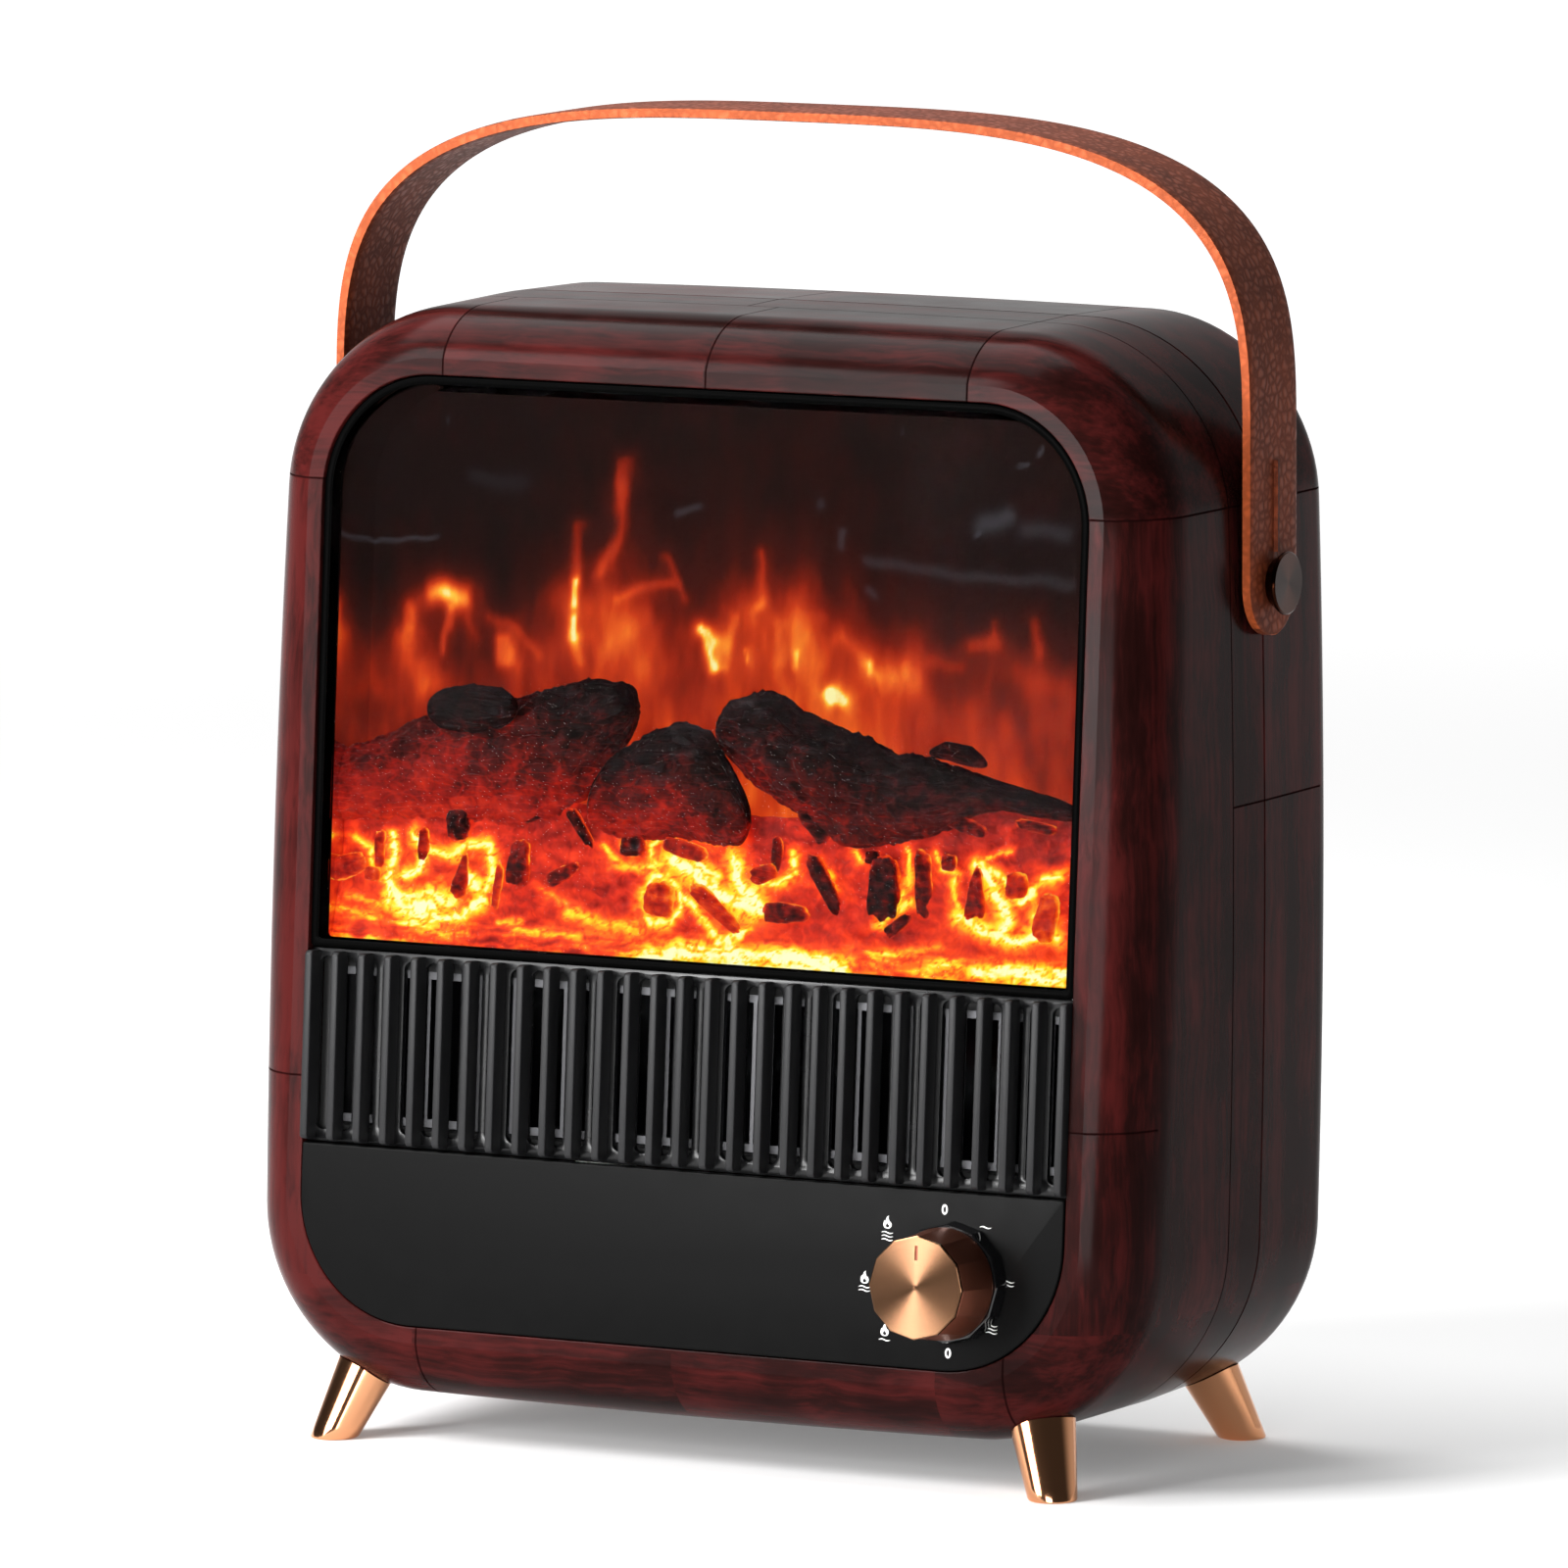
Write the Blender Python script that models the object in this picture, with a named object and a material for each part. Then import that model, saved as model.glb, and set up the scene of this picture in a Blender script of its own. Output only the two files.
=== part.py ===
# Personal heater with a flame window, a leather carry strap and a rotary dial.
# Every length is in metres and every angle in degrees; +Z is up and the front faces -Y.

import math

import bmesh
import bpy
from mathutils import Vector

# Clearances
GAP = 0.0003                 # between touching pieces
SHAFT_PLAY = 0.0003          # radial play of a shaft in its hole
SWEEP_GAP = 0.0015           # running gap round the turning rotors

# Housing
BODY_HALF_WIDTH = 0.1294     # half width where the side meets its corners
BODY_BOTTOM_Z = 0.0130       # underside where it meets its corners
BODY_TOP_Z = 0.2967          # top where it meets its corners
BODY_CORNER_R = 0.0468       # corners of the outline seen from the front
SIDE_CROWN = 0.0032          # bulge of the sides
TOP_CROWN = 0.0016           # bulge of top and underside
FRONT_TILT = 4.34            # lean of the front, from the vertical
FRONT_FILLET_DEPTH = 0.0207  # depth of the soft edge behind the front rim
FRONT_FILLET_START = 12.0    # angle at which the soft edge leaves the flat rim
FRONT_DRAFT = 0.0006         # narrowing of the front shell towards the front
REAR_DRAFT = 0.0007          # narrowing of the rear shell towards the back
REAR_FILLET_R = 0.0117
SEAM_Y = 0.0792              # parting plane of the shells, behind the foot of the front plane
REAR_Y = 0.1240              # flat back, behind the foot of the front plane
SHELL_WALL = 0.0025

# Front opening, measured along the leaning front plane from the floor line
OPENING_HALF_WIDTH = 0.1124
OPENING_BOTTOM = 0.0325
OPENING_TOP = 0.2812
OPENING_TOP_R = 0.0315
OPENING_BOTTOM_R = 0.0340
RIM_WIDTH = 0.0043           # flat rim round the opening

# Window
WINDOW_BOTTOM = 0.1302       # lower edge of the bezel
BEZEL_BORDER = 0.0026        # black border seen round the picture
BEZEL_LIP = 0.0015           # thickness of the lip in front of the glass
BEZEL_WALL = 0.0008
BEZEL_RECESS = 0.0008        # bezel face behind the front plane
BEZEL_SHARP_R = 0.0012       # lower corners of the window pieces
GLASS_THICK = 0.0030
LINER_WALL = 0.0015
LINER_FLANGE = 0.0015
FIREBOX_DEPTH = 0.0235       # back of the fire recess, behind the front plane
SCREEN_THICK = 0.0020

# Embers and logs
BED_FRONT_H = 0.0060         # height of the ember bed at the glass
BED_RISE = 0.0290            # how much the bed rises to the back
BED_LUMP = 0.0016
BED_WAVE_LONG = 0.016393     # wavelengths of the bed's lumps, over 2 pi
BED_WAVE_MIDDLE = 0.006993
BED_WAVE_SHORT = 0.0047393
BED_WAVE_FINE = 0.0025189
BED_BACK_GAP = 0.0030        # space left behind the bed for its light board
BED_COLUMNS = 28
BED_ROWS = 6

LOG_THICK_R = 0.0072
LOG_THIN_R = 0.0050

# Each log: three places as share of the window's half width, share of the bed's depth and lift over the bed in radii;
# radii at its ends, as shares of its own; seed
LOGS = (
    ("log_left", LOG_THICK_R, ((-0.8185, 0.62, 1.195), (-0.4982, 0.72, 2.861), (-0.1423, 0.62, 2.792)), (0.86, 1.0), 0.5),
    ("log_centre", LOG_THIN_R, ((-0.2847, 0.30, 1.56), (-0.0356, 0.40, 3.76), (0.1423, 0.30, 1.56)), (1.0, 0.92), 1.4),
    ("log_right", LOG_THICK_R, ((0.0890, 0.66, 3.028), (0.4448, 0.72, 2.333), (0.9253, 0.60, 0.875)), (1.0, 0.72), 2.1),
)

# Outlet grille
GRILLE_BOTTOM = 0.0792
FIN_PITCH = 0.00792
FIN_WIDTH = 0.0021
FIN_PROUD = 0.0024           # fin face in front of the front plane
FIN_END_R = 0.0012
FIN_END_INSET = 0.0006
PLATE_RECESS = 0.0024
PLATE_THICK = 0.0018
SLOT_PITCH = 0.006336
SLOT_EDGE = 0.0015           # least land beside the last slot
SLOT_WIDTH = 0.0044
SLOT_LENGTH = 0.0455

# Heater and blower behind the grille
HEATER_FRAME_WALL = 0.0022
HEATER_FRAME_DEPTH = 0.0220
HEATER_FRAME_HALF_WIDTH = 0.1100
HEATER_FRAME_HEIGHT = 0.0460
ELEMENT_DEPTH = 0.0100
ELEMENT_BAR = 0.0022
ELEMENT_FIN = 0.0011
ELEMENT_CELLS = 42
ROTOR_R = 0.0200
ROTOR_LENGTH = 0.1400
ROTOR_BLADES = 16
ROTOR_BLADE_THICK = 0.0008
ROTOR_BLADE_DEPTH = 0.0060
ROTOR_DISC = 0.0016
ROTOR_SHAFT_R = 0.0020
ROTOR_DEPTH = 0.0560         # rotor axis behind the front plane
CHEEK_THICK = 0.0020
GUIDE_WALL = 0.0015
GUIDE_TONGUE = 0.0090
BUSH_WALL = 0.0020
BUSH_PROUD = 0.0010
MOTOR_R = 0.0150
MOTOR_LENGTH = 0.0220

# Control panel and dial
PANEL_THICK = 0.0030
PANEL_PROUD = 0.0004
PANEL_BEVEL = 0.0005
DIAL_INSET = 0.0314          # dial axis, in from the opening's right edge
DIAL_V = 0.0557              # dial axis, up the front plane
DIAL_SIDES = 12
SKIRT_BASE_R = 0.0159
SKIRT_TOP_R = 0.0150
SKIRT_HEIGHT = 0.0048
KNOB_COLLAR_R = 0.0145
KNOB_TOP_R = 0.0132
KNOB_LENGTH = 0.0142
KNOB_FACE_R = 0.0134
KNOB_FACE_THICK = 0.0009
KNOB_FACE_BEVEL = 0.0003
POINTER_WIDTH = 0.0009
POINTER_LENGTH = 0.0038
POINTER_OFFSET = 0.0089
SWITCH_SHAFT_R = 0.0030
SWITCH_NECK_R = 0.0042
SWITCH_NUT_R = 0.0070
SWITCH_NUT_THICK = 0.0020
SWITCH_SIZE = 0.0280
SWITCH_DEPTH = 0.0160

# Flicker drive behind the fire
CHANNEL_DEPTH = 0.0340
CHANNEL_HEIGHT = 0.0400
CHANNEL_HALF_LENGTH = 0.0900
CHANNEL_WALL = 0.0012
LIGHT_BOARD_INSET = 0.0040   # board's end, in from the channel's end
LIGHT_BOARD_NEAR = 0.0030    # board's front edge, behind the screen
LIGHT_BOARD_WIDTH = 0.0080
SPINDLE_R = 0.0015
SPINDLE_FLAPS = 9
SPINDLE_FLAP_R = 0.0110
SPINDLE_FLAP_THICK = 0.0006
FLICKER_MOTOR_R = 0.0080
FLICKER_MOTOR_LENGTH = 0.0120

# Strap
PIVOT_Z = 0.2312
STRAP_WIDTH = 0.0268
STRAP_THICK = 0.0029
STRAP_CLEAR = 0.0004         # between a leg and the side of the housing, at the leg's lower end
STRAP_LEG = 0.0352           # straight leg above the pivot
STRAP_RISE = 0.0824          # rise of the bow above the legs
STRAP_POWER = 3.3            # roundness of the bow
STRAP_END = 0.0136           # leg below the pivot
CAP_R = 0.0082
CAP_BASE_R = 0.0064
CAP_HEIGHT = 0.0038
CAP_BEVEL = 0.0005
PIN_R = 0.0030
INSERT_R = 0.0060
INSERT_LENGTH = 0.0080

# Feet
FOOT_INSET_X = 0.0305        # middle of a foot's top, in from the side
FOOT_INSET_FRONT = 0.0185    # the same, in from the front
FOOT_INSET_REAR = 0.0120     # the same, in from the back
FOOT_TOP_RISE = 0.0070       # the foot's top above the underside
FOOT_SPLAY_X = 0.0072
FOOT_SPLAY_Y = 0.0076
FOOT_BOTTOM_R = 0.0064
FOOT_TOP_R = 0.0089
FOOT_EDGE = 0.0006
FOOT_STUD_R = 0.0020
FOOT_STUD_DEPTH = 0.0020     # the stud starts this far below the underside
FOOT_NUT_R = 0.0042
FOOT_NUT_THICK = 0.0030
FOOT_PAD_R = 0.0055
FOOT_PAD_RISE = 0.0130

# Inside the base
TRAY_INSET_X = 0.0474        # in from the side
TRAY_FRONT_Y = 0.0360
TRAY_REAR_Y = 0.1020
TRAY_RISE = 0.0040           # above the underside
TRAY_THICK = 0.0018
TRAY_RAIL_X = 0.0700
TRAY_RAIL_WIDTH = 0.0060
TRAY_RAIL_INSET = 0.0020
STANDOFF_R = 0.0030
STANDOFF_H = 0.0040
BOARD_THICK = 0.0016
BOARD_X = (-0.0600, 0.0100)
BOARD_Y = (0.0480, 0.0960)

# Shell screws
BOSS_R = 0.0050
BOSS_REACH = 0.0285          # from the corner's centre to the boss
BOSS_FRONT_LENGTH = 0.0260
BOSS_WEB = 0.0022            # web between a front boss and the corner
SHELL_SCREW_R = 0.0019
SHELL_SCREW_HEAD_R = 0.0036
SHELL_SCREW_HEAD = 0.0026
SHELL_SCREW_WELL = 0.0300    # depth of the screw's well from the back
SHELL_SCREW_BITE = 0.0160

# Rear cover
COVER_HALF_WIDTH = 0.0760
COVER_BOTTOM_Z = 0.0620
COVER_TOP_Z = 0.1480
COVER_R = 0.0080
COVER_THICK = 0.0018
COVER_LAND = 0.0080          # overlap on the shell
COVER_SLOT_ROWS = 11
COVER_SLOT_COLUMNS = 2
COVER_SLOT_H = 0.0032
COVER_SLOT_W = 0.0560
COVER_SLOT_PITCH = 0.0062
COVER_COLUMN_PITCH = 0.0640
COVER_SCREW_R = 0.0014
COVER_SCREW_HEAD_R = 0.0027
COVER_SCREW_HEAD = 0.0014
COVER_SCREW_LENGTH = 0.0080

# Gland
GLAND_INSET_X = 0.0444       # in from the left side
GLAND_RISE = 0.0350          # above the underside
GLAND_FLANGE_R = 0.0080
GLAND_FLANGE = 0.0026
GLAND_NECK_R = 0.0055
GLAND_BORE_R = 0.0036
GLAND_LENGTH = 0.0120

# Facets
CORNER_STEPS = 6
CROWN_STEPS = 4
FILLET_STEPS = 5
ROUND = 20
SMALL_ROUND = 12
STRAP_STEPS = 12

TILT = math.radians(FRONT_TILT)
PANEL_TOP = GRILLE_BOTTOM - GAP
GRILLE_TOP = WINDOW_BOTTOM - GAP
BODY_HALF_HEIGHT = (BODY_TOP_Z - BODY_BOTTOM_Z) / 2
BODY_MID_Z = (BODY_TOP_Z + BODY_BOTTOM_Z) / 2
DIAL_U = OPENING_HALF_WIDTH - DIAL_INSET
FIN_COUNT = 2 * int((OPENING_HALF_WIDTH - GAP - FIN_WIDTH / 2) / FIN_PITCH) + 1
SLOT_COUNT = 2 * int((OPENING_HALF_WIDTH - SLOT_EDGE - SLOT_WIDTH / 2) / SLOT_PITCH) + 1
FOOT_TOP_X = BODY_HALF_WIDTH - FOOT_INSET_X
FOOT_TOP_FRONT_Y = FOOT_INSET_FRONT
FOOT_TOP_REAR_Y = REAR_Y - FOOT_INSET_REAR
FOOT_TOP_Z = BODY_BOTTOM_Z + FOOT_TOP_RISE
FOOT_STUD_ROOT = BODY_BOTTOM_Z - FOOT_STUD_DEPTH
FOOT_PAD_TOP = BODY_BOTTOM_Z + FOOT_PAD_RISE
TRAY_HALF_WIDTH = BODY_HALF_WIDTH - TRAY_INSET_X
TRAY_BOTTOM_Z = BODY_BOTTOM_Z + TRAY_RISE
GLAND_X = GLAND_INSET_X - BODY_HALF_WIDTH
GLAND_Z = BODY_BOTTOM_Z + GLAND_RISE
LEG_LOW = (PIVOT_Z - STRAP_END - BODY_MID_Z) / BODY_HALF_HEIGHT
STRAP_HALF_SPAN = BODY_HALF_WIDTH + SIDE_CROWN * (1.0 - LEG_LOW ** 2) + STRAP_CLEAR + STRAP_THICK
KNOB_START = PANEL_PROUD + GAP + SKIRT_HEIGHT + GAP
KNOB_REACH = KNOB_START + KNOB_LENGTH + GAP + KNOB_FACE_THICK
FACE_EDGE_R = KNOB_FACE_R - KNOB_FACE_BEVEL
FRONT_EXTREME_Y = (DIAL_V - FACE_EDGE_R) * math.sin(TILT) - KNOB_REACH * math.cos(TILT)
REAR_EXTREME_Y = max(FOOT_TOP_REAR_Y + FOOT_SPLAY_Y + FOOT_BOTTOM_R, REAR_Y + GLAND_FLANGE,
                     REAR_Y + COVER_THICK + COVER_SCREW_HEAD + 2 * GAP)
FRONT_PLANE_Y = -(FRONT_EXTREME_Y + REAR_EXTREME_Y) / 2


# Scene, materials and frames

def clear_scene():
    for item in list(bpy.data.objects):
        bpy.data.objects.remove(item, do_unlink=True)
    for mesh in list(bpy.data.meshes):
        bpy.data.meshes.remove(mesh)


def material(name, colour, roughness, metallic=0.0):
    made = bpy.data.materials.new(name)
    made.use_nodes = True
    shader = made.node_tree.nodes["Principled BSDF"]
    shader.inputs["Base Color"].default_value = (*colour, 1.0)
    shader.inputs["Roughness"].default_value = roughness
    shader.inputs["Metallic"].default_value = metallic
    made.diffuse_color = (*colour, 1.0)
    return made


def frame_empty(name, place, turn=(0.0, 0.0, 0.0), parent=None):
    empty = bpy.data.objects.new(name, None)
    bpy.context.collection.objects.link(empty)
    empty.location = place
    empty.rotation_euler = turn
    empty.parent = parent
    empty.hide_render = True
    return empty


def finish_mesh(name, bm, finish=None, parent=None, sharp=35.0):
    bmesh.ops.remove_doubles(bm, verts=bm.verts, dist=1e-7)
    bmesh.ops.recalc_face_normals(bm, faces=bm.faces)
    mesh = bpy.data.meshes.new(name)
    bm.to_mesh(mesh)
    bm.free()
    mesh.shade_smooth()
    mesh.set_sharp_from_angle(angle=math.radians(sharp))
    made = bpy.data.objects.new(name, mesh)
    bpy.context.collection.objects.link(made)
    if finish is not None:
        mesh.materials.append(finish)
    made.parent = parent
    return made


def tool(name, bm, parent=None):
    made = finish_mesh(name, bm, parent=parent)
    made.hide_render = True
    made.display_type = "WIRE"
    return made


def combine(target, operand, operation):
    step = target.modifiers.new(operation.title(), "BOOLEAN")
    step.operation = operation
    step.solver = "EXACT"
    step.object = operand
    return step


def cut(target, operand):
    combine(target, operand, "DIFFERENCE")


def join(target, operand):
    combine(target, operand, "UNION")


# Outlines

def arc_points(centre, radius, start, end, steps):
    points = []
    for i in range(steps + 1):
        angle = math.radians(start + (end - start) * i / steps)
        points.append((centre[0] + radius * math.cos(angle), centre[1] + radius * math.sin(angle)))
    return points


def rounded_outline(half_width, low, high, low_r, high_r, side_steps=1):
    """Corner points of a rounded rectangle, counter-clockwise from its lower right corner."""
    corners = (
        ((half_width - low_r, low + low_r), low_r, -90.0),
        ((half_width - high_r, high - high_r), high_r, 0.0),
        ((-half_width + high_r, high - high_r), high_r, 90.0),
        ((-half_width + low_r, low + low_r), low_r, 180.0),
    )
    arcs = [arc_points(centre, radius, start, start + 90.0, CORNER_STEPS) for centre, radius, start in corners]
    points = []
    for i, arc in enumerate(arcs):
        points += arc
        onward = arcs[(i + 1) % 4][0]
        for k in range(1, side_steps):
            share = k / side_steps
            points.append((arc[-1][0] + (onward[0] - arc[-1][0]) * share,
                           arc[-1][1] + (onward[1] - arc[-1][1]) * share))
    return points


def body_outline(inset):
    """Outline of the housing seen from the front, with crowned sides, top and underside."""
    points = []
    base = rounded_outline(BODY_HALF_WIDTH - inset, BODY_BOTTOM_Z + inset, BODY_TOP_Z - inset,
                           BODY_CORNER_R - inset, BODY_CORNER_R - inset, CROWN_STEPS)
    flat_x = BODY_HALF_WIDTH - BODY_CORNER_R
    flat_z = BODY_HALF_HEIGHT - BODY_CORNER_R
    for x, z in base:
        up = z - BODY_MID_Z
        away_x = max(abs(x) - flat_x, 0.0)
        away_z = max(abs(up) - flat_z, 0.0)
        reach = math.hypot(away_x, away_z)
        side = math.copysign(away_x / reach, x)
        end = math.copysign(away_z / reach, up)
        points.append((x + side * SIDE_CROWN * (1.0 - (up / BODY_HALF_HEIGHT) ** 2),
                       z + end * TOP_CROWN * (1.0 - (x / BODY_HALF_WIDTH) ** 2)))
    return points


def opening_outline(outset, side_steps=1):
    """Outline of the front opening on the leaning front plane."""
    return rounded_outline(OPENING_HALF_WIDTH + outset, OPENING_BOTTOM - outset, OPENING_TOP + outset,
                           OPENING_BOTTOM_R + outset, OPENING_TOP_R + outset, side_steps)


def window_outline(inset):
    """Outline of a window piece: large upper corners, small lower ones."""
    return rounded_outline(OPENING_HALF_WIDTH - inset, WINDOW_BOTTOM + inset - GAP, OPENING_TOP - inset,
                           BEZEL_SHARP_R, OPENING_TOP_R - inset)


# Shapes

def add_loft(bm, loops, ring=False):
    """Skin successive loops of points; a ring closes on its first loop, otherwise both ends get caps."""
    rows = [[bm.verts.new(point) for point in loop] for loop in loops]
    pairs = list(zip(rows, rows[1:]))
    if ring:
        pairs.append((rows[-1], rows[0]))
    else:
        bm.faces.new(rows[0])
        bm.faces.new(rows[-1])
    for one, two in pairs:
        count = len(one)
        for i in range(count):
            bm.faces.new((one[i], one[(i + 1) % count], two[(i + 1) % count], two[i]))


def add_prism(bm, outline, near, far):
    """Closed prism of an x-z outline from one depth to another."""
    add_loft(bm, [[(x, near, z) for x, z in outline], [(x, far, z) for x, z in outline]])


def add_box(bm, low, high):
    outline = [(low[0], low[2]), (high[0], low[2]), (high[0], high[2]), (low[0], high[2])]
    add_prism(bm, outline, low[1], high[1])


def add_turned(bm, profile, origin, axis, steps=ROUND, phase=0.0):
    """Solid of revolution: profile holds (radius, height along the axis) pairs, open ends are capped."""
    axis = Vector(axis).normalized()
    side = axis.orthogonal().normalized()
    if abs(axis.z) < 0.99:
        side = Vector((0.0, 0.0, 1.0)).cross(axis).normalized()
    other = axis.cross(side)
    origin = Vector(origin)
    loops = []
    for radius, height in profile:
        loop = []
        for i in range(steps):
            angle = math.radians(phase) + math.tau * i / steps
            loop.append(origin + axis * height + (side * math.cos(angle) + other * math.sin(angle)) * radius)
        loops.append(loop)
    add_loft(bm, loops)


def polygon_radius(radius, sides, angle):
    """Reach of a regular polygon at an angle in degrees, measured from one of its corners."""
    wedge = math.radians(angle % (360.0 / sides) - 180.0 / sides)
    return radius * math.cos(math.pi / sides) / math.cos(wedge)


def add_tube(bm, outer, inner, start, end, origin, axis, steps=ROUND, sides=0):
    """Straight tube with a round through bore; with sides given, its outside is a regular polygon."""
    axis = Vector(axis).normalized()
    side = Vector((0.0, 0.0, 1.0)).cross(axis)
    side = Vector((1.0, 0.0, 0.0)) if side.length < 0.01 else side.normalized()
    other = axis.cross(side)
    origin = Vector(origin)
    loops = []
    for bore, height in ((False, start), (False, end), (True, end), (True, start)):
        loop = []
        for i in range(steps):
            angle = math.tau * i / steps
            radius = polygon_radius(outer, sides, 360.0 * i / steps) if sides else outer
            radius = inner if bore else radius
            loop.append(origin + axis * height + (side * math.cos(angle) + other * math.sin(angle)) * radius)
        loops.append(loop)
    add_loft(bm, loops, ring=True)


def stadium(centre, width, height, steps=2):
    """Outline of a slot with round ends on its longer axis."""
    radius = min(width, height) / 2
    run = max(width, height) / 2 - radius
    if height >= width:
        upper = arc_points((centre[0], centre[1] + run), radius, 0.0, 180.0, steps)
        lower = arc_points((centre[0], centre[1] - run), radius, 180.0, 360.0, steps)
        return upper + lower
    left = arc_points((centre[0] - run, centre[1]), radius, 90.0, 270.0, steps)
    right = arc_points((centre[0] + run, centre[1]), radius, -90.0, 90.0, steps)
    return left + right


def front_point(u, v, depth=0.0):
    """A point of the leaning front, with its depth measured level."""
    return (u, FRONT_PLANE_Y + v * math.sin(TILT) + depth, v * math.cos(TILT))


# Housing

def fillet_steps(steps):
    """Share of width and of depth gained along the soft front edge, from the rim outwards."""
    start = math.radians(FRONT_FILLET_START)
    shares = []
    for i in range(1, steps + 1):
        angle = start + (math.pi / 2 - start) * i / steps
        width = (math.sin(angle) - math.sin(start)) / (1.0 - math.sin(start))
        depth = (math.cos(start) - math.cos(angle)) / math.cos(start)
        shares.append((width, depth))
    return shares


def front_fillet_loops(wall, steps):
    """Loops from just outside the rim to where the side walls run straight."""
    rim = [front_point(u, v) for u, v in opening_outline(RIM_WIDTH, CROWN_STEPS)]
    side = body_outline(FRONT_DRAFT + wall)
    loops = []
    for width, depth in fillet_steps(steps):
        loop = []
        for (rx, ry, rz), (sx, sz) in zip(rim, side):
            x = rx + (sx - rx) * width
            z = rz + (sz - rz) * width
            y = FRONT_PLANE_Y + z * math.tan(TILT) + wall + (FRONT_FILLET_DEPTH - wall) * depth
            loop.append((x, y, z))
        loops.append(loop)
    return loops


def level_loop(inset, y):
    return [(x, FRONT_PLANE_Y + y, z) for x, z in body_outline(inset)]


def build_front_shell(finish):
    bm = bmesh.new()
    seam = SEAM_Y - GAP / 2
    edge = opening_outline(0.0, CROWN_STEPS)
    rim = opening_outline(RIM_WIDTH, CROWN_STEPS)
    outer = front_fillet_loops(0.0, FILLET_STEPS)
    inner = front_fillet_loops(SHELL_WALL, 2)
    loops = [level_loop(0.0, seam)] + outer[::-1]
    loops.append([front_point(u, v) for u, v in rim])
    loops.append([front_point(u, v) for u, v in edge])
    loops.append([front_point(u, v, SHELL_WALL) for u, v in edge])
    loops += inner
    loops.append(level_loop(SHELL_WALL, seam))
    add_loft(bm, loops, ring=True)
    return finish_mesh("front_shell", bm, finish)


def rear_loops(wall, steps):
    """Loops from the seam to the flat back."""
    seam = SEAM_Y + GAP / 2
    straight = REAR_Y - REAR_FILLET_R
    loops = [level_loop(wall, seam), level_loop(REAR_DRAFT + wall, straight)]
    radius = REAR_FILLET_R - wall
    for i in range(1, steps + 1):
        angle = math.pi / 2 * i / steps
        inset = REAR_DRAFT + wall + radius * (1.0 - math.cos(angle))
        loops.append(level_loop(inset, straight + radius * math.sin(angle)))
    return loops


def build_rear_shell(finish):
    bm = bmesh.new()
    outer = rear_loops(0.0, FILLET_STEPS - 1)
    inner = rear_loops(SHELL_WALL, 2)
    add_loft(bm, outer[::-1] + inner)
    return finish_mesh("rear_shell", bm, finish)


def housing_block(name, grow):
    """The closed outer form of the housing, grown a little, for seating the feet."""
    bm = bmesh.new()
    front = FRONT_PLANE_Y + FRONT_FILLET_DEPTH / 2
    loops = [[(x, front, z) for x, z in body_outline(-grow)],
             [(x, FRONT_PLANE_Y + SEAM_Y, z) for x, z in body_outline(-grow)],
             [(x, FRONT_PLANE_Y + REAR_Y - REAR_FILLET_R, z) for x, z in body_outline(REAR_DRAFT - grow)]]
    for i in range(1, FILLET_STEPS):
        angle = math.pi / 2 * i / (FILLET_STEPS - 1)
        inset = REAR_DRAFT + REAR_FILLET_R * (1.0 - math.cos(angle)) - grow
        reach = REAR_Y - REAR_FILLET_R * (1.0 - math.sin(angle)) + grow
        loops.append([(x, FRONT_PLANE_Y + reach, z) for x, z in body_outline(inset)])
    rim = [front_point(u, v) for u, v in opening_outline(RIM_WIDTH + grow, CROWN_STEPS)]
    fillet = []
    side = body_outline(FRONT_DRAFT - grow)
    for width, depth in fillet_steps(FILLET_STEPS):
        loop = []
        for (rx, ry, rz), (sx, sz) in zip(rim, side):
            x = rx + (sx - rx) * width
            z = rz + (sz - rz) * width
            y = FRONT_PLANE_Y + z * math.tan(TILT) + FRONT_FILLET_DEPTH * depth
            loop.append((x, y, z))
        fillet.append(loop)
    add_loft(bm, [rim] + fillet + loops[1:])
    return tool(name, bm)


def boss_places():
    """Middles of the four screw bosses, seen from the front."""
    flat_x = BODY_HALF_WIDTH - BODY_CORNER_R
    flat_z = BODY_HALF_HEIGHT - BODY_CORNER_R
    step = BOSS_REACH * math.sqrt(0.5)
    places = []
    for side, along in ((-1, "left"), (1, "right")):
        for end, up in ((-1, "lower"), (1, "upper")):
            x = side * (flat_x + step)
            z = BODY_MID_Z + end * (flat_z + step)
            places.append((up + "_" + along, x, z))
    return places


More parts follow.
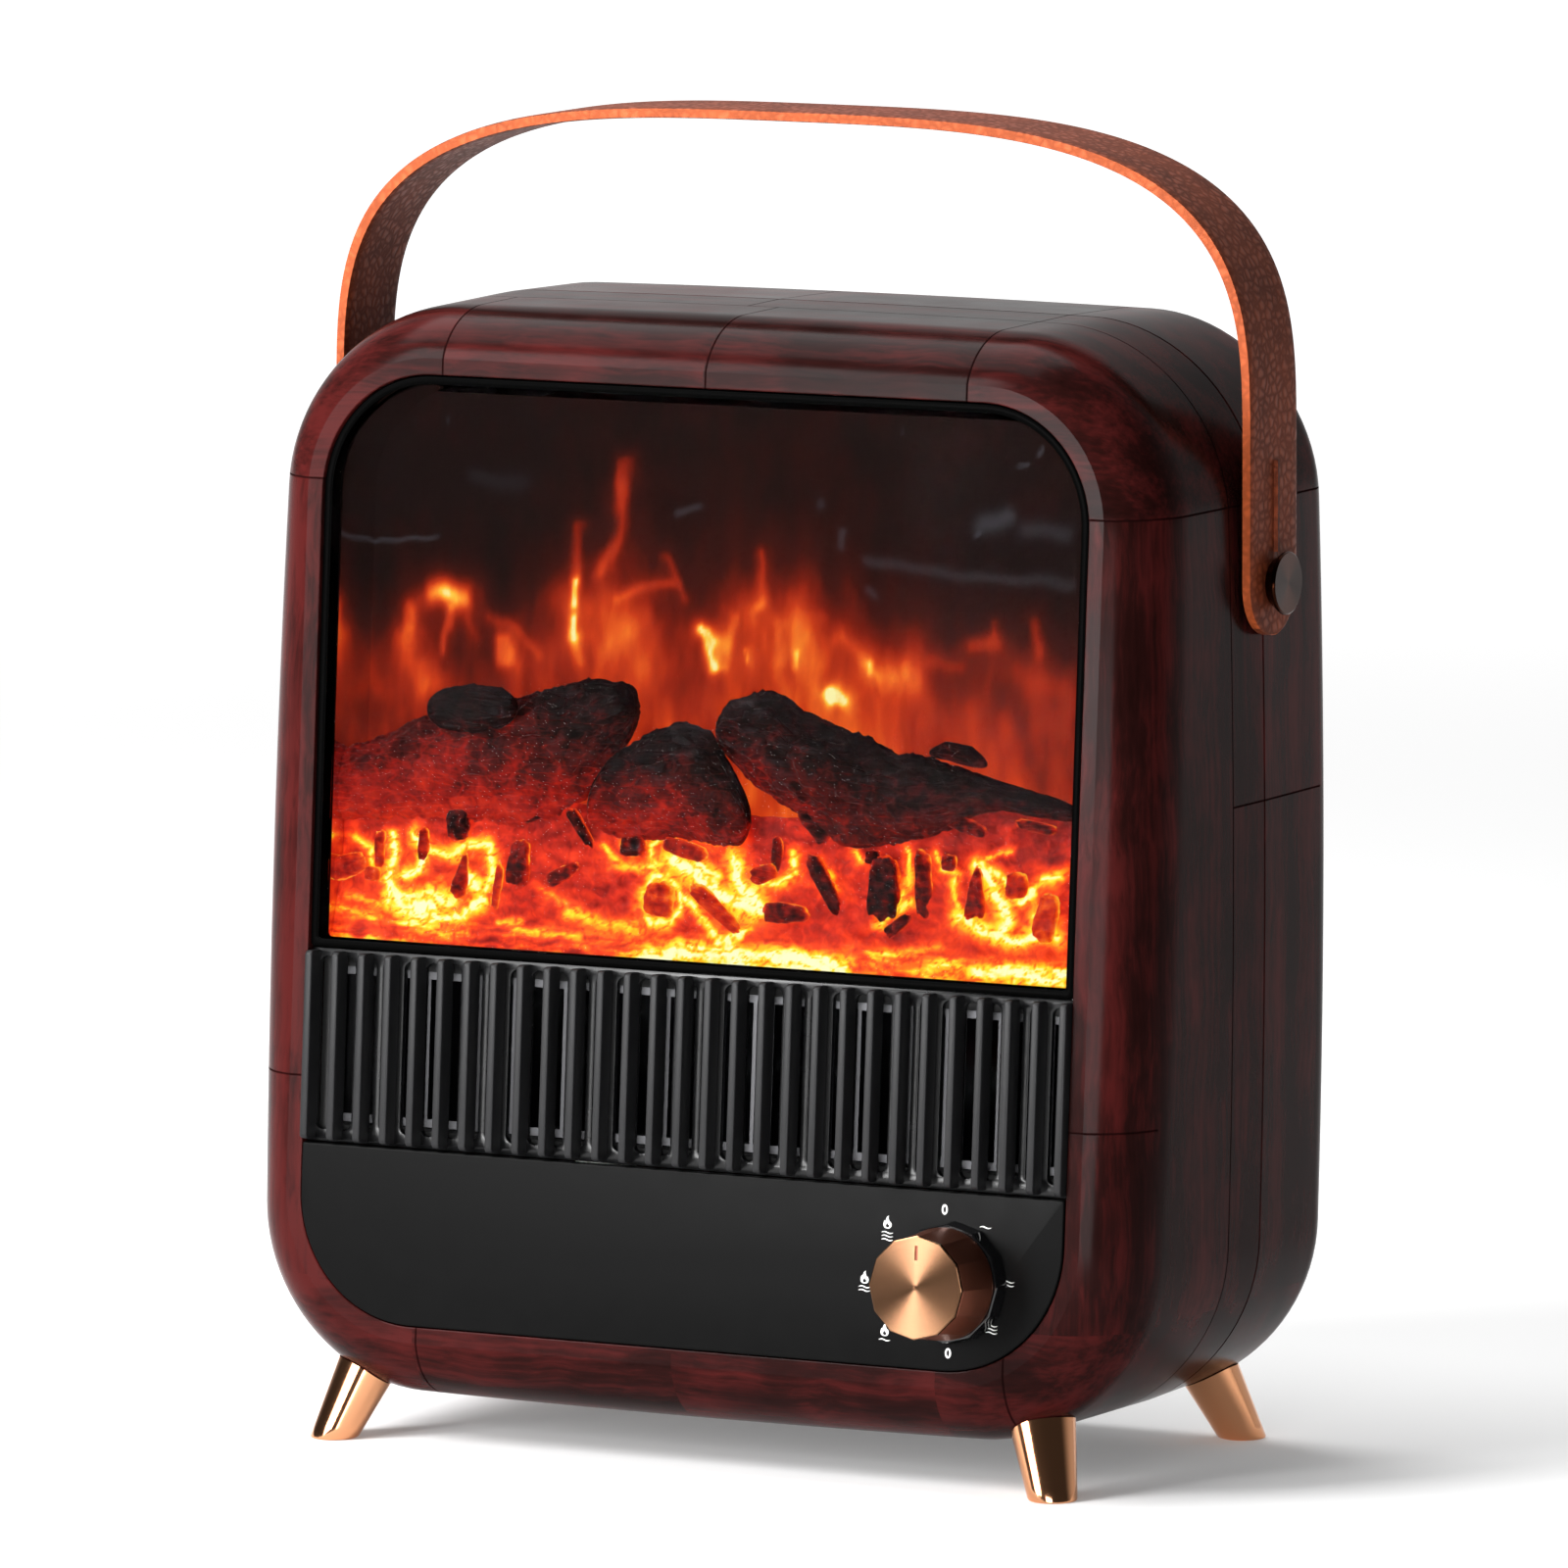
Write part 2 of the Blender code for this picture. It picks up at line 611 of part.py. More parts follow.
def add_shell_bosses(front_shell, rear_shell):
    seam = FRONT_PLANE_Y + SEAM_Y
    back = FRONT_PLANE_Y + REAR_Y
    front_bosses = bmesh.new()
    front_webs = bmesh.new()
    front_bores = bmesh.new()
    rear_bosses = bmesh.new()
    rear_bores = bmesh.new()
    for _, x, z in boss_places():
        add_turned(front_bosses, [(BOSS_R, 0.0), (BOSS_R, BOSS_FRONT_LENGTH)],
                   (x, seam - GAP / 2 - BOSS_FRONT_LENGTH, z), (0, 1, 0), SMALL_ROUND)
        away = Vector((math.copysign(1.0, x), 0.0, math.copysign(1.0, z - BODY_MID_Z))).normalized()
        across = Vector((-away.z, 0.0, away.x)) * BOSS_WEB / 2
        root = Vector((x, 0.0, z))
        edge = root + away * (BODY_CORNER_R - SHELL_WALL / 2 - BOSS_REACH)
        outline = [root - across, edge - across, edge + across, root + across]
        web = [seam - GAP / 2 - BOSS_FRONT_LENGTH + BOSS_WEB, seam - GAP / 2 - BOSS_WEB]
        add_prism(front_webs, [(c.x, c.z) for c in outline], *web)
        add_turned(front_bores, [(SHELL_SCREW_R + SHAFT_PLAY, 0.0), (SHELL_SCREW_R + SHAFT_PLAY, SHELL_SCREW_BITE + GAP)],
                   (x, seam - SHELL_SCREW_BITE - GAP, z), (0, 1, 0), SMALL_ROUND)
        length = REAR_Y - SEAM_Y - GAP / 2 - SHELL_WALL / 2
        add_turned(rear_bosses, [(BOSS_R, 0.0), (BOSS_R, length)],
                   (x, seam + GAP / 2, z), (0, 1, 0), SMALL_ROUND)
        head = SHELL_SCREW_HEAD_R + SHAFT_PLAY
        shank = SHELL_SCREW_R + SHAFT_PLAY
        well = back - SHELL_SCREW_WELL
        profile = [(shank, seam - GAP - well), (shank, 0.0), (head, 0.0), (head, SHELL_SCREW_WELL + GAP)]
        add_turned(rear_bores, profile, (x, well, z), (0, 1, 0), SMALL_ROUND)
    join(front_shell, tool("front_boss_tool", front_bosses))
    join(front_shell, tool("front_web_tool", front_webs))
    cut(front_shell, tool("front_boss_bore", front_bores))
    join(rear_shell, tool("rear_boss_tool", rear_bosses))
    cut(rear_shell, tool("rear_boss_bore", rear_bores))


def build_shell_screws(finish):
    seam = FRONT_PLANE_Y + SEAM_Y
    seat = FRONT_PLANE_Y + REAR_Y - SHELL_SCREW_WELL + GAP
    for label, x, z in boss_places():
        bm = bmesh.new()
        tip = seam - SHELL_SCREW_BITE - seat
        profile = [(SHELL_SCREW_R, tip), (SHELL_SCREW_R, 0.0),
                   (SHELL_SCREW_HEAD_R, 0.0), (SHELL_SCREW_HEAD_R, SHELL_SCREW_HEAD)]
        add_turned(bm, profile, (x, seat, z), (0, 1, 0), SMALL_ROUND)
        finish_mesh("shell_screw_" + label, bm, finish)


# Rear cover and gland

def cover_outline(inset):
    return rounded_outline(COVER_HALF_WIDTH - inset, COVER_BOTTOM_Z + inset, COVER_TOP_Z - inset,
                           max(COVER_R - inset, COVER_R / 3), max(COVER_R - inset, COVER_R / 3))


def cover_screw_places():
    reach = COVER_HALF_WIDTH - COVER_LAND / 2
    middle = (COVER_BOTTOM_Z + COVER_TOP_Z) / 2
    return [("left", -reach, middle), ("right", reach, middle)]


def build_rear_cover(rear_shell, finish, screw_finish):
    back = FRONT_PLANE_Y + REAR_Y
    opening = bmesh.new()
    add_prism(opening, cover_outline(COVER_LAND), back - 2 * SHELL_WALL, back + SHELL_WALL)
    for _, x, z in cover_screw_places():
        hole = COVER_SCREW_R + SHAFT_PLAY
        add_turned(opening, [(hole, -2 * SHELL_WALL), (hole, SHELL_WALL)], (x, back, z), (0, 1, 0), SMALL_ROUND)
    cut(rear_shell, tool("intake_opening", opening))

    bm = bmesh.new()
    face = back + GAP
    bevel = COVER_THICK / 3
    outer = cover_outline(0.0)
    loops = [[(x, face, z) for x, z in outer],
             [(x, face + COVER_THICK - bevel, z) for x, z in outer],
             [(x, face + COVER_THICK, z) for x, z in cover_outline(bevel)]]
    add_loft(bm, loops)
    cover = finish_mesh("rear_cover", bm, finish)
    slots = bmesh.new()
    mid_z = (COVER_BOTTOM_Z + COVER_TOP_Z) / 2
    for row in range(COVER_SLOT_ROWS):
        for column in range(COVER_SLOT_COLUMNS):
            x = (column - (COVER_SLOT_COLUMNS - 1) / 2) * COVER_COLUMN_PITCH
            z = mid_z + (row - (COVER_SLOT_ROWS - 1) / 2) * COVER_SLOT_PITCH
            add_prism(slots, stadium((x, z), COVER_SLOT_W, COVER_SLOT_H), face - COVER_THICK, face + 2 * COVER_THICK)
    for _, x, z in cover_screw_places():
        hole = COVER_SCREW_R + SHAFT_PLAY
        add_turned(slots, [(hole, -COVER_THICK), (hole, 2 * COVER_THICK)], (x, face, z), (0, 1, 0), SMALL_ROUND)
    cut(cover, tool("cover_slots", slots))
    for label, x, z in cover_screw_places():
        bm = bmesh.new()
        seat = face + COVER_THICK + GAP
        profile = [(COVER_SCREW_R, -COVER_SCREW_LENGTH), (COVER_SCREW_R, 0.0), (COVER_SCREW_HEAD_R, 0.0),
                   (COVER_SCREW_HEAD_R, COVER_SCREW_HEAD / 2), (COVER_SCREW_HEAD_R * 0.7, COVER_SCREW_HEAD)]
        add_turned(bm, profile, (x, seat, z), (0, 1, 0), SMALL_ROUND)
        finish_mesh("rear_cover_screw_" + label, bm, screw_finish)


def build_cord_gland(rear_shell, finish):
    back = FRONT_PLANE_Y + REAR_Y
    hole = bmesh.new()
    radius = GLAND_NECK_R + GAP
    add_turned(hole, [(radius, -2 * SHELL_WALL), (radius, SHELL_WALL)], (GLAND_X, back, GLAND_Z), (0, 1, 0))
    cut(rear_shell, tool("gland_hole", hole))
    bm = bmesh.new()
    profile = [(GLAND_NECK_R, GAP - GLAND_LENGTH), (GLAND_NECK_R, GAP), (GLAND_FLANGE_R, GAP),
               (GLAND_FLANGE_R, GLAND_FLANGE * 0.6), (GLAND_NECK_R, GLAND_FLANGE),
               (GLAND_BORE_R, GLAND_FLANGE), (GLAND_BORE_R, GAP - GLAND_LENGTH)]
    axis_loops = []
    for r, h in profile:
        axis_loops.append([(GLAND_X + r * math.cos(math.tau * i / ROUND), back + h,
                            GLAND_Z + r * math.sin(math.tau * i / ROUND)) for i in range(ROUND)])
    add_loft(bm, axis_loops, ring=True)
    finish_mesh("cord_gland", bm, finish)


# Window and fire, in the leaning front's own frame: x right, y inwards, z up the front

def flat_loop(outline, depth):
    return [(x, depth, z) for x, z in outline]


def build_window(front, bezel_finish, glass_finish):
    edge = window_outline(GAP)
    border = window_outline(BEZEL_BORDER)
    seat = window_outline(GAP + BEZEL_WALL)
    lip_back = BEZEL_RECESS + BEZEL_LIP
    rear = lip_back + GLASS_THICK + LINER_FLANGE + 3 * GAP
    bm = bmesh.new()
    add_loft(bm, [flat_loop(edge, BEZEL_RECESS), flat_loop(border, BEZEL_RECESS), flat_loop(border, lip_back),
                  flat_loop(seat, lip_back), flat_loop(seat, rear), flat_loop(edge, rear)], ring=True)
    finish_mesh("window_bezel", bm, bezel_finish, front)
    bm = bmesh.new()
    pane = window_outline(2 * GAP + BEZEL_WALL)
    add_prism(bm, pane, lip_back + GAP, lip_back + GAP + GLASS_THICK)
    finish_mesh("window_glass", bm, glass_finish, front)


def fire_front():
    """Depth of the liner's flange, behind the glass."""
    return BEZEL_RECESS + BEZEL_LIP + GLASS_THICK + 2 * GAP


def liner_inset():
    return 2 * GAP + BEZEL_WALL + BEZEL_BORDER


def build_firebox(front, liner_finish, screen_finish):
    start = fire_front()
    flange = window_outline(2 * GAP + BEZEL_WALL)
    inner = window_outline(liner_inset())
    outer = window_outline(liner_inset() - LINER_WALL)
    bm = bmesh.new()
    add_loft(bm, [flat_loop(flange, start), flat_loop(inner, start), flat_loop(inner, FIREBOX_DEPTH),
                  flat_loop(outer, FIREBOX_DEPTH), flat_loop(outer, start + LINER_FLANGE),
                  flat_loop(flange, start + LINER_FLANGE)], ring=True)
    finish_mesh("firebox_liner", bm, liner_finish, front)
    bm = bmesh.new()
    add_prism(bm, outer, FIREBOX_DEPTH + GAP, FIREBOX_DEPTH + GAP + SCREEN_THICK)
    finish_mesh("flame_screen", bm, screen_finish, front)


def bed_height(u, share):
    """Top of the ember bed: rises to the back, with lumps of two sizes."""
    slow = math.sin(u / BED_WAVE_LONG + 1.3) + 0.7 * math.sin(u / BED_WAVE_MIDDLE + 0.4)
    fine = math.sin(u / BED_WAVE_FINE + share * 9.0) * math.sin(u / BED_WAVE_SHORT - share * 7.0 + 1.0)
    swell = 0.5 - 0.5 * math.cos(math.pi * share)
    return BED_FRONT_H + BED_RISE * swell + BED_LUMP * (slow * 0.8 + fine * 1.2) * (0.3 + share)


def fire_floor():
    """Height of the liner's inner floor up the front plane."""
    return WINDOW_BOTTOM + liner_inset() - GAP


def build_ember_bed(front, finish):
    half = OPENING_HALF_WIDTH - liner_inset() - GAP - BEZEL_SHARP_R / 2
    near = fire_front() + GAP
    far = FIREBOX_DEPTH - BED_BACK_GAP
    floor = fire_floor() + GAP
    bm = bmesh.new()
    rows = []
    for j in range(BED_ROWS + 1):
        share = j / BED_ROWS
        depth = near + (far - near) * share
        row = []
        for i in range(BED_COLUMNS + 1):
            u = -half + 2 * half * i / BED_COLUMNS
            row.append(bm.verts.new((u, depth, floor + bed_height(u, share))))
        rows.append(row)
    for j in range(BED_ROWS):
        for i in range(BED_COLUMNS):
            bm.faces.new((rows[j][i], rows[j][i + 1], rows[j + 1][i + 1], rows[j + 1][i]))
    border = rows[0] + [row[-1] for row in rows[1:]] + rows[-1][-2::-1] + [row[0] for row in rows[-2:0:-1]]
    under = [bm.verts.new((vert.co.x, vert.co.y, floor)) for vert in border]
    count = len(border)
    for i in range(count):
        bm.faces.new((border[i], border[(i + 1) % count], under[(i + 1) % count], under[i]))
    bm.faces.new(under)
    finish_mesh("ember_bed", bm, finish, front, sharp=60.0)


def build_log(front, name, finish, spine, radii, squash, seed):
    """A charred log: rings along a bent spine, with knots from sine waves."""
    steps = 9
    sides = 10
    start, middle, end = (Vector(point) for point in spine)
    bm = bmesh.new()
    loops = []
    for i in range(steps + 1):
        t = i / steps
        centre = start * (1 - t) ** 2 + middle * 2 * t * (1 - t) + end * t ** 2
        ahead = (middle - start) * (1 - t) + (end - middle) * t
        ahead.normalize()
        across = Vector((0.0, 1.0, 0.0))
        up = ahead.cross(across).normalized()
        taper = radii[0] + (radii[1] - radii[0]) * t
        taper *= math.sin(math.pi * min(max(t, 0.06), 0.94)) ** 0.22
        loop = []
        for k in range(sides):
            angle = math.tau * k / sides
            knot = 1.0 + 0.10 * math.sin(3 * angle + seed + 5 * t) + 0.07 * math.sin(11 * t + 2 * angle + seed)
            radius = taper * knot
            loop.append(centre + up * radius * math.cos(angle) + across * radius * squash * math.sin(angle))
        loops.append(loop)
    add_loft(bm, loops)
    return finish_mesh(name, bm, finish, front, sharp=70.0)


def build_logs(front, finish):
    """Charred logs lying on the bed against the screen."""
    near = fire_front()
    far = FIREBOX_DEPTH - BED_BACK_GAP
    for name, radius, spine, ends, seed in LOGS:
        points = []
        for side, share, lift in spine:
            u = OPENING_HALF_WIDTH * side
            depth = near + (far - near) * share
            points.append((u, depth, fire_floor() + GAP + bed_height(u, share) + radius * lift))
        build_log(front, name, finish, points, [radius * end for end in ends], 0.55, seed)


# Grille, heater and blower

def fin_centres():
    return [(i - (FIN_COUNT - 1) / 2) * FIN_PITCH for i in range(FIN_COUNT)]


def build_outlet_grille(front, finish):
    """Upright fins with rounded ends, standing on a plate with its own pattern of slots."""
    half = OPENING_HALF_WIDTH - GAP
    bm = bmesh.new()
    add_box(bm, (-half, PLATE_RECESS, GRILLE_BOTTOM), (half, PLATE_RECESS + PLATE_THICK, GRILLE_TOP))
    grille = finish_mesh("outlet_grille", bm, finish, front)
    mid = (GRILLE_BOTTOM + GRILLE_TOP) / 2
    slots = bmesh.new()
    for i in range(SLOT_COUNT):
        x = (i - (SLOT_COUNT - 1) / 2) * SLOT_PITCH
        add_prism(slots, stadium((x, mid), SLOT_WIDTH, SLOT_LENGTH),
                  PLATE_RECESS - PLATE_THICK, PLATE_RECESS + 2 * PLATE_THICK)
    fins = bmesh.new()
    low = GRILLE_BOTTOM + FIN_END_INSET
    high = GRILLE_TOP - FIN_END_INSET
    root = PLATE_RECESS + PLATE_THICK / 2
    for x in fin_centres():
        side = [(root, low), (root, high)]
        side += arc_points((-FIN_PROUD + FIN_END_R, high - FIN_END_R), FIN_END_R, 90.0, 180.0, 2)
        side += arc_points((-FIN_PROUD + FIN_END_R, low + FIN_END_R), FIN_END_R, 180.0, 270.0, 2)
        add_loft(fins, [[(x - FIN_WIDTH / 2, y, z) for y, z in side], [(x + FIN_WIDTH / 2, y, z) for y, z in side]])
    cut(grille, tool("grille_slots", slots, front))
    join(grille, tool("grille_fins", fins, front))


def heater_frame_front():
    return PLATE_RECESS + PLATE_THICK + GAP


def heater_mid():
    return (GRILLE_BOTTOM + GRILLE_TOP) / 2


def build_heater(front, frame_finish, element_finish):
    near = heater_frame_front()
    far = near + HEATER_FRAME_DEPTH
    low = heater_mid() - HEATER_FRAME_HEIGHT / 2
    high = heater_mid() + HEATER_FRAME_HEIGHT / 2
    half = HEATER_FRAME_HALF_WIDTH
    wall = HEATER_FRAME_WALL
    outer = [(-half, low), (half, low), (half, high), (-half, high)]
    inner = [(-half + wall, low + wall), (half - wall, low + wall), (half - wall, high - wall),
             (-half + wall, high - wall)]
    bm = bmesh.new()
    add_loft(bm, [flat_loop(outer, near), flat_loop(inner, near), flat_loop(inner, far), flat_loop(outer, far)],
             ring=True)
    finish_mesh("heater_frame", bm, frame_finish, front)

    start = near + (HEATER_FRAME_DEPTH - ELEMENT_DEPTH) / 2
    x_out = half - wall - GAP
    z_low = low + wall + GAP
    z_high = high - wall - GAP
    bm = bmesh.new()
    add_box(bm, (-x_out, start, z_low), (x_out, start + ELEMENT_DEPTH, z_high))
    element = finish_mesh("heating_element", bm, element_finish, front)
    cells = bmesh.new()
    pitch = (2 * x_out - ELEMENT_FIN) / ELEMENT_CELLS
    for i in range(ELEMENT_CELLS):
        left = -x_out + ELEMENT_FIN + i * pitch
        add_box(cells, (left, start - ELEMENT_DEPTH, z_low + ELEMENT_BAR),
                (left + pitch - ELEMENT_FIN, start + 2 * ELEMENT_DEPTH, z_high - ELEMENT_BAR))
    cut(element, tool("element_cells", cells, front))


def build_thermal_cutout(front, finish):
    """Snap disc under the heater frame."""
    low = heater_mid() - HEATER_FRAME_HEIGHT / 2 - GAP
    place = (-0.030, heater_frame_front() + HEATER_FRAME_DEPTH / 2, low)
    bm = bmesh.new()
    add_turned(bm, [(0.0050, -0.0070), (0.0070, -0.0050), (0.0080, -0.0050), (0.0080, 0.0)], place, (0, 0, 1), 16)
    finish_mesh("thermal_cutout", bm, finish, front)


def blower_start():
    """Depth at which the blower's walls begin, behind the heater frame."""
    return heater_frame_front() + HEATER_FRAME_DEPTH + GAP


def guide_band(radius, start, end, wall, steps):
    """Outline of a curved guide wall in the y-z plane, with a straight lead to the heater."""
    outer = arc_points((ROTOR_DEPTH, heater_mid()), radius + wall, start, end, steps)
    inner = arc_points((ROTOR_DEPTH, heater_mid()), radius, end, start, steps)
    return outer, inner


def build_blower(front, finish, metal, dark):
    mid = heater_mid()
    half = ROTOR_LENGTH / 2
    near = blower_start()
    swept = ROTOR_R + SWEEP_GAP
    reach = ROTOR_DEPTH + swept + GUIDE_WALL
    # Upper guide: from the heater's top edge over the rotor and down behind it
    outer, inner = guide_band(swept, 90.0, -50.0, GUIDE_WALL, 9)
    top = mid + swept
    upper = [(near, top + GUIDE_WALL)] + outer + inner + [(near, top)]
    bm = bmesh.new()
    add_loft(bm, [[(-half, y, z) for y, z in upper], [(half, y, z) for y, z in upper]])
    finish_mesh("blower_guide_upper", bm, finish, front)
    # Lower guide: a short tongue from the heater's lower edge to the rotor
    low = mid - swept
    tongue = [(near, low), (near, low - GUIDE_WALL), (near + GUIDE_TONGUE, low - GUIDE_WALL),
              (near + GUIDE_TONGUE, low)]
    bm = bmesh.new()
    add_loft(bm, [[(-half, y, z) for y, z in tongue], [(half, y, z) for y, z in tongue]])
    finish_mesh("blower_guide_lower", bm, finish, front)
    # Cheeks with bearing holes
    for side, label in ((-1, "left"), (1, "right")):
        x0 = side * (half + GAP)
        x1 = x0 + side * CHEEK_THICK
        bm = bmesh.new()
        outline = [(near, mid - swept - GUIDE_WALL), (reach, mid - swept - GUIDE_WALL),
                   (reach, mid + swept + GUIDE_WALL), (near, mid + swept + GUIDE_WALL)]
        add_loft(bm, [[(x0, y, z) for y, z in outline], [(x1, y, z) for y, z in outline]])
        cheek = finish_mesh("blower_cheek_" + label, bm, finish, front)
        hole = bmesh.new()
        radius = ROTOR_SHAFT_R + BUSH_WALL + GAP if side < 0 else ROTOR_SHAFT_R + SHAFT_PLAY
        add_turned(hole, [(radius, -2 * CHEEK_THICK), (radius, 2 * CHEEK_THICK)], (x0, ROTOR_DEPTH, mid), (1, 0, 0),
                   SMALL_ROUND)
        cut(cheek, tool("cheek_hole_" + label, hole, front))
    bm = bmesh.new()
    place = (-half - GAP, ROTOR_DEPTH, mid)
    add_tube(bm, ROTOR_SHAFT_R + BUSH_WALL, ROTOR_SHAFT_R + SHAFT_PLAY, 0.0, CHEEK_THICK + BUSH_PROUD, place, (-1, 0, 0),
             SMALL_ROUND)
    finish_mesh("blower_bush", bm, metal, front)
    # Motor on the right cheek
    bm = bmesh.new()
    face = half + 2 * GAP + CHEEK_THICK
    profile = [(MOTOR_R * 0.9, 0.0), (MOTOR_R, 0.0010), (MOTOR_R, MOTOR_LENGTH - 0.0010), (MOTOR_R * 0.9, MOTOR_LENGTH)]
    add_turned(bm, profile, (face, ROTOR_DEPTH, mid), (1, 0, 0), 20)
    motor = finish_mesh("blower_motor", bm, dark, front)
    bore = bmesh.new()
    radius = ROTOR_SHAFT_R + SHAFT_PLAY
    add_turned(bore, [(radius, -0.0020), (radius, 0.0060)], (face, ROTOR_DEPTH, mid), (1, 0, 0), SMALL_ROUND)
    cut(motor, tool("motor_bore", bore, front))


def build_rotor(axis_frame, finish):
    """Tangential rotor: curved blades between two end discs on one shaft."""
    half = ROTOR_LENGTH / 2 - GAP
    shaft_left = half + GAP + CHEEK_THICK
    shaft_right = half + GAP + CHEEK_THICK + 0.0050
    bm = bmesh.new()
    add_turned(bm, [(ROTOR_SHAFT_R, -shaft_left), (ROTOR_SHAFT_R, shaft_right)], (0, 0, 0), (1, 0, 0), SMALL_ROUND)
    rotor = finish_mesh("blower_impeller", bm, finish, axis_frame)
    discs = bmesh.new()
    for x in (-half, half - ROTOR_DISC):
        add_turned(discs, [(ROTOR_R, x), (ROTOR_R, x + ROTOR_DISC)], (0, 0, 0), (1, 0, 0), ROUND)
    blades = bmesh.new()
    for i in range(ROTOR_BLADES):
        turn = math.tau * i / ROTOR_BLADES
        section = []
        for side in (0.0, 1.0):
            stations = (0.0, 0.5, 1.0) if side == 0.0 else (1.0, 0.5, 0.0)
            for t in stations:
                radius = ROTOR_R - GAP - ROTOR_BLADE_DEPTH * t
                bend = turn + 0.16 * math.sin(math.pi * t * 0.5) + side * ROTOR_BLADE_THICK / radius
                section.append((radius * math.cos(bend), radius * math.sin(bend)))
        x0 = -half + ROTOR_DISC / 2
        x1 = half - ROTOR_DISC / 2
        add_loft(blades, [[(x0, y, z) for y, z in section], [(x1, y, z) for y, z in section]])
    join(rotor, tool("rotor_discs", discs, axis_frame))
    join(rotor, tool("rotor_blades", blades, axis_frame))


# Control panel and dial

def panel_outline(inset):
    points = rounded_outline(OPENING_HALF_WIDTH - GAP - inset, OPENING_BOTTOM + GAP + inset, PANEL_TOP - inset,
                             OPENING_BOTTOM_R - GAP - inset, PANEL_BEVEL)
    return points


def build_control_panel(front, finish):
    bm = bmesh.new()
    face = -PANEL_PROUD
    add_loft(bm, [flat_loop(panel_outline(PANEL_BEVEL), face), flat_loop(panel_outline(0.0), face + PANEL_BEVEL),
                  flat_loop(panel_outline(0.0), face + PANEL_THICK)])
    panel = finish_mesh("control_panel", bm, finish, front)
    hole = bmesh.new()
    radius = SWITCH_NECK_R + GAP
    add_turned(hole, [(radius, -2 * PANEL_THICK), (radius, 2 * PANEL_THICK)], (DIAL_U, 0, DIAL_V), (0, 1, 0), 16)
    cut(panel, tool("dial_hole", hole, front))


def build_rotary_switch(front, finish, metal):
    back = PANEL_THICK - PANEL_PROUD + GAP
    half = SWITCH_SIZE / 2
    bm = bmesh.new()
    add_box(bm, (DIAL_U - half, back, DIAL_V - half), (DIAL_U + half, back + SWITCH_DEPTH, DIAL_V + half))
    switch = finish_mesh("rotary_switch", bm, finish, front)
    neck = bmesh.new()
    tip = -(PANEL_PROUD + 2 * GAP + SWITCH_NUT_THICK)
    add_turned(neck, [(SWITCH_NECK_R, tip), (SWITCH_NECK_R, back + GAP)], (DIAL_U, 0, DIAL_V), (0, 1, 0), 16)
    bore = bmesh.new()
    radius = SWITCH_SHAFT_R + SHAFT_PLAY
    add_turned(bore, [(radius, tip - GAP), (radius, back)], (DIAL_U, 0, DIAL_V), (0, 1, 0), 16)
    join(switch, tool("switch_neck", neck, front))
    cut(switch, tool("switch_bore", bore, front))
    bm = bmesh.new()
    add_tube(bm, SWITCH_NUT_R, SWITCH_NECK_R + GAP, PANEL_PROUD + GAP, PANEL_PROUD + GAP + SWITCH_NUT_THICK,
             (DIAL_U, 0, DIAL_V), (0, -1, 0), SMALL_ROUND, 6)
    finish_mesh("switch_nut", bm, metal, front)


def build_dial(dial, finishes):
    """Skirt, twelve-sided body, face plate and shaft; the dial's frame looks along -Y."""
    copper, dark, steel = finishes
    phase = 90.0
    foot = PANEL_PROUD + GAP
    bore = SWITCH_NUT_R + SWEEP_GAP
    bm = bmesh.new()
    loops = []
    for radius, height in ((SKIRT_BASE_R, foot), (SKIRT_TOP_R, foot + SKIRT_HEIGHT),
                           (bore, foot + SKIRT_HEIGHT), (bore, foot)):
        loops.append(polygon_loop(radius, height, phase))
    add_loft(bm, loops, ring=True)
    finish_mesh("knob_skirt", bm, dark, dial, sharp=12.0)

    start = KNOB_START
    sides = 4 * DIAL_SIDES
    bm = bmesh.new()
    collar = [circle_point(KNOB_COLLAR_R, start, phase + 360.0 * i / sides) for i in range(sides)]
    shoulder = [circle_point(KNOB_COLLAR_R, start + 0.0008, phase + 360.0 * i / sides) for i in range(sides)]
    top = []
    for i in range(sides):
        angle = 360.0 * i / sides
        radius = polygon_radius(KNOB_TOP_R, DIAL_SIDES, angle)
        top.append(circle_point(radius, start + KNOB_LENGTH, phase + angle))
    add_loft(bm, [collar, shoulder, top])
    body = finish_mesh("knob_body", bm, copper, dial, sharp=8.0)
    socket = bmesh.new()
    add_turned(socket, [(SWITCH_SHAFT_R + SHAFT_PLAY, start - GAP), (SWITCH_SHAFT_R + SHAFT_PLAY, start + 0.0100)],
               (0, 0, 0), (0, -1, 0), 16)
    cut(body, tool("knob_socket", socket, dial))

    face = start + KNOB_LENGTH + GAP
    bm = bmesh.new()
    add_loft(bm, [polygon_loop(KNOB_FACE_R, face, phase),
                  polygon_loop(KNOB_FACE_R, face + KNOB_FACE_THICK - KNOB_FACE_BEVEL, phase),
                  polygon_loop(KNOB_FACE_R - KNOB_FACE_BEVEL, face + KNOB_FACE_THICK, phase)])
    plate = finish_mesh("knob_face", bm, copper, dial)
    pointer = bmesh.new()
    floor = face + KNOB_FACE_THICK / 2
    add_box(pointer, (-POINTER_WIDTH / 2, -floor - KNOB_FACE_THICK, POINTER_OFFSET - POINTER_LENGTH / 2),
            (POINTER_WIDTH / 2, -floor, POINTER_OFFSET + POINTER_LENGTH / 2))
    cut(plate, tool("knob_pointer", pointer, dial))

    bm = bmesh.new()
    inside = PANEL_THICK - PANEL_PROUD
    add_turned(bm, [(SWITCH_SHAFT_R, -inside + GAP), (SWITCH_SHAFT_R, start + 0.0100 - GAP)], (0, 0, 0), (0, -1, 0), 16)
    finish_mesh("switch_shaft", bm, steel, dial)


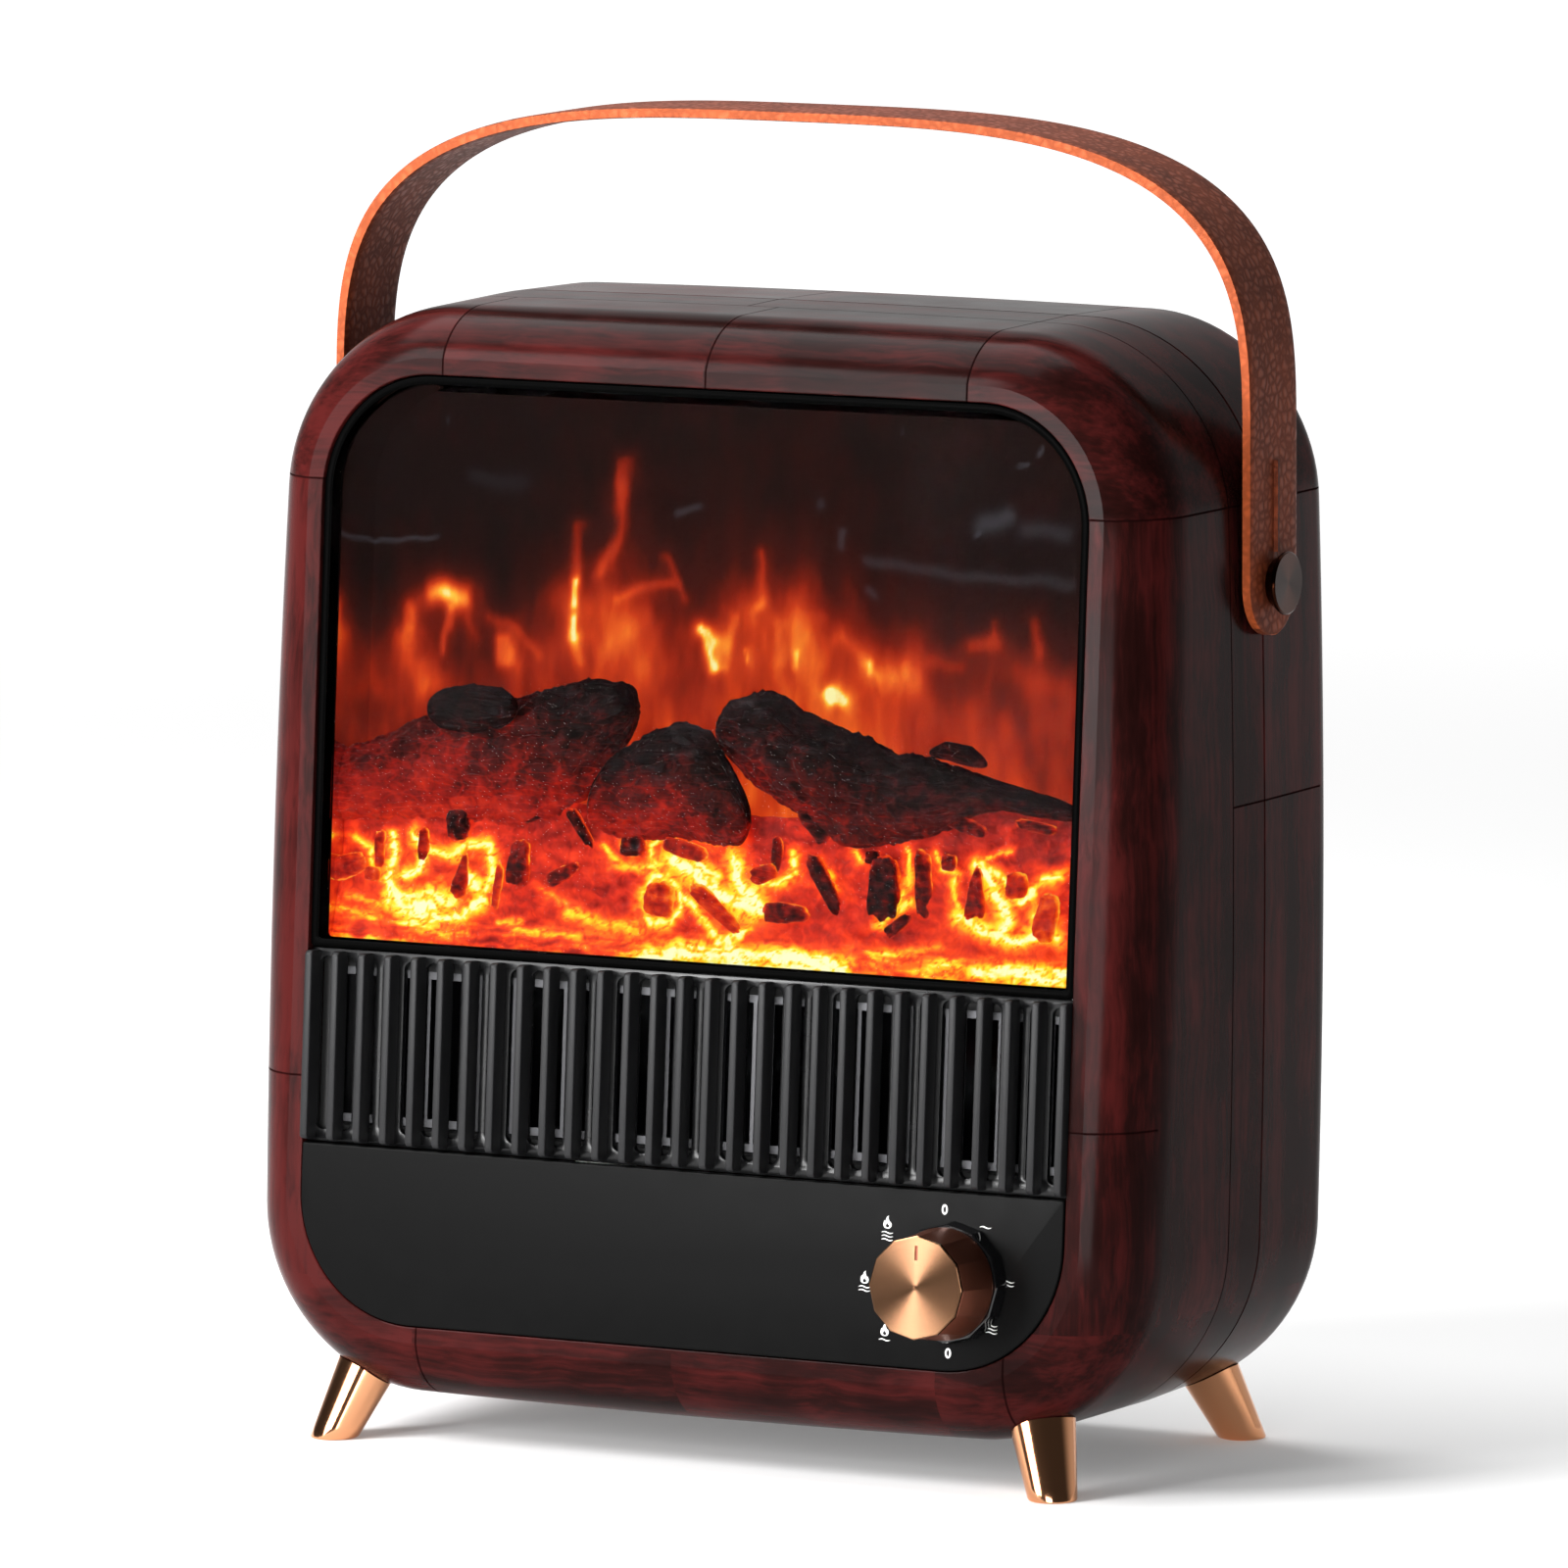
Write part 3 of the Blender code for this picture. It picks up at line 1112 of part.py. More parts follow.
def circle_point(radius, height, angle):
    turn = math.radians(angle)
    return (radius * math.cos(turn), -height, radius * math.sin(turn))


def polygon_loop(radius, height, phase):
    return [circle_point(radius, height, phase + 360.0 * i / DIAL_SIDES) for i in range(DIAL_SIDES)]


# Flicker drive

def channel_front():
    return FIREBOX_DEPTH + 2 * GAP + SCREEN_THICK


def spindle_place():
    return (0.0, channel_front() + CHANNEL_DEPTH / 2, fire_floor() + CHANNEL_HEIGHT / 2)


def build_flicker_drive(front, white, board, dark, metal):
    near = channel_front()
    far = near + CHANNEL_DEPTH
    low = fire_floor()
    high = low + CHANNEL_HEIGHT
    wall = CHANNEL_WALL
    half = CHANNEL_HALF_LENGTH
    bm = bmesh.new()
    add_box(bm, (-half - wall, near, low), (half + wall, far, high))
    channel = finish_mesh("reflector_channel", bm, white, front)
    _, axis_y, axis_z = spindle_place()
    hollow = bmesh.new()
    add_box(hollow, (-half, near - wall, low + wall), (half, far - wall, high - wall))
    hole = bmesh.new()
    radius = SPINDLE_R + SHAFT_PLAY
    add_turned(hole, [(radius, -half - 2 * wall), (radius, half + 2 * wall)], (0, axis_y, axis_z), (1, 0, 0),
               SMALL_ROUND)
    cut(channel, tool("channel_hollow", hollow, front))
    cut(channel, tool("channel_bearings", hole, front))
    bm = bmesh.new()
    face = half + wall + GAP
    add_turned(bm, [(FLICKER_MOTOR_R, 0.0), (FLICKER_MOTOR_R, FLICKER_MOTOR_LENGTH)], (face, axis_y, axis_z), (1, 0, 0),
               16)
    motor = finish_mesh("spindle_motor", bm, dark, front)
    bore = bmesh.new()
    radius = SPINDLE_R + SHAFT_PLAY
    add_turned(bore, [(radius, -0.0010), (radius, 0.0050)], (face, axis_y, axis_z), (1, 0, 0), SMALL_ROUND)
    cut(motor, tool("spindle_motor_bore", bore, front))
    # Light boards: one on the channel's floor, one behind the ember bed
    bm = bmesh.new()
    floor = low + wall + GAP
    add_box(bm, (LIGHT_BOARD_INSET - half, near + LIGHT_BOARD_NEAR, floor),
            (half - LIGHT_BOARD_INSET, near + LIGHT_BOARD_NEAR + LIGHT_BOARD_WIDTH, floor + BOARD_THICK))
    finish_mesh("flame_light_board", bm, board, front)
    bm = bmesh.new()
    back = FIREBOX_DEPTH - GAP
    foot = fire_floor() + GAP
    add_box(bm, (-half, back - BOARD_THICK, foot), (half, back, foot + BED_RISE * 0.7))
    finish_mesh("ember_light_board", bm, board, front)


def build_spindle(axis_frame, finish):
    """Thin rod with pairs of bright flaps that throw moving light on the screen."""
    half = CHANNEL_HALF_LENGTH
    bm = bmesh.new()
    add_turned(bm, [(SPINDLE_R, -half - CHANNEL_WALL), (SPINDLE_R, half + CHANNEL_WALL + 0.0050)], (0, 0, 0),
               (1, 0, 0), SMALL_ROUND)
    spindle = finish_mesh("flame_spindle", bm, finish, axis_frame)
    flaps = bmesh.new()
    run = 2 * (half - 0.0080)
    pitch = run / SPINDLE_FLAPS
    for i in range(SPINDLE_FLAPS):
        x0 = -run / 2 + i * pitch + 0.0015
        x1 = x0 + pitch - 0.0030
        turn = math.radians(65.0 * i)
        along = Vector((0.0, math.cos(turn), math.sin(turn)))
        across = Vector((0.0, -math.sin(turn), math.cos(turn)))
        corners = []
        for reach, thick in ((-1, -1), (1, -1), (1, 1), (-1, 1)):
            corners.append(along * SPINDLE_FLAP_R * reach + across * SPINDLE_FLAP_THICK / 2 * thick)
        add_loft(flaps, [[(x0, c.y, c.z) for c in corners], [(x1, c.y, c.z) for c in corners]])
    join(spindle, tool("spindle_flaps", flaps, axis_frame))


# Strap

def strap_path(offset, steps):
    """Points of the strap's outer face moved in by an offset, from the left end to the right end."""
    span = STRAP_HALF_SPAN - offset
    rise = STRAP_RISE - offset
    left = []
    for i in range(steps + 1):
        angle = math.pi / 2 * i / steps
        x = -span * math.cos(angle) ** (2.0 / STRAP_POWER)
        h = STRAP_LEG + rise * math.sin(angle) ** (2.0 / STRAP_POWER)
        left.append((x, h))
    right = [(-x, h) for x, h in left[-2::-1]]
    return left + right


def build_strap(pivot, finish):
    """A flat leather strap with round ends, bowed over the housing."""
    outer = strap_path(0.0, STRAP_STEPS)
    inner = strap_path(STRAP_THICK, STRAP_STEPS)
    half = STRAP_WIDTH / 2
    bm = bmesh.new()
    loops = []
    ends = []
    for i in range(7):
        angle = math.pi / 2 * i / 6
        drop = -STRAP_END + half * (1.0 - math.cos(angle))
        width = max(half * math.sin(angle), half * 0.12)
        ends.append((drop, width))
    for drop, width in ends:
        loops.append(((-STRAP_HALF_SPAN, drop), (-STRAP_HALF_SPAN + STRAP_THICK, drop), width))
    for (ox, oh), (ix, ih) in zip(outer, inner):
        loops.append(((ox, oh), (ix, ih), half))
    for drop, width in ends[::-1]:
        loops.append(((STRAP_HALF_SPAN, drop), (STRAP_HALF_SPAN - STRAP_THICK, drop), width))
    rings = []
    for (ox, oh), (ix, ih), width in loops:
        rings.append([(ox, -width, oh), (ox, width, oh), (ix, width, ih), (ix, -width, ih)])
    add_loft(bm, rings)
    strap = finish_mesh("carry_strap", bm, finish, pivot)
    hole = bmesh.new()
    radius = PIN_R + SHAFT_PLAY
    reach = STRAP_HALF_SPAN + STRAP_THICK
    for side in (-1, 1):
        add_turned(hole, [(radius, -3 * STRAP_THICK), (radius, 3 * STRAP_THICK)], (side * reach, 0, 0), (1, 0, 0), 16)
    cut(strap, tool("strap_holes", hole, pivot))


def build_strap_screws(front_shell, rear_shell, copper, brass):
    y = FRONT_PLANE_Y + SEAM_Y
    outer = STRAP_HALF_SPAN + GAP
    holes = bmesh.new()
    for side in (-1, 1):
        radius = PIN_R + SHAFT_PLAY
        add_turned(holes, [(radius, -SHELL_WALL - INSERT_LENGTH), (radius, SIDE_CROWN + SHELL_WALL)],
                   (side * BODY_HALF_WIDTH, y, PIVOT_Z), (side, 0, 0), 16)
    bore = tool("strap_screw_holes", holes)
    cut(front_shell, bore)
    cut(rear_shell, bore)
    wall_in = BODY_HALF_WIDTH - SHELL_WALL
    for side, label in ((-1, "left"), (1, "right")):
        bm = bmesh.new()
        tip = wall_in - INSERT_LENGTH - outer
        profile = [(PIN_R, tip), (PIN_R, 0.0), (CAP_BASE_R, 0.0), (CAP_R, CAP_HEIGHT - 2 * CAP_BEVEL),
                   (CAP_R, CAP_HEIGHT - CAP_BEVEL), (CAP_R - CAP_BEVEL, CAP_HEIGHT)]
        add_turned(bm, profile, (side * outer, y, PIVOT_Z), (side, 0, 0), ROUND)
        finish_mesh("strap_screw_" + label, bm, copper)
        bm = bmesh.new()
        add_tube(bm, INSERT_R, PIN_R + SHAFT_PLAY, 0.0, INSERT_LENGTH, (side * (wall_in + insert_seat() - GAP), y, PIVOT_Z),
                 (-side, 0, 0), 16)
        finish_mesh("strap_insert_" + label, bm, brass)


def insert_seat():
    """How far the inner wall stands outside its corner line at the pivot's height."""
    up = (PIVOT_Z + INSERT_R - BODY_MID_Z) / BODY_HALF_HEIGHT
    return SIDE_CROWN * (1.0 - up ** 2)


# Feet

def foot_places():
    places = []
    for side, label in ((-1, "left"), (1, "right")):
        places.append(("front_" + label, side, FOOT_TOP_FRONT_Y, -1))
        places.append(("rear_" + label, side, FOOT_TOP_REAR_Y, 1))
    return places


def build_feet(front_shell, rear_shell, copper, steel):
    seat = housing_block("foot_seat", GAP)
    nut_top = FOOT_PAD_TOP + GAP + FOOT_NUT_THICK
    pads = {-1: bmesh.new(), 1: bmesh.new()}
    holes = {-1: bmesh.new(), 1: bmesh.new()}
    for label, side, y, fore in foot_places():
        top_x = side * FOOT_TOP_X
        top_y = FRONT_PLANE_Y + y
        slope_x = side * FOOT_SPLAY_X / FOOT_TOP_Z
        slope_y = fore * FOOT_SPLAY_Y / FOOT_TOP_Z
        grow = (FOOT_TOP_R - FOOT_BOTTOM_R) / FOOT_TOP_Z
        bm = bmesh.new()
        loops = []
        heights = ((0.0, -FOOT_EDGE), (FOOT_EDGE, 0.0), (FOOT_TOP_Z, 0.0), (FOOT_TOP_Z * 1.5, 0.0))
        for z, inset in heights:
            centre_x = top_x + slope_x * (FOOT_TOP_Z - z)
            centre_y = top_y + slope_y * (FOOT_TOP_Z - z)
            radius = FOOT_BOTTOM_R + grow * z + inset
            loops.append([(centre_x + radius * math.cos(math.tau * i / ROUND),
                           centre_y + radius * math.sin(math.tau * i / ROUND), z) for i in range(ROUND)])
        add_loft(bm, loops)
        foot = finish_mesh("foot_" + label, bm, copper)
        cut(foot, seat)
        stud_x = top_x
        stud_y = top_y
        stud = bmesh.new()
        add_turned(stud, [(FOOT_STUD_R, FOOT_STUD_ROOT), (FOOT_STUD_R, nut_top)], (stud_x, stud_y, 0.0), (0, 0, 1), SMALL_ROUND)
        join(foot, tool("foot_stud_" + label, stud))
        add_turned(pads[fore], [(FOOT_PAD_R, FOOT_STUD_ROOT), (FOOT_PAD_R, FOOT_PAD_TOP)],
                   (stud_x, stud_y, 0.0), (0, 0, 1), 16)
        radius = FOOT_STUD_R + SHAFT_PLAY
        add_turned(holes[fore], [(radius, FOOT_TOP_Z / 2), (radius, nut_top)], (stud_x, stud_y, 0.0), (0, 0, 1),
                   SMALL_ROUND)
        bm = bmesh.new()
        add_tube(bm, FOOT_NUT_R, FOOT_STUD_R + SHAFT_PLAY, FOOT_PAD_TOP + GAP, FOOT_PAD_TOP + GAP + FOOT_NUT_THICK,
                 (stud_x, stud_y, 0.0), (0, 0, 1), SMALL_ROUND, 6)
        finish_mesh("foot_nut_" + label, bm, steel)
    limit = housing_block("foot_pad_limit", -SHELL_WALL / 2)
    for fore, shell, label in ((-1, front_shell, "front"), (1, rear_shell, "rear")):
        pad = tool("foot_pads_" + label, pads[fore])
        combine(pad, limit, "INTERSECT")
        join(shell, pad)
        cut(shell, tool("foot_holes_" + label, holes[fore]))


# Base electronics

def inner_floor(x, y):
    """Height of the housing's inner floor at a distance from its middle and from the foot of the front plane."""
    if y < SEAM_Y:
        draft = FRONT_DRAFT * (SEAM_Y - y) / (SEAM_Y - FRONT_FILLET_DEPTH)
    else:
        draft = REAR_DRAFT * (y - SEAM_Y) / (REAR_Y - REAR_FILLET_R - SEAM_Y)
    return BODY_BOTTOM_Z + SHELL_WALL + draft - TOP_CROWN * (1.0 - (x / BODY_HALF_WIDTH) ** 2)


def build_base(tray_finish, board_finish, dark, relay_finish, can_finish):
    front = FRONT_PLANE_Y
    top = TRAY_BOTTOM_Z + TRAY_THICK
    bm = bmesh.new()
    add_box(bm, (-TRAY_HALF_WIDTH, front + TRAY_FRONT_Y, TRAY_BOTTOM_Z), (TRAY_HALF_WIDTH, front + TRAY_REAR_Y, top))
    tray = finish_mesh("base_tray", bm, tray_finish)
    extras = bmesh.new()
    outward = TRAY_RAIL_X + TRAY_RAIL_WIDTH / 2
    under = []
    for y in (TRAY_FRONT_Y + TRAY_RAIL_INSET, SEAM_Y, TRAY_REAR_Y - TRAY_RAIL_INSET):
        under.append((front + y, inner_floor(outward, y) + 1.5 * GAP))
    join_z = top - TRAY_THICK / 2
    side_view = under + [(under[-1][0], join_z), (under[0][0], join_z)]
    for side in (-1, 1):
        x0 = side * TRAY_RAIL_X - TRAY_RAIL_WIDTH / 2
        add_loft(extras, [[(x0, y, z) for y, z in side_view], [(x0 + TRAY_RAIL_WIDTH, y, z) for y, z in side_view]])
    for x in (BOARD_X[0] + 2 * STANDOFF_R, BOARD_X[1] - 2 * STANDOFF_R):
        for y in (BOARD_Y[0] + 2 * STANDOFF_R, BOARD_Y[1] - 2 * STANDOFF_R):
            add_turned(extras, [(STANDOFF_R, -TRAY_THICK / 2), (STANDOFF_R, STANDOFF_H)], (x, front + y, top), (0, 0, 1),
                       SMALL_ROUND)
    join(tray, tool("tray_extras", extras))
    board_z = top + STANDOFF_H + GAP
    bm = bmesh.new()
    add_box(bm, (BOARD_X[0], front + BOARD_Y[0], board_z), (BOARD_X[1], front + BOARD_Y[1], board_z + BOARD_THICK))
    finish_mesh("control_board", bm, board_finish)
    part_z = board_z + BOARD_THICK + GAP
    bm = bmesh.new()
    add_box(bm, (-0.0500, front + 0.0560, part_z), (-0.0310, front + 0.0710, part_z + 0.0150))
    finish_mesh("board_relay", bm, relay_finish)
    bm = bmesh.new()
    add_turned(bm, [(0.0060, 0.0), (0.0060, 0.0160), (0.0054, 0.0166)], (-0.0150, front + 0.0800, part_z), (0, 0, 1), 16)
    finish_mesh("board_capacitor", bm, can_finish)
    bm = bmesh.new()
    add_box(bm, (0.0300, front + 0.0700, top + GAP), (0.0500, front + 0.0840, top + GAP + 0.0240))
    finish_mesh("tip_over_switch", bm, dark)


def build():
    clear_scene()
    mahogany = material("mahogany_print", (0.060, 0.012, 0.012), 0.22)
    black_gloss = material("black_gloss", (0.006, 0.006, 0.006), 0.12)
    black_satin = material("black_satin", (0.012, 0.012, 0.012), 0.45)
    glass = material("tinted_glass", (0.030, 0.022, 0.020), 0.05)
    ember = material("ember", (0.900, 0.180, 0.020), 0.60)
    char = material("charred_wood", (0.020, 0.014, 0.012), 0.85)
    flame = material("flame_film", (0.700, 0.120, 0.020), 0.50)
    copper = material("copper_plate", (0.560, 0.250, 0.150), 0.25, 1.0)
    leather = material("leather", (0.160, 0.042, 0.022), 0.55)
    steel = material("steel", (0.550, 0.550, 0.560), 0.35, 1.0)
    brass = material("brass", (0.600, 0.420, 0.150), 0.35, 1.0)
    aluminium = material("aluminium", (0.620, 0.620, 0.630), 0.40, 1.0)
    white = material("white_plastic", (0.750, 0.740, 0.700), 0.50)
    dark = material("dark_plastic", (0.030, 0.030, 0.032), 0.50)
    board = material("board", (0.015, 0.090, 0.035), 0.50)
    relay = material("relay_blue", (0.020, 0.080, 0.250), 0.45)

    front_shell = build_front_shell(mahogany)
    rear_shell = build_rear_shell(mahogany)
    add_shell_bosses(front_shell, rear_shell)
    build_shell_screws(steel)
    build_feet(front_shell, rear_shell, copper, steel)
    build_strap_screws(front_shell, rear_shell, copper, brass)
    build_rear_cover(rear_shell, black_satin, steel)
    build_cord_gland(rear_shell, dark)

    front = frame_empty("front_frame", (0.0, FRONT_PLANE_Y, 0.0), (-TILT, 0.0, 0.0))
    build_window(front, black_gloss, glass)
    build_firebox(front, black_gloss, flame)
    build_ember_bed(front, ember)
    build_logs(front, char)
    build_outlet_grille(front, black_satin)
    build_heater(front, dark, aluminium)
    build_thermal_cutout(front, steel)
    build_blower(front, dark, brass, steel)
    build_control_panel(front, black_satin)
    build_rotary_switch(front, dark, steel)
    build_flicker_drive(front, white, board, dark, steel)

    rotor_axis = frame_empty("rotor_axis", (0.0, ROTOR_DEPTH, heater_mid()), parent=front)
    build_rotor(rotor_axis, dark)
    spindle_axis = frame_empty("spindle_axis", spindle_place(), parent=front)
    build_spindle(spindle_axis, aluminium)
    dial_axis = frame_empty("dial_axis", (DIAL_U, 0.0, DIAL_V), parent=front)
    build_dial(dial_axis, (copper, black_gloss, steel))

    pivot = frame_empty("strap_pivot", (0.0, FRONT_PLANE_Y + SEAM_Y, PIVOT_Z))
    build_strap(pivot, leather)
    build_base(white, board, dark, relay, aluminium)


build()
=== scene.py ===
"""Personal heater with a flame window: the dressed model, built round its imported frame."""

import math

import bmesh
import bpy
import numpy as np
from bpy.props import FloatProperty, FloatVectorProperty, IntProperty, PointerProperty
from bpy.types import Operator, Panel, PropertyGroup
from mathutils import Matrix, Vector, noise
from mathutils.bvhtree import BVHTree


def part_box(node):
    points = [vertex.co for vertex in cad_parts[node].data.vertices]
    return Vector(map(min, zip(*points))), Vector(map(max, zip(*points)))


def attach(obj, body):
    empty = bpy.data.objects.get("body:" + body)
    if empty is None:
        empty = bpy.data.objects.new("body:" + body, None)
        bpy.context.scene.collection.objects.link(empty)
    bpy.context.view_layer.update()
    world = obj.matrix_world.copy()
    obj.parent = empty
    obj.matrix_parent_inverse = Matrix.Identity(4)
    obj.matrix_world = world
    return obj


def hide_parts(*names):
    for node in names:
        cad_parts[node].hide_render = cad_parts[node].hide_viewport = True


bl_info = {
    "name": "Personal heater",
    "version": (1, 0, 0),
    "blender": (4, 5, 0),
    "location": "View3D > Sidebar > Heater",
    "description": "Dresses a small flame-window heater: housing, fire, grille, dial, strap and feet",
    "category": "Object",
}

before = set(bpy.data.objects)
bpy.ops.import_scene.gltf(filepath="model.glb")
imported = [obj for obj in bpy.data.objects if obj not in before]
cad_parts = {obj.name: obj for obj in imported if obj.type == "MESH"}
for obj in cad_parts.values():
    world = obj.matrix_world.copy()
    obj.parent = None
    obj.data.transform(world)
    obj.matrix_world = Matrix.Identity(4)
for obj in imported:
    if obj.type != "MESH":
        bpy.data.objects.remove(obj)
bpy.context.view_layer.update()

MM = 0.001
TILT = math.radians(4.34)          # lean of the front
GAP = 0.0003                       # between pieces that touch
SEAM = 0.0792                      # seam behind the foot of the leaning front
FRONT_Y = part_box("front_shell")[1].y - SEAM + GAP / 2
LEAN = Matrix.Translation((0.0, FRONT_Y, 0.0)) @ Matrix.Rotation(-TILT, 4, "X")
CORNER_STEPS = 22
SIDE_RUNS = 14
ROUND = 60.0                       # what the spun map's first value gains in one turn


# Colours and nodes

def linear(text, alpha=1.0):
    """Turns an sRGB hex colour into the linear values that the shaders take."""
    parts = [int(text[i:i + 2], 16) / 255.0 for i in (1, 3, 5)]
    parts = [c / 12.92 if c <= 0.04045 else ((c + 0.055) / 1.055) ** 2.4 for c in parts]
    return (*parts, alpha)


def add(tree, kind, inputs=None, stops=None, **settings):
    """Adds one node, gives it its settings and colour stops, and sets or links its inputs."""
    node = tree.nodes.new("ShaderNode" + kind)
    for name, value in settings.items():
        setattr(node, name, value)
    if stops:
        ramp = node.color_ramp
        while len(ramp.elements) < len(stops):
            ramp.elements.new(0.5)
        for element, (place, colour) in zip(ramp.elements, stops):
            element.position = place
            element.color = linear(colour) if isinstance(colour, str) else colour
    for key, value in (inputs or {}).items():
        if isinstance(value, bpy.types.Node):
            value = value.outputs[0]
        if isinstance(value, bpy.types.NodeSocket):
            tree.links.new(value, node.inputs[key])
        else:
            node.inputs[key].default_value = value
    return node


def bare_tree(owner):
    """The emptied node tree of a material or world."""
    owner.use_nodes = True
    owner.node_tree.nodes.clear()
    return owner.node_tree


def new_material(name, **sockets):
    """A material with one principled shader whose plain values are set on its own sockets."""
    material = bpy.data.materials.new(name)
    tree = bare_tree(material)
    shader = add(tree, "BsdfPrincipled")
    for key, value in sockets.items():
        shader.inputs[key.replace("_", " ")].default_value = value
    add(tree, "OutputMaterial", {"Surface": shader})
    return material, tree, shader


def feed(tree, shader, **sources):
    """Links nodes or sockets to a shader's inputs; _ stands for a space."""
    for key, source in sources.items():
        if isinstance(source, bpy.types.Node):
            source = source.outputs[0]
        tree.links.new(source, shader.inputs[key.replace("_", " ")])


def millimetres(tree):
    """Object coordinates in millimetres."""
    place = add(tree, "TexCoord")
    return add(tree, "VectorMath", {0: place.outputs["Object"], "Scale": 1000.0}, operation="SCALE")


def grained(tree, shader, point, size, depth, colour, spread, rough, bump=0.3):
    """Gives a moulded, cast or drawn surface its fine grain: colour drift, gloss drift and a low bump."""
    fine = add(tree, "TexNoise", {"Vector": point, "Scale": 1.0 / size, "Detail": 3.0, "Roughness": 0.55})
    broad = add(tree, "TexNoise", {"Vector": point, "Scale": 1.0 / (size * 24.0), "Detail": 2.0})
    dark = tuple(c * (1.0 - spread) for c in colour[:3]) + (1.0,)
    light = tuple(min(c * (1.0 + spread), 1.0) for c in colour[:3]) + (1.0,)
    tint = add(tree, "ValToRGB", {"Fac": broad}, stops=((0.3, dark), (0.7, light)))
    gloss = add(tree, "MapRange", {"Value": broad, 1: 0.3, 2: 0.7, 3: rough[0], 4: rough[1]})
    relief = add(tree, "Bump", {"Height": fine, "Strength": bump, "Distance": depth * MM})
    feed(tree, shader, Base_Color=tint, Roughness=gloss, Normal=relief)


# Settings that a user may change

def length_setting(name, description, size):
    """A length, given in millimetres."""
    return FloatProperty(name=name, description=description, default=size * MM, min=0.0, unit="LENGTH")


def colour_setting(name, description, text):
    """A colour, given as sRGB hex."""
    return FloatVectorProperty(name=name, description=description, default=linear(text), size=4, min=0.0, max=1.0,
                               subtype="COLOR")


class HeaterSizes(PropertyGroup):
    fin_width: length_setting("Fin width", "Width of an outlet fin", 2.15)
    fin_pitch: length_setting("Fin pitch", "Distance from fin to fin", 7.92)
    fin_count: IntProperty(name="Fins", description="Number of outlet fins", default=29, min=1)
    strap_width: length_setting("Strap width", "Width of the carry strap", 26.8)
    strap_thickness: length_setting("Strap thickness", "Thickness of the carry strap", 2.9)
    pebble: length_setting("Leather pebble", "Width of one pebble of the leather's grain", 2.7)
    grain_width: length_setting("Wood grain width", "Width of one streak of the printed grain", 1.3)
    ring_pitch: length_setting("Turning mark pitch", "Pitch of the fine rings on spun copper", 0.22)


class HeaterColours(PropertyGroup):
    wood_dark: colour_setting("Wood, dark", "Darkest streak of the mahogany print", "#0F0504")
    wood_mid: colour_setting("Wood, middle", "Main tone of the mahogany print", "#200B0A")
    wood_light: colour_setting("Wood, light", "Lightest streak of the mahogany print", "#401413")
    leather: colour_setting("Leather", "Outer face of the strap", "#7C3A22")
    leather_edge: colour_setting("Leather edge", "Cut edge of the strap", "#B4552C")
    copper: colour_setting("Copper", "Plated dial, feet and strap screws", "#DB9C72")
    # Painted shade: the dial face is darker than the feet's copper, for the dark surroundings that it mirrors.
    copper_face: colour_setting("Dial face", "Spun face of the dial", "#7C5A42")
    # Painted shade: the screw heads are copper darkened to near black-brown, for the dark surroundings that they
    # mirror.
    shaded_copper: colour_setting("Shaded copper", "Heads of the strap screws", "#3A1C10")
    black: colour_setting("Black", "Moulded black parts", "#0E0E0F")


# Materials
# Specular levels lie well below the usual 0.5: they are matched to the photograph, under lamps that stand close.

def joint_line(tree, coordinate, place, gates):
    """Dark line of one plank joint: where a coordinate passes a place, inside its gates."""
    away = add(tree, "Math", {0: coordinate, 1: place}, operation="SUBTRACT")
    away = add(tree, "Math", {0: away}, operation="ABSOLUTE")
    line = add(tree, "MapRange", {"Value": away, 1: 0.12, 2: 0.45, 3: 1.0, 4: 0.0}, interpolation_type="SMOOTHSTEP")
    for gate, low, high in gates:
        above = add(tree, "Math", {0: gate, 1: low}, operation="GREATER_THAN")
        below = add(tree, "Math", {0: gate, 1: high}, operation="LESS_THAN")
        inside = add(tree, "Math", {0: above, 1: below}, operation="MULTIPLY")
        line = add(tree, "Math", {0: line, 1: inside}, operation="MULTIPLY")
    return line


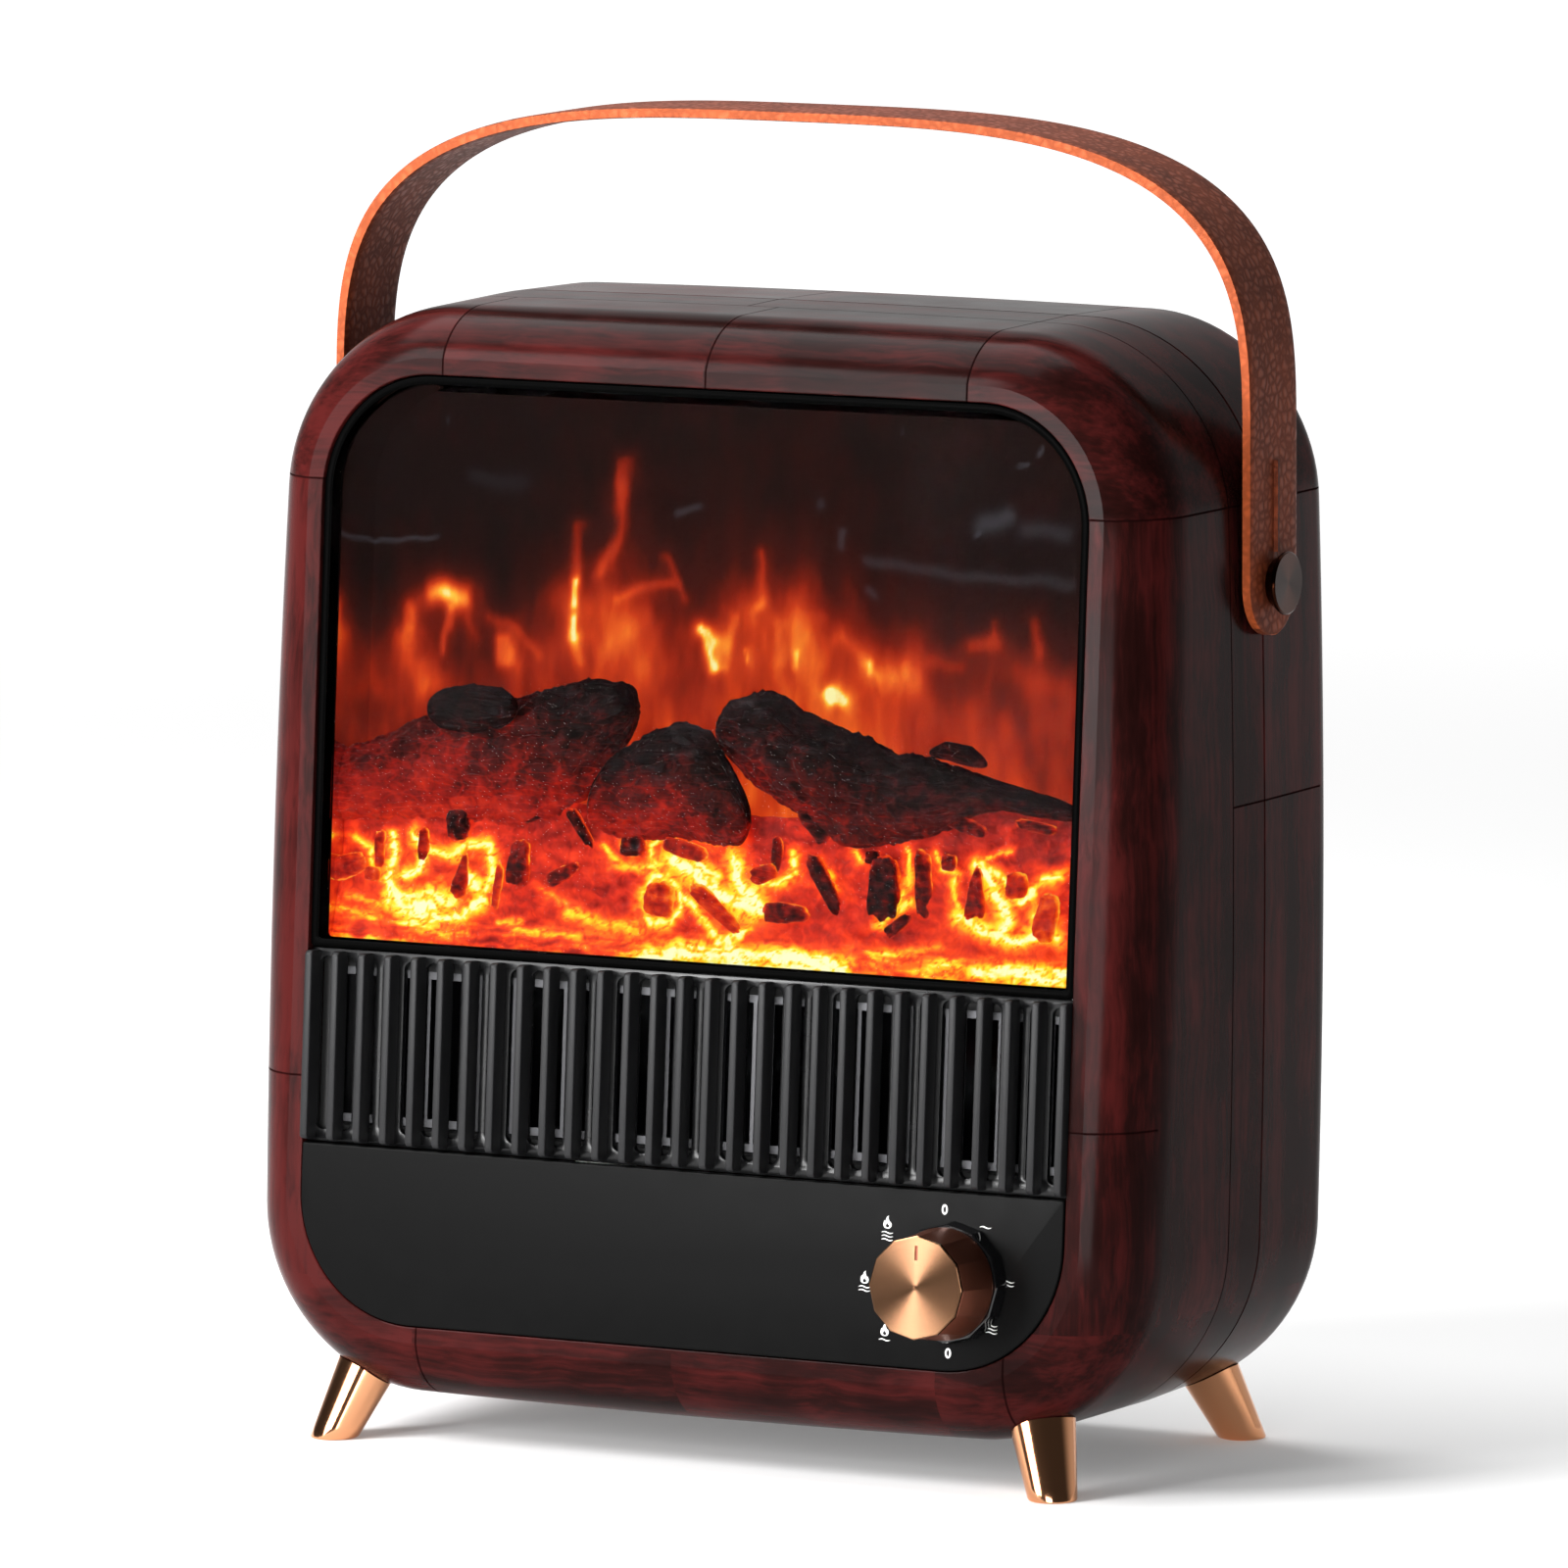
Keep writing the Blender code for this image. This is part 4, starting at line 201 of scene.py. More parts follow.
def mahogany_foil(colours, sizes):
    """Mahogany print foil on moulded ABS under gloss lacquer: streaked red-brown planks, soft dark
    joints, and a clear top that mirrors the studio softly."""
    material, tree, shader = new_material("mahogany_foil_lacquered", IOR=1.45)
    point = millimetres(tree)
    local = add(tree, "VectorMath", {0: point, 1: (0.0, -FRONT_Y * 1000.0, 0.0)}, operation="ADD")
    axes = add(tree, "SeparateXYZ", {0: local})
    x, y, z = axes.outputs[0], axes.outputs[1], axes.outputs[2]
    span = add(tree, "Math", {0: x}, operation="ABSOLUTE")
    crown, foot, seam, middle = 252.0, 44.0, 61.5, 174.5   # heights and depth of the main plank joints, mm
    # Top and underside are laid crosswise, the sides upright.
    high = add(tree, "Math", {0: z, 1: crown}, operation="GREATER_THAN")
    low = add(tree, "Math", {0: z, 1: foot}, operation="LESS_THAN")
    cross = add(tree, "Math", {0: high, 1: low}, operation="MAXIMUM")
    across = 1.0 / (sizes.grain_width * 1000.0)
    upright = add(tree, "VectorMath", {0: local, 1: (across, across, across / 46.0)}, operation="MULTIPLY")
    crosswise = add(tree, "VectorMath", {0: local, 1: (across / 30.0, across, across)}, operation="MULTIPLY")
    grain_at = add(tree, "Mix", {0: cross, 4: upright, 5: crosswise}, data_type="VECTOR")
    wander = add(tree, "TexNoise", {"Vector": local, "Scale": 0.035, "Detail": 2.0})
    bend = add(tree, "VectorMath", {0: wander.outputs["Color"], "Scale": 5.0}, operation="SCALE")
    grain_at = add(tree, "VectorMath", {0: grain_at.outputs[1], 1: bend}, operation="ADD")
    # Each plank has its own tone.
    plank_x = add(tree, "Math", {0: x, 1: 77.5}, operation="ADD")
    plank_x = add(tree, "Math", {0: plank_x, 1: 77.0}, operation="DIVIDE")
    plank_x = add(tree, "Math", {0: plank_x}, operation="FLOOR")
    plank_z = add(tree, "Math", {0: z, 1: middle}, operation="GREATER_THAN")
    plank_y = add(tree, "Math", {0: y, 1: seam}, operation="GREATER_THAN")
    plank_z = add(tree, "Math", {0: plank_z, 1: plank_y}, operation="MULTIPLY")
    number = add(tree, "Mix", {0: cross, 2: plank_z, 3: plank_x}, data_type="FLOAT")
    number = add(tree, "Math", {0: plank_y, 1: 7.0, 2: number}, operation="MULTIPLY_ADD")
    number = add(tree, "Math", {0: cross, 1: 23.0, 2: number}, operation="MULTIPLY_ADD")
    tone = add(tree, "TexWhiteNoise", {"W": number}, noise_dimensions="1D")
    shift = add(tree, "VectorMath", {0: tone.outputs["Color"], "Scale": 40.0}, operation="SCALE")
    grain_at = add(tree, "VectorMath", {0: grain_at, 1: shift}, operation="ADD")
    streak = add(tree, "TexNoise", {"Vector": grain_at, "Scale": 1.0, "Detail": 5.0, "Roughness": 0.62})
    ribbon_at = add(tree, "VectorMath", {0: grain_at, "Scale": 0.14}, operation="SCALE")
    ribbon = add(tree, "TexNoise", {"Vector": ribbon_at, "Scale": 1.0, "Detail": 3.0, "Roughness": 0.5})
    mottle = add(tree, "TexNoise", {"Vector": local, "Scale": 0.045, "Detail": 3.0})
    mixed = add(tree, "Math", {0: ribbon, 1: 0.62}, operation="MULTIPLY")
    mixed = add(tree, "Math", {0: streak, 1: 0.38, 2: mixed}, operation="MULTIPLY_ADD")
    mixed = add(tree, "Math", {0: mottle, 1: 0.30, 2: mixed}, operation="MULTIPLY_ADD")
    mixed = add(tree, "Math", {0: tone.outputs["Value"], 1: 0.12, 2: mixed}, operation="MULTIPLY_ADD")
    # Painted light: the print is made lighter towards the left, as if lit from there.
    sweep = add(tree, "MapRange", {"Value": x, 1: -125.0, 2: 60.0, 3: 0.09, 4: 0.0}, interpolation_type="SMOOTHSTEP")
    mixed = add(tree, "Math", {0: mixed, 1: sweep}, operation="ADD")
    wood = add(tree, "ValToRGB", {"Fac": mixed}, stops=(
        (0.50, tuple(colours.wood_dark)), (0.68, tuple(colours.wood_mid)), (0.87, tuple(colours.wood_light))))
    lid, sole, side = (z, crown, 400.0), (z, 0.0, foot), (span, 80.0, 200.0)
    fore, aft = (y, -40.0, seam), (y, seam, 140.0)
    lines = [joint_line(tree, *line) for line in (
        (y, seam, ((span, 0.0, 200.0),)), (x, -77.5, (lid, fore)), (x, 0.2, (lid, fore)),
        (x, 76.2, (lid, (y, -40.0, 140.0))), (x, -9.0, (lid, aft)), (z, crown, (side,)),
        (z, middle, (side, (y, seam, 113.0))), (z, 96.0, ((span, 112.0, 200.0), (y, -10.0, 22.0))),
        (x, -76.4, (sole,)), (x, 96.0, (sole,)))]
    joints = lines[0]
    for line in lines[1:]:
        joints = add(tree, "Math", {0: joints, 1: line}, operation="MAXIMUM")
    faded = add(tree, "Math", {0: joints, 1: 0.75}, operation="MULTIPLY")
    wood = add(tree, "Mix", {0: faded, 6: wood.outputs["Color"], 7: linear("#0B0404")}, data_type="RGBA")
    gloss = add(tree, "MapRange", {"Value": mottle, 1: 0.3, 2: 0.7, 3: 0.17, 4: 0.23})
    shine = add(tree, "MapRange", {"Value": joints, 1: 0.0, 2: 1.0, 3: 0.035, 4: 0.0})
    # Lacquer flows over the print: a slow waviness and a trace of the joints.
    wave = add(tree, "TexNoise", {"Vector": local, "Scale": 0.09, "Detail": 1.0})
    height = add(tree, "Math", {0: joints, 1: -0.35, 2: wave}, operation="MULTIPLY_ADD")
    relief = add(tree, "Bump", {"Height": height, "Strength": 0.25, "Distance": 0.10 * MM})
    feed(tree, shader, Base_Color=wood.outputs[2], Roughness=gloss, Specular_IOR_Level=shine, Normal=relief)
    return material


def moulded(name, colour, rough, size=0.35, depth=0.02, spread=0.10, bump=0.3, **sockets):
    """Moulded plastic or rubber: even colour with a fine spark-eroded skin."""
    material, tree, shader = new_material(name, **sockets)
    grained(tree, shader, millimetres(tree), size, depth, colour, spread, rough, bump)
    return material


def plated(name, colour, rough, size=0.5, depth=0.004, spread=0.06, stretch=(1.0, 1.0, 1.0), bump=0.4, **sockets):
    """Plated or drawn metal: faint drawing marks that pull the reflections lengthwise."""
    material, tree, shader = new_material(name, Metallic=1.0, **sockets)
    point = add(tree, "VectorMath", {0: millimetres(tree), 1: stretch}, operation="MULTIPLY")
    grained(tree, shader, point, size, depth, colour, spread, rough, bump)
    return material


def spun_copper(name, plate, sizes):
    """Spun copper plate: fine turning rings under a gloss drawn round the centre, with painted light wedges."""
    material, tree, shader = new_material(name, Metallic=1.0, Anisotropic=0.9, Anisotropic_Rotation=0.25)
    place = add(tree, "UVMap", uv_map="spun")
    parts = add(tree, "SeparateXYZ", {0: place})
    radius = add(tree, "Math", {0: parts.outputs[1], 1: 1.0 / (sizes.ring_pitch * 1000.0)}, operation="MULTIPLY")
    rings = add(tree, "TexNoise", {"W": radius, "Scale": 1.0, "Detail": 2.0}, noise_dimensions="1D")
    tint = add(tree, "MapRange", {"Value": rings, 1: 0.25, 2: 0.75, 3: 0.9, 4: 1.06})
    # Painted stand-in for the two light fans that real grooves throw, up and down: it turns with the plate.
    turn = add(tree, "Math", {0: parts.outputs[0], 1: math.tau * 2.0 / ROUND}, operation="MULTIPLY")
    fan = add(tree, "Math", {0: turn}, operation="COSINE")
    fan = add(tree, "MapRange", {"Value": fan, 1: -0.7, 2: 1.0, 3: 0.34, 4: 1.0}, interpolation_type="SMOOTHSTEP")
    tint = add(tree, "Math", {0: tint, 1: fan}, operation="MULTIPLY")
    colour = add(tree, "VectorMath", {0: tuple(plate)[:3], "Scale": tint}, operation="SCALE")
    gloss = add(tree, "MapRange", {"Value": rings, 1: 0.25, 2: 0.75, 3: 0.20, 4: 0.27})
    along = add(tree, "Tangent", direction_type="UV_MAP", uv_map="spun")
    feed(tree, shader, Base_Color=colour, Roughness=gloss, Tangent=along)
    return material


def pebbled_leather(name, colour, pebble, dark, gloss):
    """Full-grain leather, drum-tumbled: raised pebbles, lighter on their domes and darker in the creases between
    them.
    """
    material, tree, shader = new_material(name, IOR=1.45, Specular_IOR_Level=0.13)
    point = millimetres(tree)
    wander = add(tree, "TexNoise", {"Vector": point, "Scale": 0.5, "Detail": 2.0})
    bend = add(tree, "VectorMath", {0: wander.outputs["Color"], "Scale": 1.3}, operation="SCALE")
    point = add(tree, "VectorMath", {0: point, 1: bend}, operation="ADD")
    cells = add(tree, "TexVoronoi", {"Vector": point, "Scale": 1.0 / (pebble * 1000.0), "Randomness": 0.9},
                feature="DISTANCE_TO_EDGE")
    dome = add(tree, "MapRange", {"Value": cells, 1: 0.0, 2: 0.42, 3: 0.0, 4: 1.0}, interpolation_type="SMOOTHSTEP")
    skin = add(tree, "TexNoise", {"Vector": point, "Scale": 2.4, "Detail": 4.0})
    height = add(tree, "Math", {0: skin, 1: 0.22, 2: dome}, operation="MULTIPLY_ADD")
    cloud = add(tree, "TexNoise", {"Vector": point, "Scale": 0.08, "Detail": 3.0})
    shade = add(tree, "Math", {0: cloud, 1: 0.55, 2: 0.12}, operation="MULTIPLY_ADD")
    shade = add(tree, "Math", {0: dome, 1: 0.36, 2: shade}, operation="MULTIPLY_ADD")
    low = tuple(c * dark for c in colour[:3]) + (1.0,)
    high = tuple(min(c * 1.25, 1.0) for c in colour[:3]) + (1.0,)
    tint = add(tree, "ValToRGB", {"Fac": shade}, stops=((0.2, low), (0.72, tuple(colour)[:3] + (1.0,)), (1.0, high)))
    polish = add(tree, "MapRange", {"Value": dome, 1: 0.0, 2: 1.0, 3: gloss[1], 4: gloss[0]})
    relief = add(tree, "Bump", {"Height": height, "Strength": 0.45, "Distance": 0.16 * MM})
    feed(tree, shader, Base_Color=tint, Roughness=polish, Normal=relief)
    return material


HEAT_STOPS = ((0.0, "#080303"), (0.20, "#340605"), (0.36, "#8A100A"), (0.48, "#D2230D"), (0.60, "#FA4410"),
              (0.70, "#FF7A12"), (0.79, "#FFB818"), (0.88, "#FFEA32"), (1.0, "#FFFFC8"))


def ember_resin():
    """Cast resin lit from beneath: thin places glow yellow to white, thick lumps stay dark red."""
    material, tree, shader = new_material("ember_resin", Roughness=0.42, Specular_IOR_Level=0.02,
                                          Emission_Strength=1.12)
    heat = add(tree, "Attribute", attribute_name="glow")
    point = millimetres(tree)
    fine = add(tree, "TexNoise", {"Vector": point, "Scale": 0.30, "Detail": 5.0, "Roughness": 0.55,
                                  "Distortion": 1.6})
    level = add(tree, "Math", {0: fine, 1: 0.26, 2: heat.outputs["Fac"]}, operation="MULTIPLY_ADD")
    level = add(tree, "Math", {0: level, 1: 0.125}, operation="SUBTRACT")
    glow = add(tree, "ValToRGB", {"Fac": level}, stops=HEAT_STOPS)
    skin = add(tree, "ValToRGB", {"Fac": fine}, stops=((0.3, "#120606"), (0.75, "#3A1410")))
    relief = add(tree, "Bump", {"Height": fine, "Strength": 0.6, "Distance": 0.5 * MM})
    feed(tree, shader, Emission_Color=glow, Base_Color=skin, Normal=relief)
    return material


def charred_wood():
    """Cast resin log, painted as charred bark: grey-black ridges with a damp shine, red where lit from below."""
    material, tree, shader = new_material("charred_bark_resin", Specular_IOR_Level=0.035, Emission_Strength=1.0)
    heat = add(tree, "Attribute", attribute_name="glow")
    point = millimetres(tree)
    along = add(tree, "VectorMath", {0: point, 1: (0.22, 0.9, 0.9)}, operation="MULTIPLY")
    bark = add(tree, "TexNoise", {"Vector": along, "Scale": 0.55, "Detail": 4.0, "Roughness": 0.6})
    chips = add(tree, "TexVoronoi", {"Vector": along, "Scale": 0.5}, feature="DISTANCE_TO_EDGE")
    split = add(tree, "MapRange", {"Value": chips, 1: 0.0, 2: 0.12, 3: 1.0, 4: 0.0}, interpolation_type="SMOOTHSTEP")
    fine = add(tree, "TexNoise", {"Vector": point, "Scale": 0.28, "Detail": 4.0, "Roughness": 0.6, "Distortion": 0.8})
    level = add(tree, "Math", {0: fine, 1: 0.50, 2: heat.outputs["Fac"]}, operation="MULTIPLY_ADD")
    level = add(tree, "Math", {0: level, 1: 0.25}, operation="SUBTRACT")
    level = add(tree, "Math", {0: split, 1: 0.06, 2: level}, operation="MULTIPLY_ADD")
    glow = add(tree, "ValToRGB", {"Fac": level}, stops=(
        (0.0, "#030101"), (0.12, "#160403"), (0.28, "#4A0906"), (0.44, "#95130A"), (0.60, "#D2270E"),
        (0.78, "#F8560F"), (1.0, "#FFB02A")))
    skin = add(tree, "ValToRGB", {"Fac": bark}, stops=((0.36, "#010101"), (0.56, "#070506"), (0.74, "#1C181A")))
    gloss = add(tree, "MapRange", {"Value": bark, 1: 0.3, 2: 0.7, 3: 0.6, 4: 0.42})
    height = add(tree, "Math", {0: split, 1: -0.5, 2: bark}, operation="MULTIPLY_ADD")
    relief = add(tree, "Bump", {"Height": height, "Strength": 0.6, "Distance": 0.8 * MM})
    feed(tree, shader, Emission_Color=glow, Base_Color=skin, Roughness=gloss, Normal=relief)
    return material


def flame_film():
    """Frosted acrylic screen with flames thrown on it: soft tongues from smoke brown through red to yellow, with pale
    painted reflections of the glass.
    """
    material, tree, shader = new_material("flame_screen_acrylic", Roughness=0.6, Specular_IOR_Level=0.0,
                                          Base_Color=linear("#050303"), Emission_Strength=1.0)
    heat = add(tree, "Attribute", attribute_name="glow")
    pale = add(tree, "Attribute", attribute_name="pale")
    point = millimetres(tree)
    rise = add(tree, "VectorMath", {0: point, 1: (1.0, 1.0, 0.35)}, operation="MULTIPLY")
    lick = add(tree, "TexNoise", {"Vector": rise, "Scale": 0.22, "Detail": 4.0, "Roughness": 0.5, "Distortion": 0.5})
    lick = add(tree, "MapRange", {"Value": lick, 1: 0.3, 2: 0.7, 3: 0.90, 4: 1.10})
    level = add(tree, "Math", {0: lick, 1: heat.outputs["Fac"]}, operation="MULTIPLY")
    glow = add(tree, "ValToRGB", {"Fac": level}, stops=(
        (0.0, "#0C0908"), (0.09, "#180F0D"), (0.20, "#3E130D"), (0.32, "#741B0D"), (0.44, "#A62A12"),
        (0.56, "#CE3E16"), (0.68, "#EC6220"), (0.80, "#FF922C"), (0.90, "#FFCE48"), (1.0, "#FFF8B0")))
    # Painted reflection: pale grey-blue gleams of the window glass, mixed into the screen's light.
    share = add(tree, "Math", {0: pale.outputs["Fac"], 1: 0.20}, operation="MULTIPLY")
    shown = add(tree, "Mix", {0: share, 6: glow.outputs["Color"], 7: linear("#8A8F9C")}, data_type="RGBA")
    feed(tree, shader, Emission_Color=shown.outputs[2])
    return material


def clear_glass():
    """Toughened float glass with an anti-glare coat: clear, with next to no mirror.

    Its IOR is 1.02, where the glass has 1.52, to keep the lamps' mirror images out of the window."""
    material, tree, shader = new_material("window_glass_float_coated", Roughness=0.0, IOR=1.02,
                                          Transmission_Weight=1.0)
    haze = add(tree, "TexNoise", {"Vector": millimetres(tree), "Scale": 0.02, "Detail": 2.0})
    tint = add(tree, "ValToRGB", {"Fac": haze}, stops=((0.3, "#F4F1F0"), (0.7, "#FCFAF9")))
    feed(tree, shader, Base_Color=tint)
    return material


# Shapes

def start_ring(bm, points):
    """Starts a closed ring: a circle whose vertices go to the given points."""
    ring = bmesh.ops.create_circle(bm, cap_ends=False, segments=len(points), radius=0.1)["verts"]
    for vert, point in zip(ring, points):
        vert.co = point
    return ring


def ring_edges(bm, ring):
    return [bm.edges.get((a, b)) for a, b in zip(ring, ring[1:] + ring[:1])]


def verts_in(geom):
    """The vertices among what a bmesh operator made."""
    return [item for item in geom if isinstance(item, bmesh.types.BMVert)]


def rim_of(bm):
    """The open edges of a sheet."""
    return [edge for edge in bm.edges if edge.is_boundary]


def next_ring(bm, ring, points):
    """Extrudes a ring and moves it to the given points."""
    fresh = set(verts_in(bmesh.ops.extrude_edge_only(bm, edges=ring_edges(bm, ring))["geom"]))
    grown = []
    for vert, point in zip(ring, points):
        twin = next(edge.other_vert(vert) for edge in vert.link_edges if edge.other_vert(vert) in fresh)
        twin.co = point
        grown.append(twin)
    return grown


def loft(bm, rings, closed=False, caps=(True, True)):
    """Extrudes a ring through a row of outlines; a closed loft joins its last ring to its first."""
    first = start_ring(bm, rings[0])
    last = first
    for points in rings[1:]:
        last = next_ring(bm, last, points)
    if closed:
        bmesh.ops.bridge_loops(bm, edges=ring_edges(bm, first) + ring_edges(bm, last))
        return
    for ring, wanted in ((first, caps[0]), (last, caps[1])):
        if wanted:
            bmesh.ops.edgeloop_fill(bm, edges=ring_edges(bm, ring))


def eased(bm, edges, width, segments):
    """Rounds edges off with a bevel."""
    bmesh.ops.bevel(bm, geom=edges, offset=width, offset_type="OFFSET", affect="EDGES", segments=segments,
                    profile=0.5, clamp_overlap=True, material=-1)


def slab(bm, size, middle):
    """A plain box."""
    made = bmesh.ops.create_cube(bm, size=1.0)["verts"]
    bmesh.ops.scale(bm, vec=size, verts=made)
    bmesh.ops.translate(bm, vec=middle, verts=made)


def rod(bm, radius, length, place):
    """A closed round bar, placed and turned by a matrix."""
    made = bmesh.ops.create_cone(bm, cap_ends=True, segments=40, radius1=radius, radius2=radius, depth=length)
    bmesh.ops.transform(bm, matrix=place, verts=made["verts"])


def smooth(bm, angle):
    """Smooth faces, with edges steeper than an angle marked sharp."""
    for face in bm.faces:
        face.smooth = True
    bm.normal_update()
    for edge in bm.edges:
        edge.smooth = not (len(edge.link_faces) == 2 and edge.calc_face_angle(0.0) > math.radians(angle))


def placed(name, data):
    """Puts new data into the scene under its name."""
    thing = bpy.data.objects.new(name, data)
    bpy.context.scene.collection.objects.link(thing)
    return thing


def piece(name, bm, materials, sharp=35.0, body="housing", stands_for=(), matrix=None):
    """Turns a bmesh into a finished piece at the origin, riding on its body."""
    bmesh.ops.remove_doubles(bm, verts=bm.verts, dist=1e-7)
    if matrix is not None:
        bmesh.ops.transform(bm, matrix=matrix, verts=bm.verts)
    bmesh.ops.recalc_face_normals(bm, faces=bm.faces)
    smooth(bm, sharp)
    mesh = bpy.data.meshes.new(name)
    bm.to_mesh(mesh)
    bm.free()
    thing = placed(name, mesh)
    for material in materials:
        mesh.materials.append(material)
    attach(thing, body)
    if stands_for:
        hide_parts(*stands_for)
    return thing


def refine(node, name, material, width, segments):
    """A merged copy of a CAD node with its hard edges eased, standing for that node."""
    bm = bmesh.new()
    bm.from_mesh(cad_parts[node].data)
    bmesh.ops.remove_doubles(bm, verts=bm.verts, dist=2e-6)
    bmesh.ops.dissolve_limit(bm, angle_limit=math.radians(1.0), verts=bm.verts, edges=bm.edges)
    eased(bm, [edge for edge in bm.edges
               if len(edge.link_faces) == 2 and edge.calc_face_angle(0.0) > math.radians(30.0)], width, segments)
    piece(name, bm, [material], stands_for=(node,))


def outline(half_width, low, high, low_r, high_r, steps=CORNER_STEPS, runs=SIDE_RUNS):
    """Points (x, z) round a rounded rectangle, counter-clockwise from its lower right corner."""
    corners = (
        (half_width - low_r, low + low_r, low_r, -90.0),
        (half_width - high_r, high - high_r, high_r, 0.0),
        (high_r - half_width, high - high_r, high_r, 90.0),
        (low_r - half_width, low + low_r, low_r, 180.0),
    )
    points = []
    for k, (cx, cz, radius, start) in enumerate(corners):
        for i in range(steps + 1):
            angle = math.radians(start + 90.0 * i / steps)
            points.append((cx + radius * math.cos(angle), cz + radius * math.sin(angle)))
        nx, nz, nr, onward = corners[(k + 1) % 4]
        to = (nx + nr * math.cos(math.radians(onward)), nz + nr * math.sin(math.radians(onward)))
        at = points[-1]
        for i in range(1, runs):
            share = i / runs
            points.append((at[0] + (to[0] - at[0]) * share, at[1] + (to[1] - at[1]) * share))
    return points


BODY = dict(half=0.1294, low=0.0130, high=0.2967, radius=0.0468, side=0.0032, top=0.0016)
OPENING = dict(half=0.1124, low=0.0325, high=0.2812, low_r=0.0340, high_r=0.0315)
RIM = 0.0043                       # width of the flat rim round the opening
WALL = 0.0025
FILLET = 0.0207                    # depth of the front fillet
REAR_Y = 0.1240                    # back of the housing, behind FRONT_Y
REAR_R = 0.0117
FACE_HALF = 0.1121                 # half width of the grille and the panel
WINDOW_LOW = 0.1302
GRILLE_LOW, GRILLE_HIGH = 0.0792, 0.1299
PANEL_LOW, PANEL_HIGH = 0.0328, 0.0789
PANEL_PROUD = 0.0004
DIAL_AT = (0.081, 0.0557)          # across and up the front
SKIRT = 0.0048                     # height of the dial's skirt


def coat(node, material):
    """Gives a carried-over CAD node its material."""
    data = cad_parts[node].data
    data.materials.clear()
    data.materials.append(material)


def body_outline(inset):
    """Outline of the housing seen from the front, with its sides, top and underside crowned."""
    b = BODY
    middle = (b["low"] + b["high"]) / 2
    half_height = (b["high"] - b["low"]) / 2
    points = []
    for x, z in outline(b["half"] - inset, b["low"] + inset, b["high"] - inset, b["radius"] - inset,
                        b["radius"] - inset):
        up = z - middle
        away_x = max(abs(x) - (b["half"] - b["radius"]), 0.0)
        away_z = max(abs(up) - (half_height - b["radius"]), 0.0)
        reach = math.hypot(away_x, away_z) or 1.0
        points.append((x + math.copysign(away_x / reach, x) * b["side"] * (1.0 - (up / half_height) ** 2),
                       z + math.copysign(away_z / reach, up) * b["top"] * (1.0 - (x / b["half"]) ** 2)))
    return points


def opening_outline(outset):
    o = OPENING
    return outline(o["half"] + outset, o["low"] - outset, o["high"] + outset, o["low_r"] + outset,
                   o["high_r"] + outset)


def on_front(points, depth):
    """Places an outline on the leaning front at a depth behind it."""
    return [LEAN @ Vector((x, depth, z)) for x, z in points]


def level(points, y):
    return [Vector((x, FRONT_Y + y, z)) for x, z in points]


def fillet_rings(wall, steps, start=12.0):
    """Rings of the soft edge between the flat rim and the straight sides."""
    rim = on_front(opening_outline(RIM), 0.0)
    side = body_outline(0.0006 + wall)
    first = math.radians(start)
    rings = []
    for i in range(1, steps + 1):
        angle = first + (math.pi / 2 - first) * i / steps
        out = (math.sin(angle) - math.sin(first)) / (1.0 - math.sin(first))
        back = (math.cos(first) - math.cos(angle)) / math.cos(first)
        ring = []
        for at, (sx, sz) in zip(rim, side):
            x = at.x + (sx - at.x) * out
            z = at.z + (sz - at.z) * out
            ring.append(Vector((x, FRONT_Y + z * math.tan(TILT) + wall + (FILLET - wall) * back, z)))
        rings.append(ring)
    return rings


def between(one, two, shares):
    return [[a.lerp(b, share) for a, b in zip(one, two)] for share in shares]


def spun_map(bm, origin, axis, up):
    """Writes the piece's own map: first value round the axis, second the radius in millimetres."""
    layer = bm.loops.layers.uv.new("spun")
    axis = Vector(axis).normalized()
    side = (up - axis * up.dot(axis)).normalized()
    other = axis.cross(side)
    origin = Vector(origin)
    for face in bm.faces:
        middle = face.calc_center_median() - origin
        home = math.atan2(middle.dot(other), middle.dot(side))
        for loop in face.loops:
            away = loop.vert.co - origin
            angle = math.atan2(away.dot(other), away.dot(side))
            while angle - home > math.pi:
                angle -= math.tau
            while angle - home < -math.pi:
                angle += math.tau
            radius = math.hypot(away.dot(side), away.dot(other))
            loop[layer].uv = (angle / math.tau * ROUND, radius * 1000.0)


def turned(bm, profile, origin, axis, steps):
    """Spins a profile of (radius, height) pairs once round an axis."""
    axis = Vector(axis).normalized()
    side = axis.orthogonal().normalized()
    origin = Vector(origin)
    verts = [bm.verts.new(origin + side * radius + axis * height) for radius, height in profile]
    edges = [bm.edges.new(pair) for pair in zip(verts, verts[1:])]
    bmesh.ops.spin(bm, geom=verts + edges, cent=origin, axis=axis, angle=math.tau, steps=steps, use_merge=True)
    bmesh.ops.remove_doubles(bm, verts=bm.verts, dist=1e-7)


def carve(thing, cutter_bm, angle):
    """Cuts a closed shape out of a piece with an exact boolean, and shades the result again."""
    mesh = bpy.data.meshes.new("cutter")
    bmesh.ops.recalc_face_normals(cutter_bm, faces=cutter_bm.faces)
    cutter_bm.to_mesh(mesh)
    cutter_bm.free()
    cutter = placed("cutter", mesh)
    modifier = thing.modifiers.new("cut", "BOOLEAN")
    modifier.operation = "DIFFERENCE"
    modifier.solver = "EXACT"
    modifier.object = cutter
    bpy.context.view_layer.update()
    done = bpy.data.meshes.new_from_object(thing.evaluated_get(bpy.context.evaluated_depsgraph_get()))
    thing.modifiers.clear()
    old = thing.data
    thing.data = done
    bpy.data.meshes.remove(old)
    bpy.data.objects.remove(cutter)
    bpy.data.meshes.remove(mesh)
    bm = bmesh.new()
    bm.from_mesh(done)
    smooth(bm, angle)
    bm.to_mesh(done)
    bm.free()


# Operators, one for each group of pieces

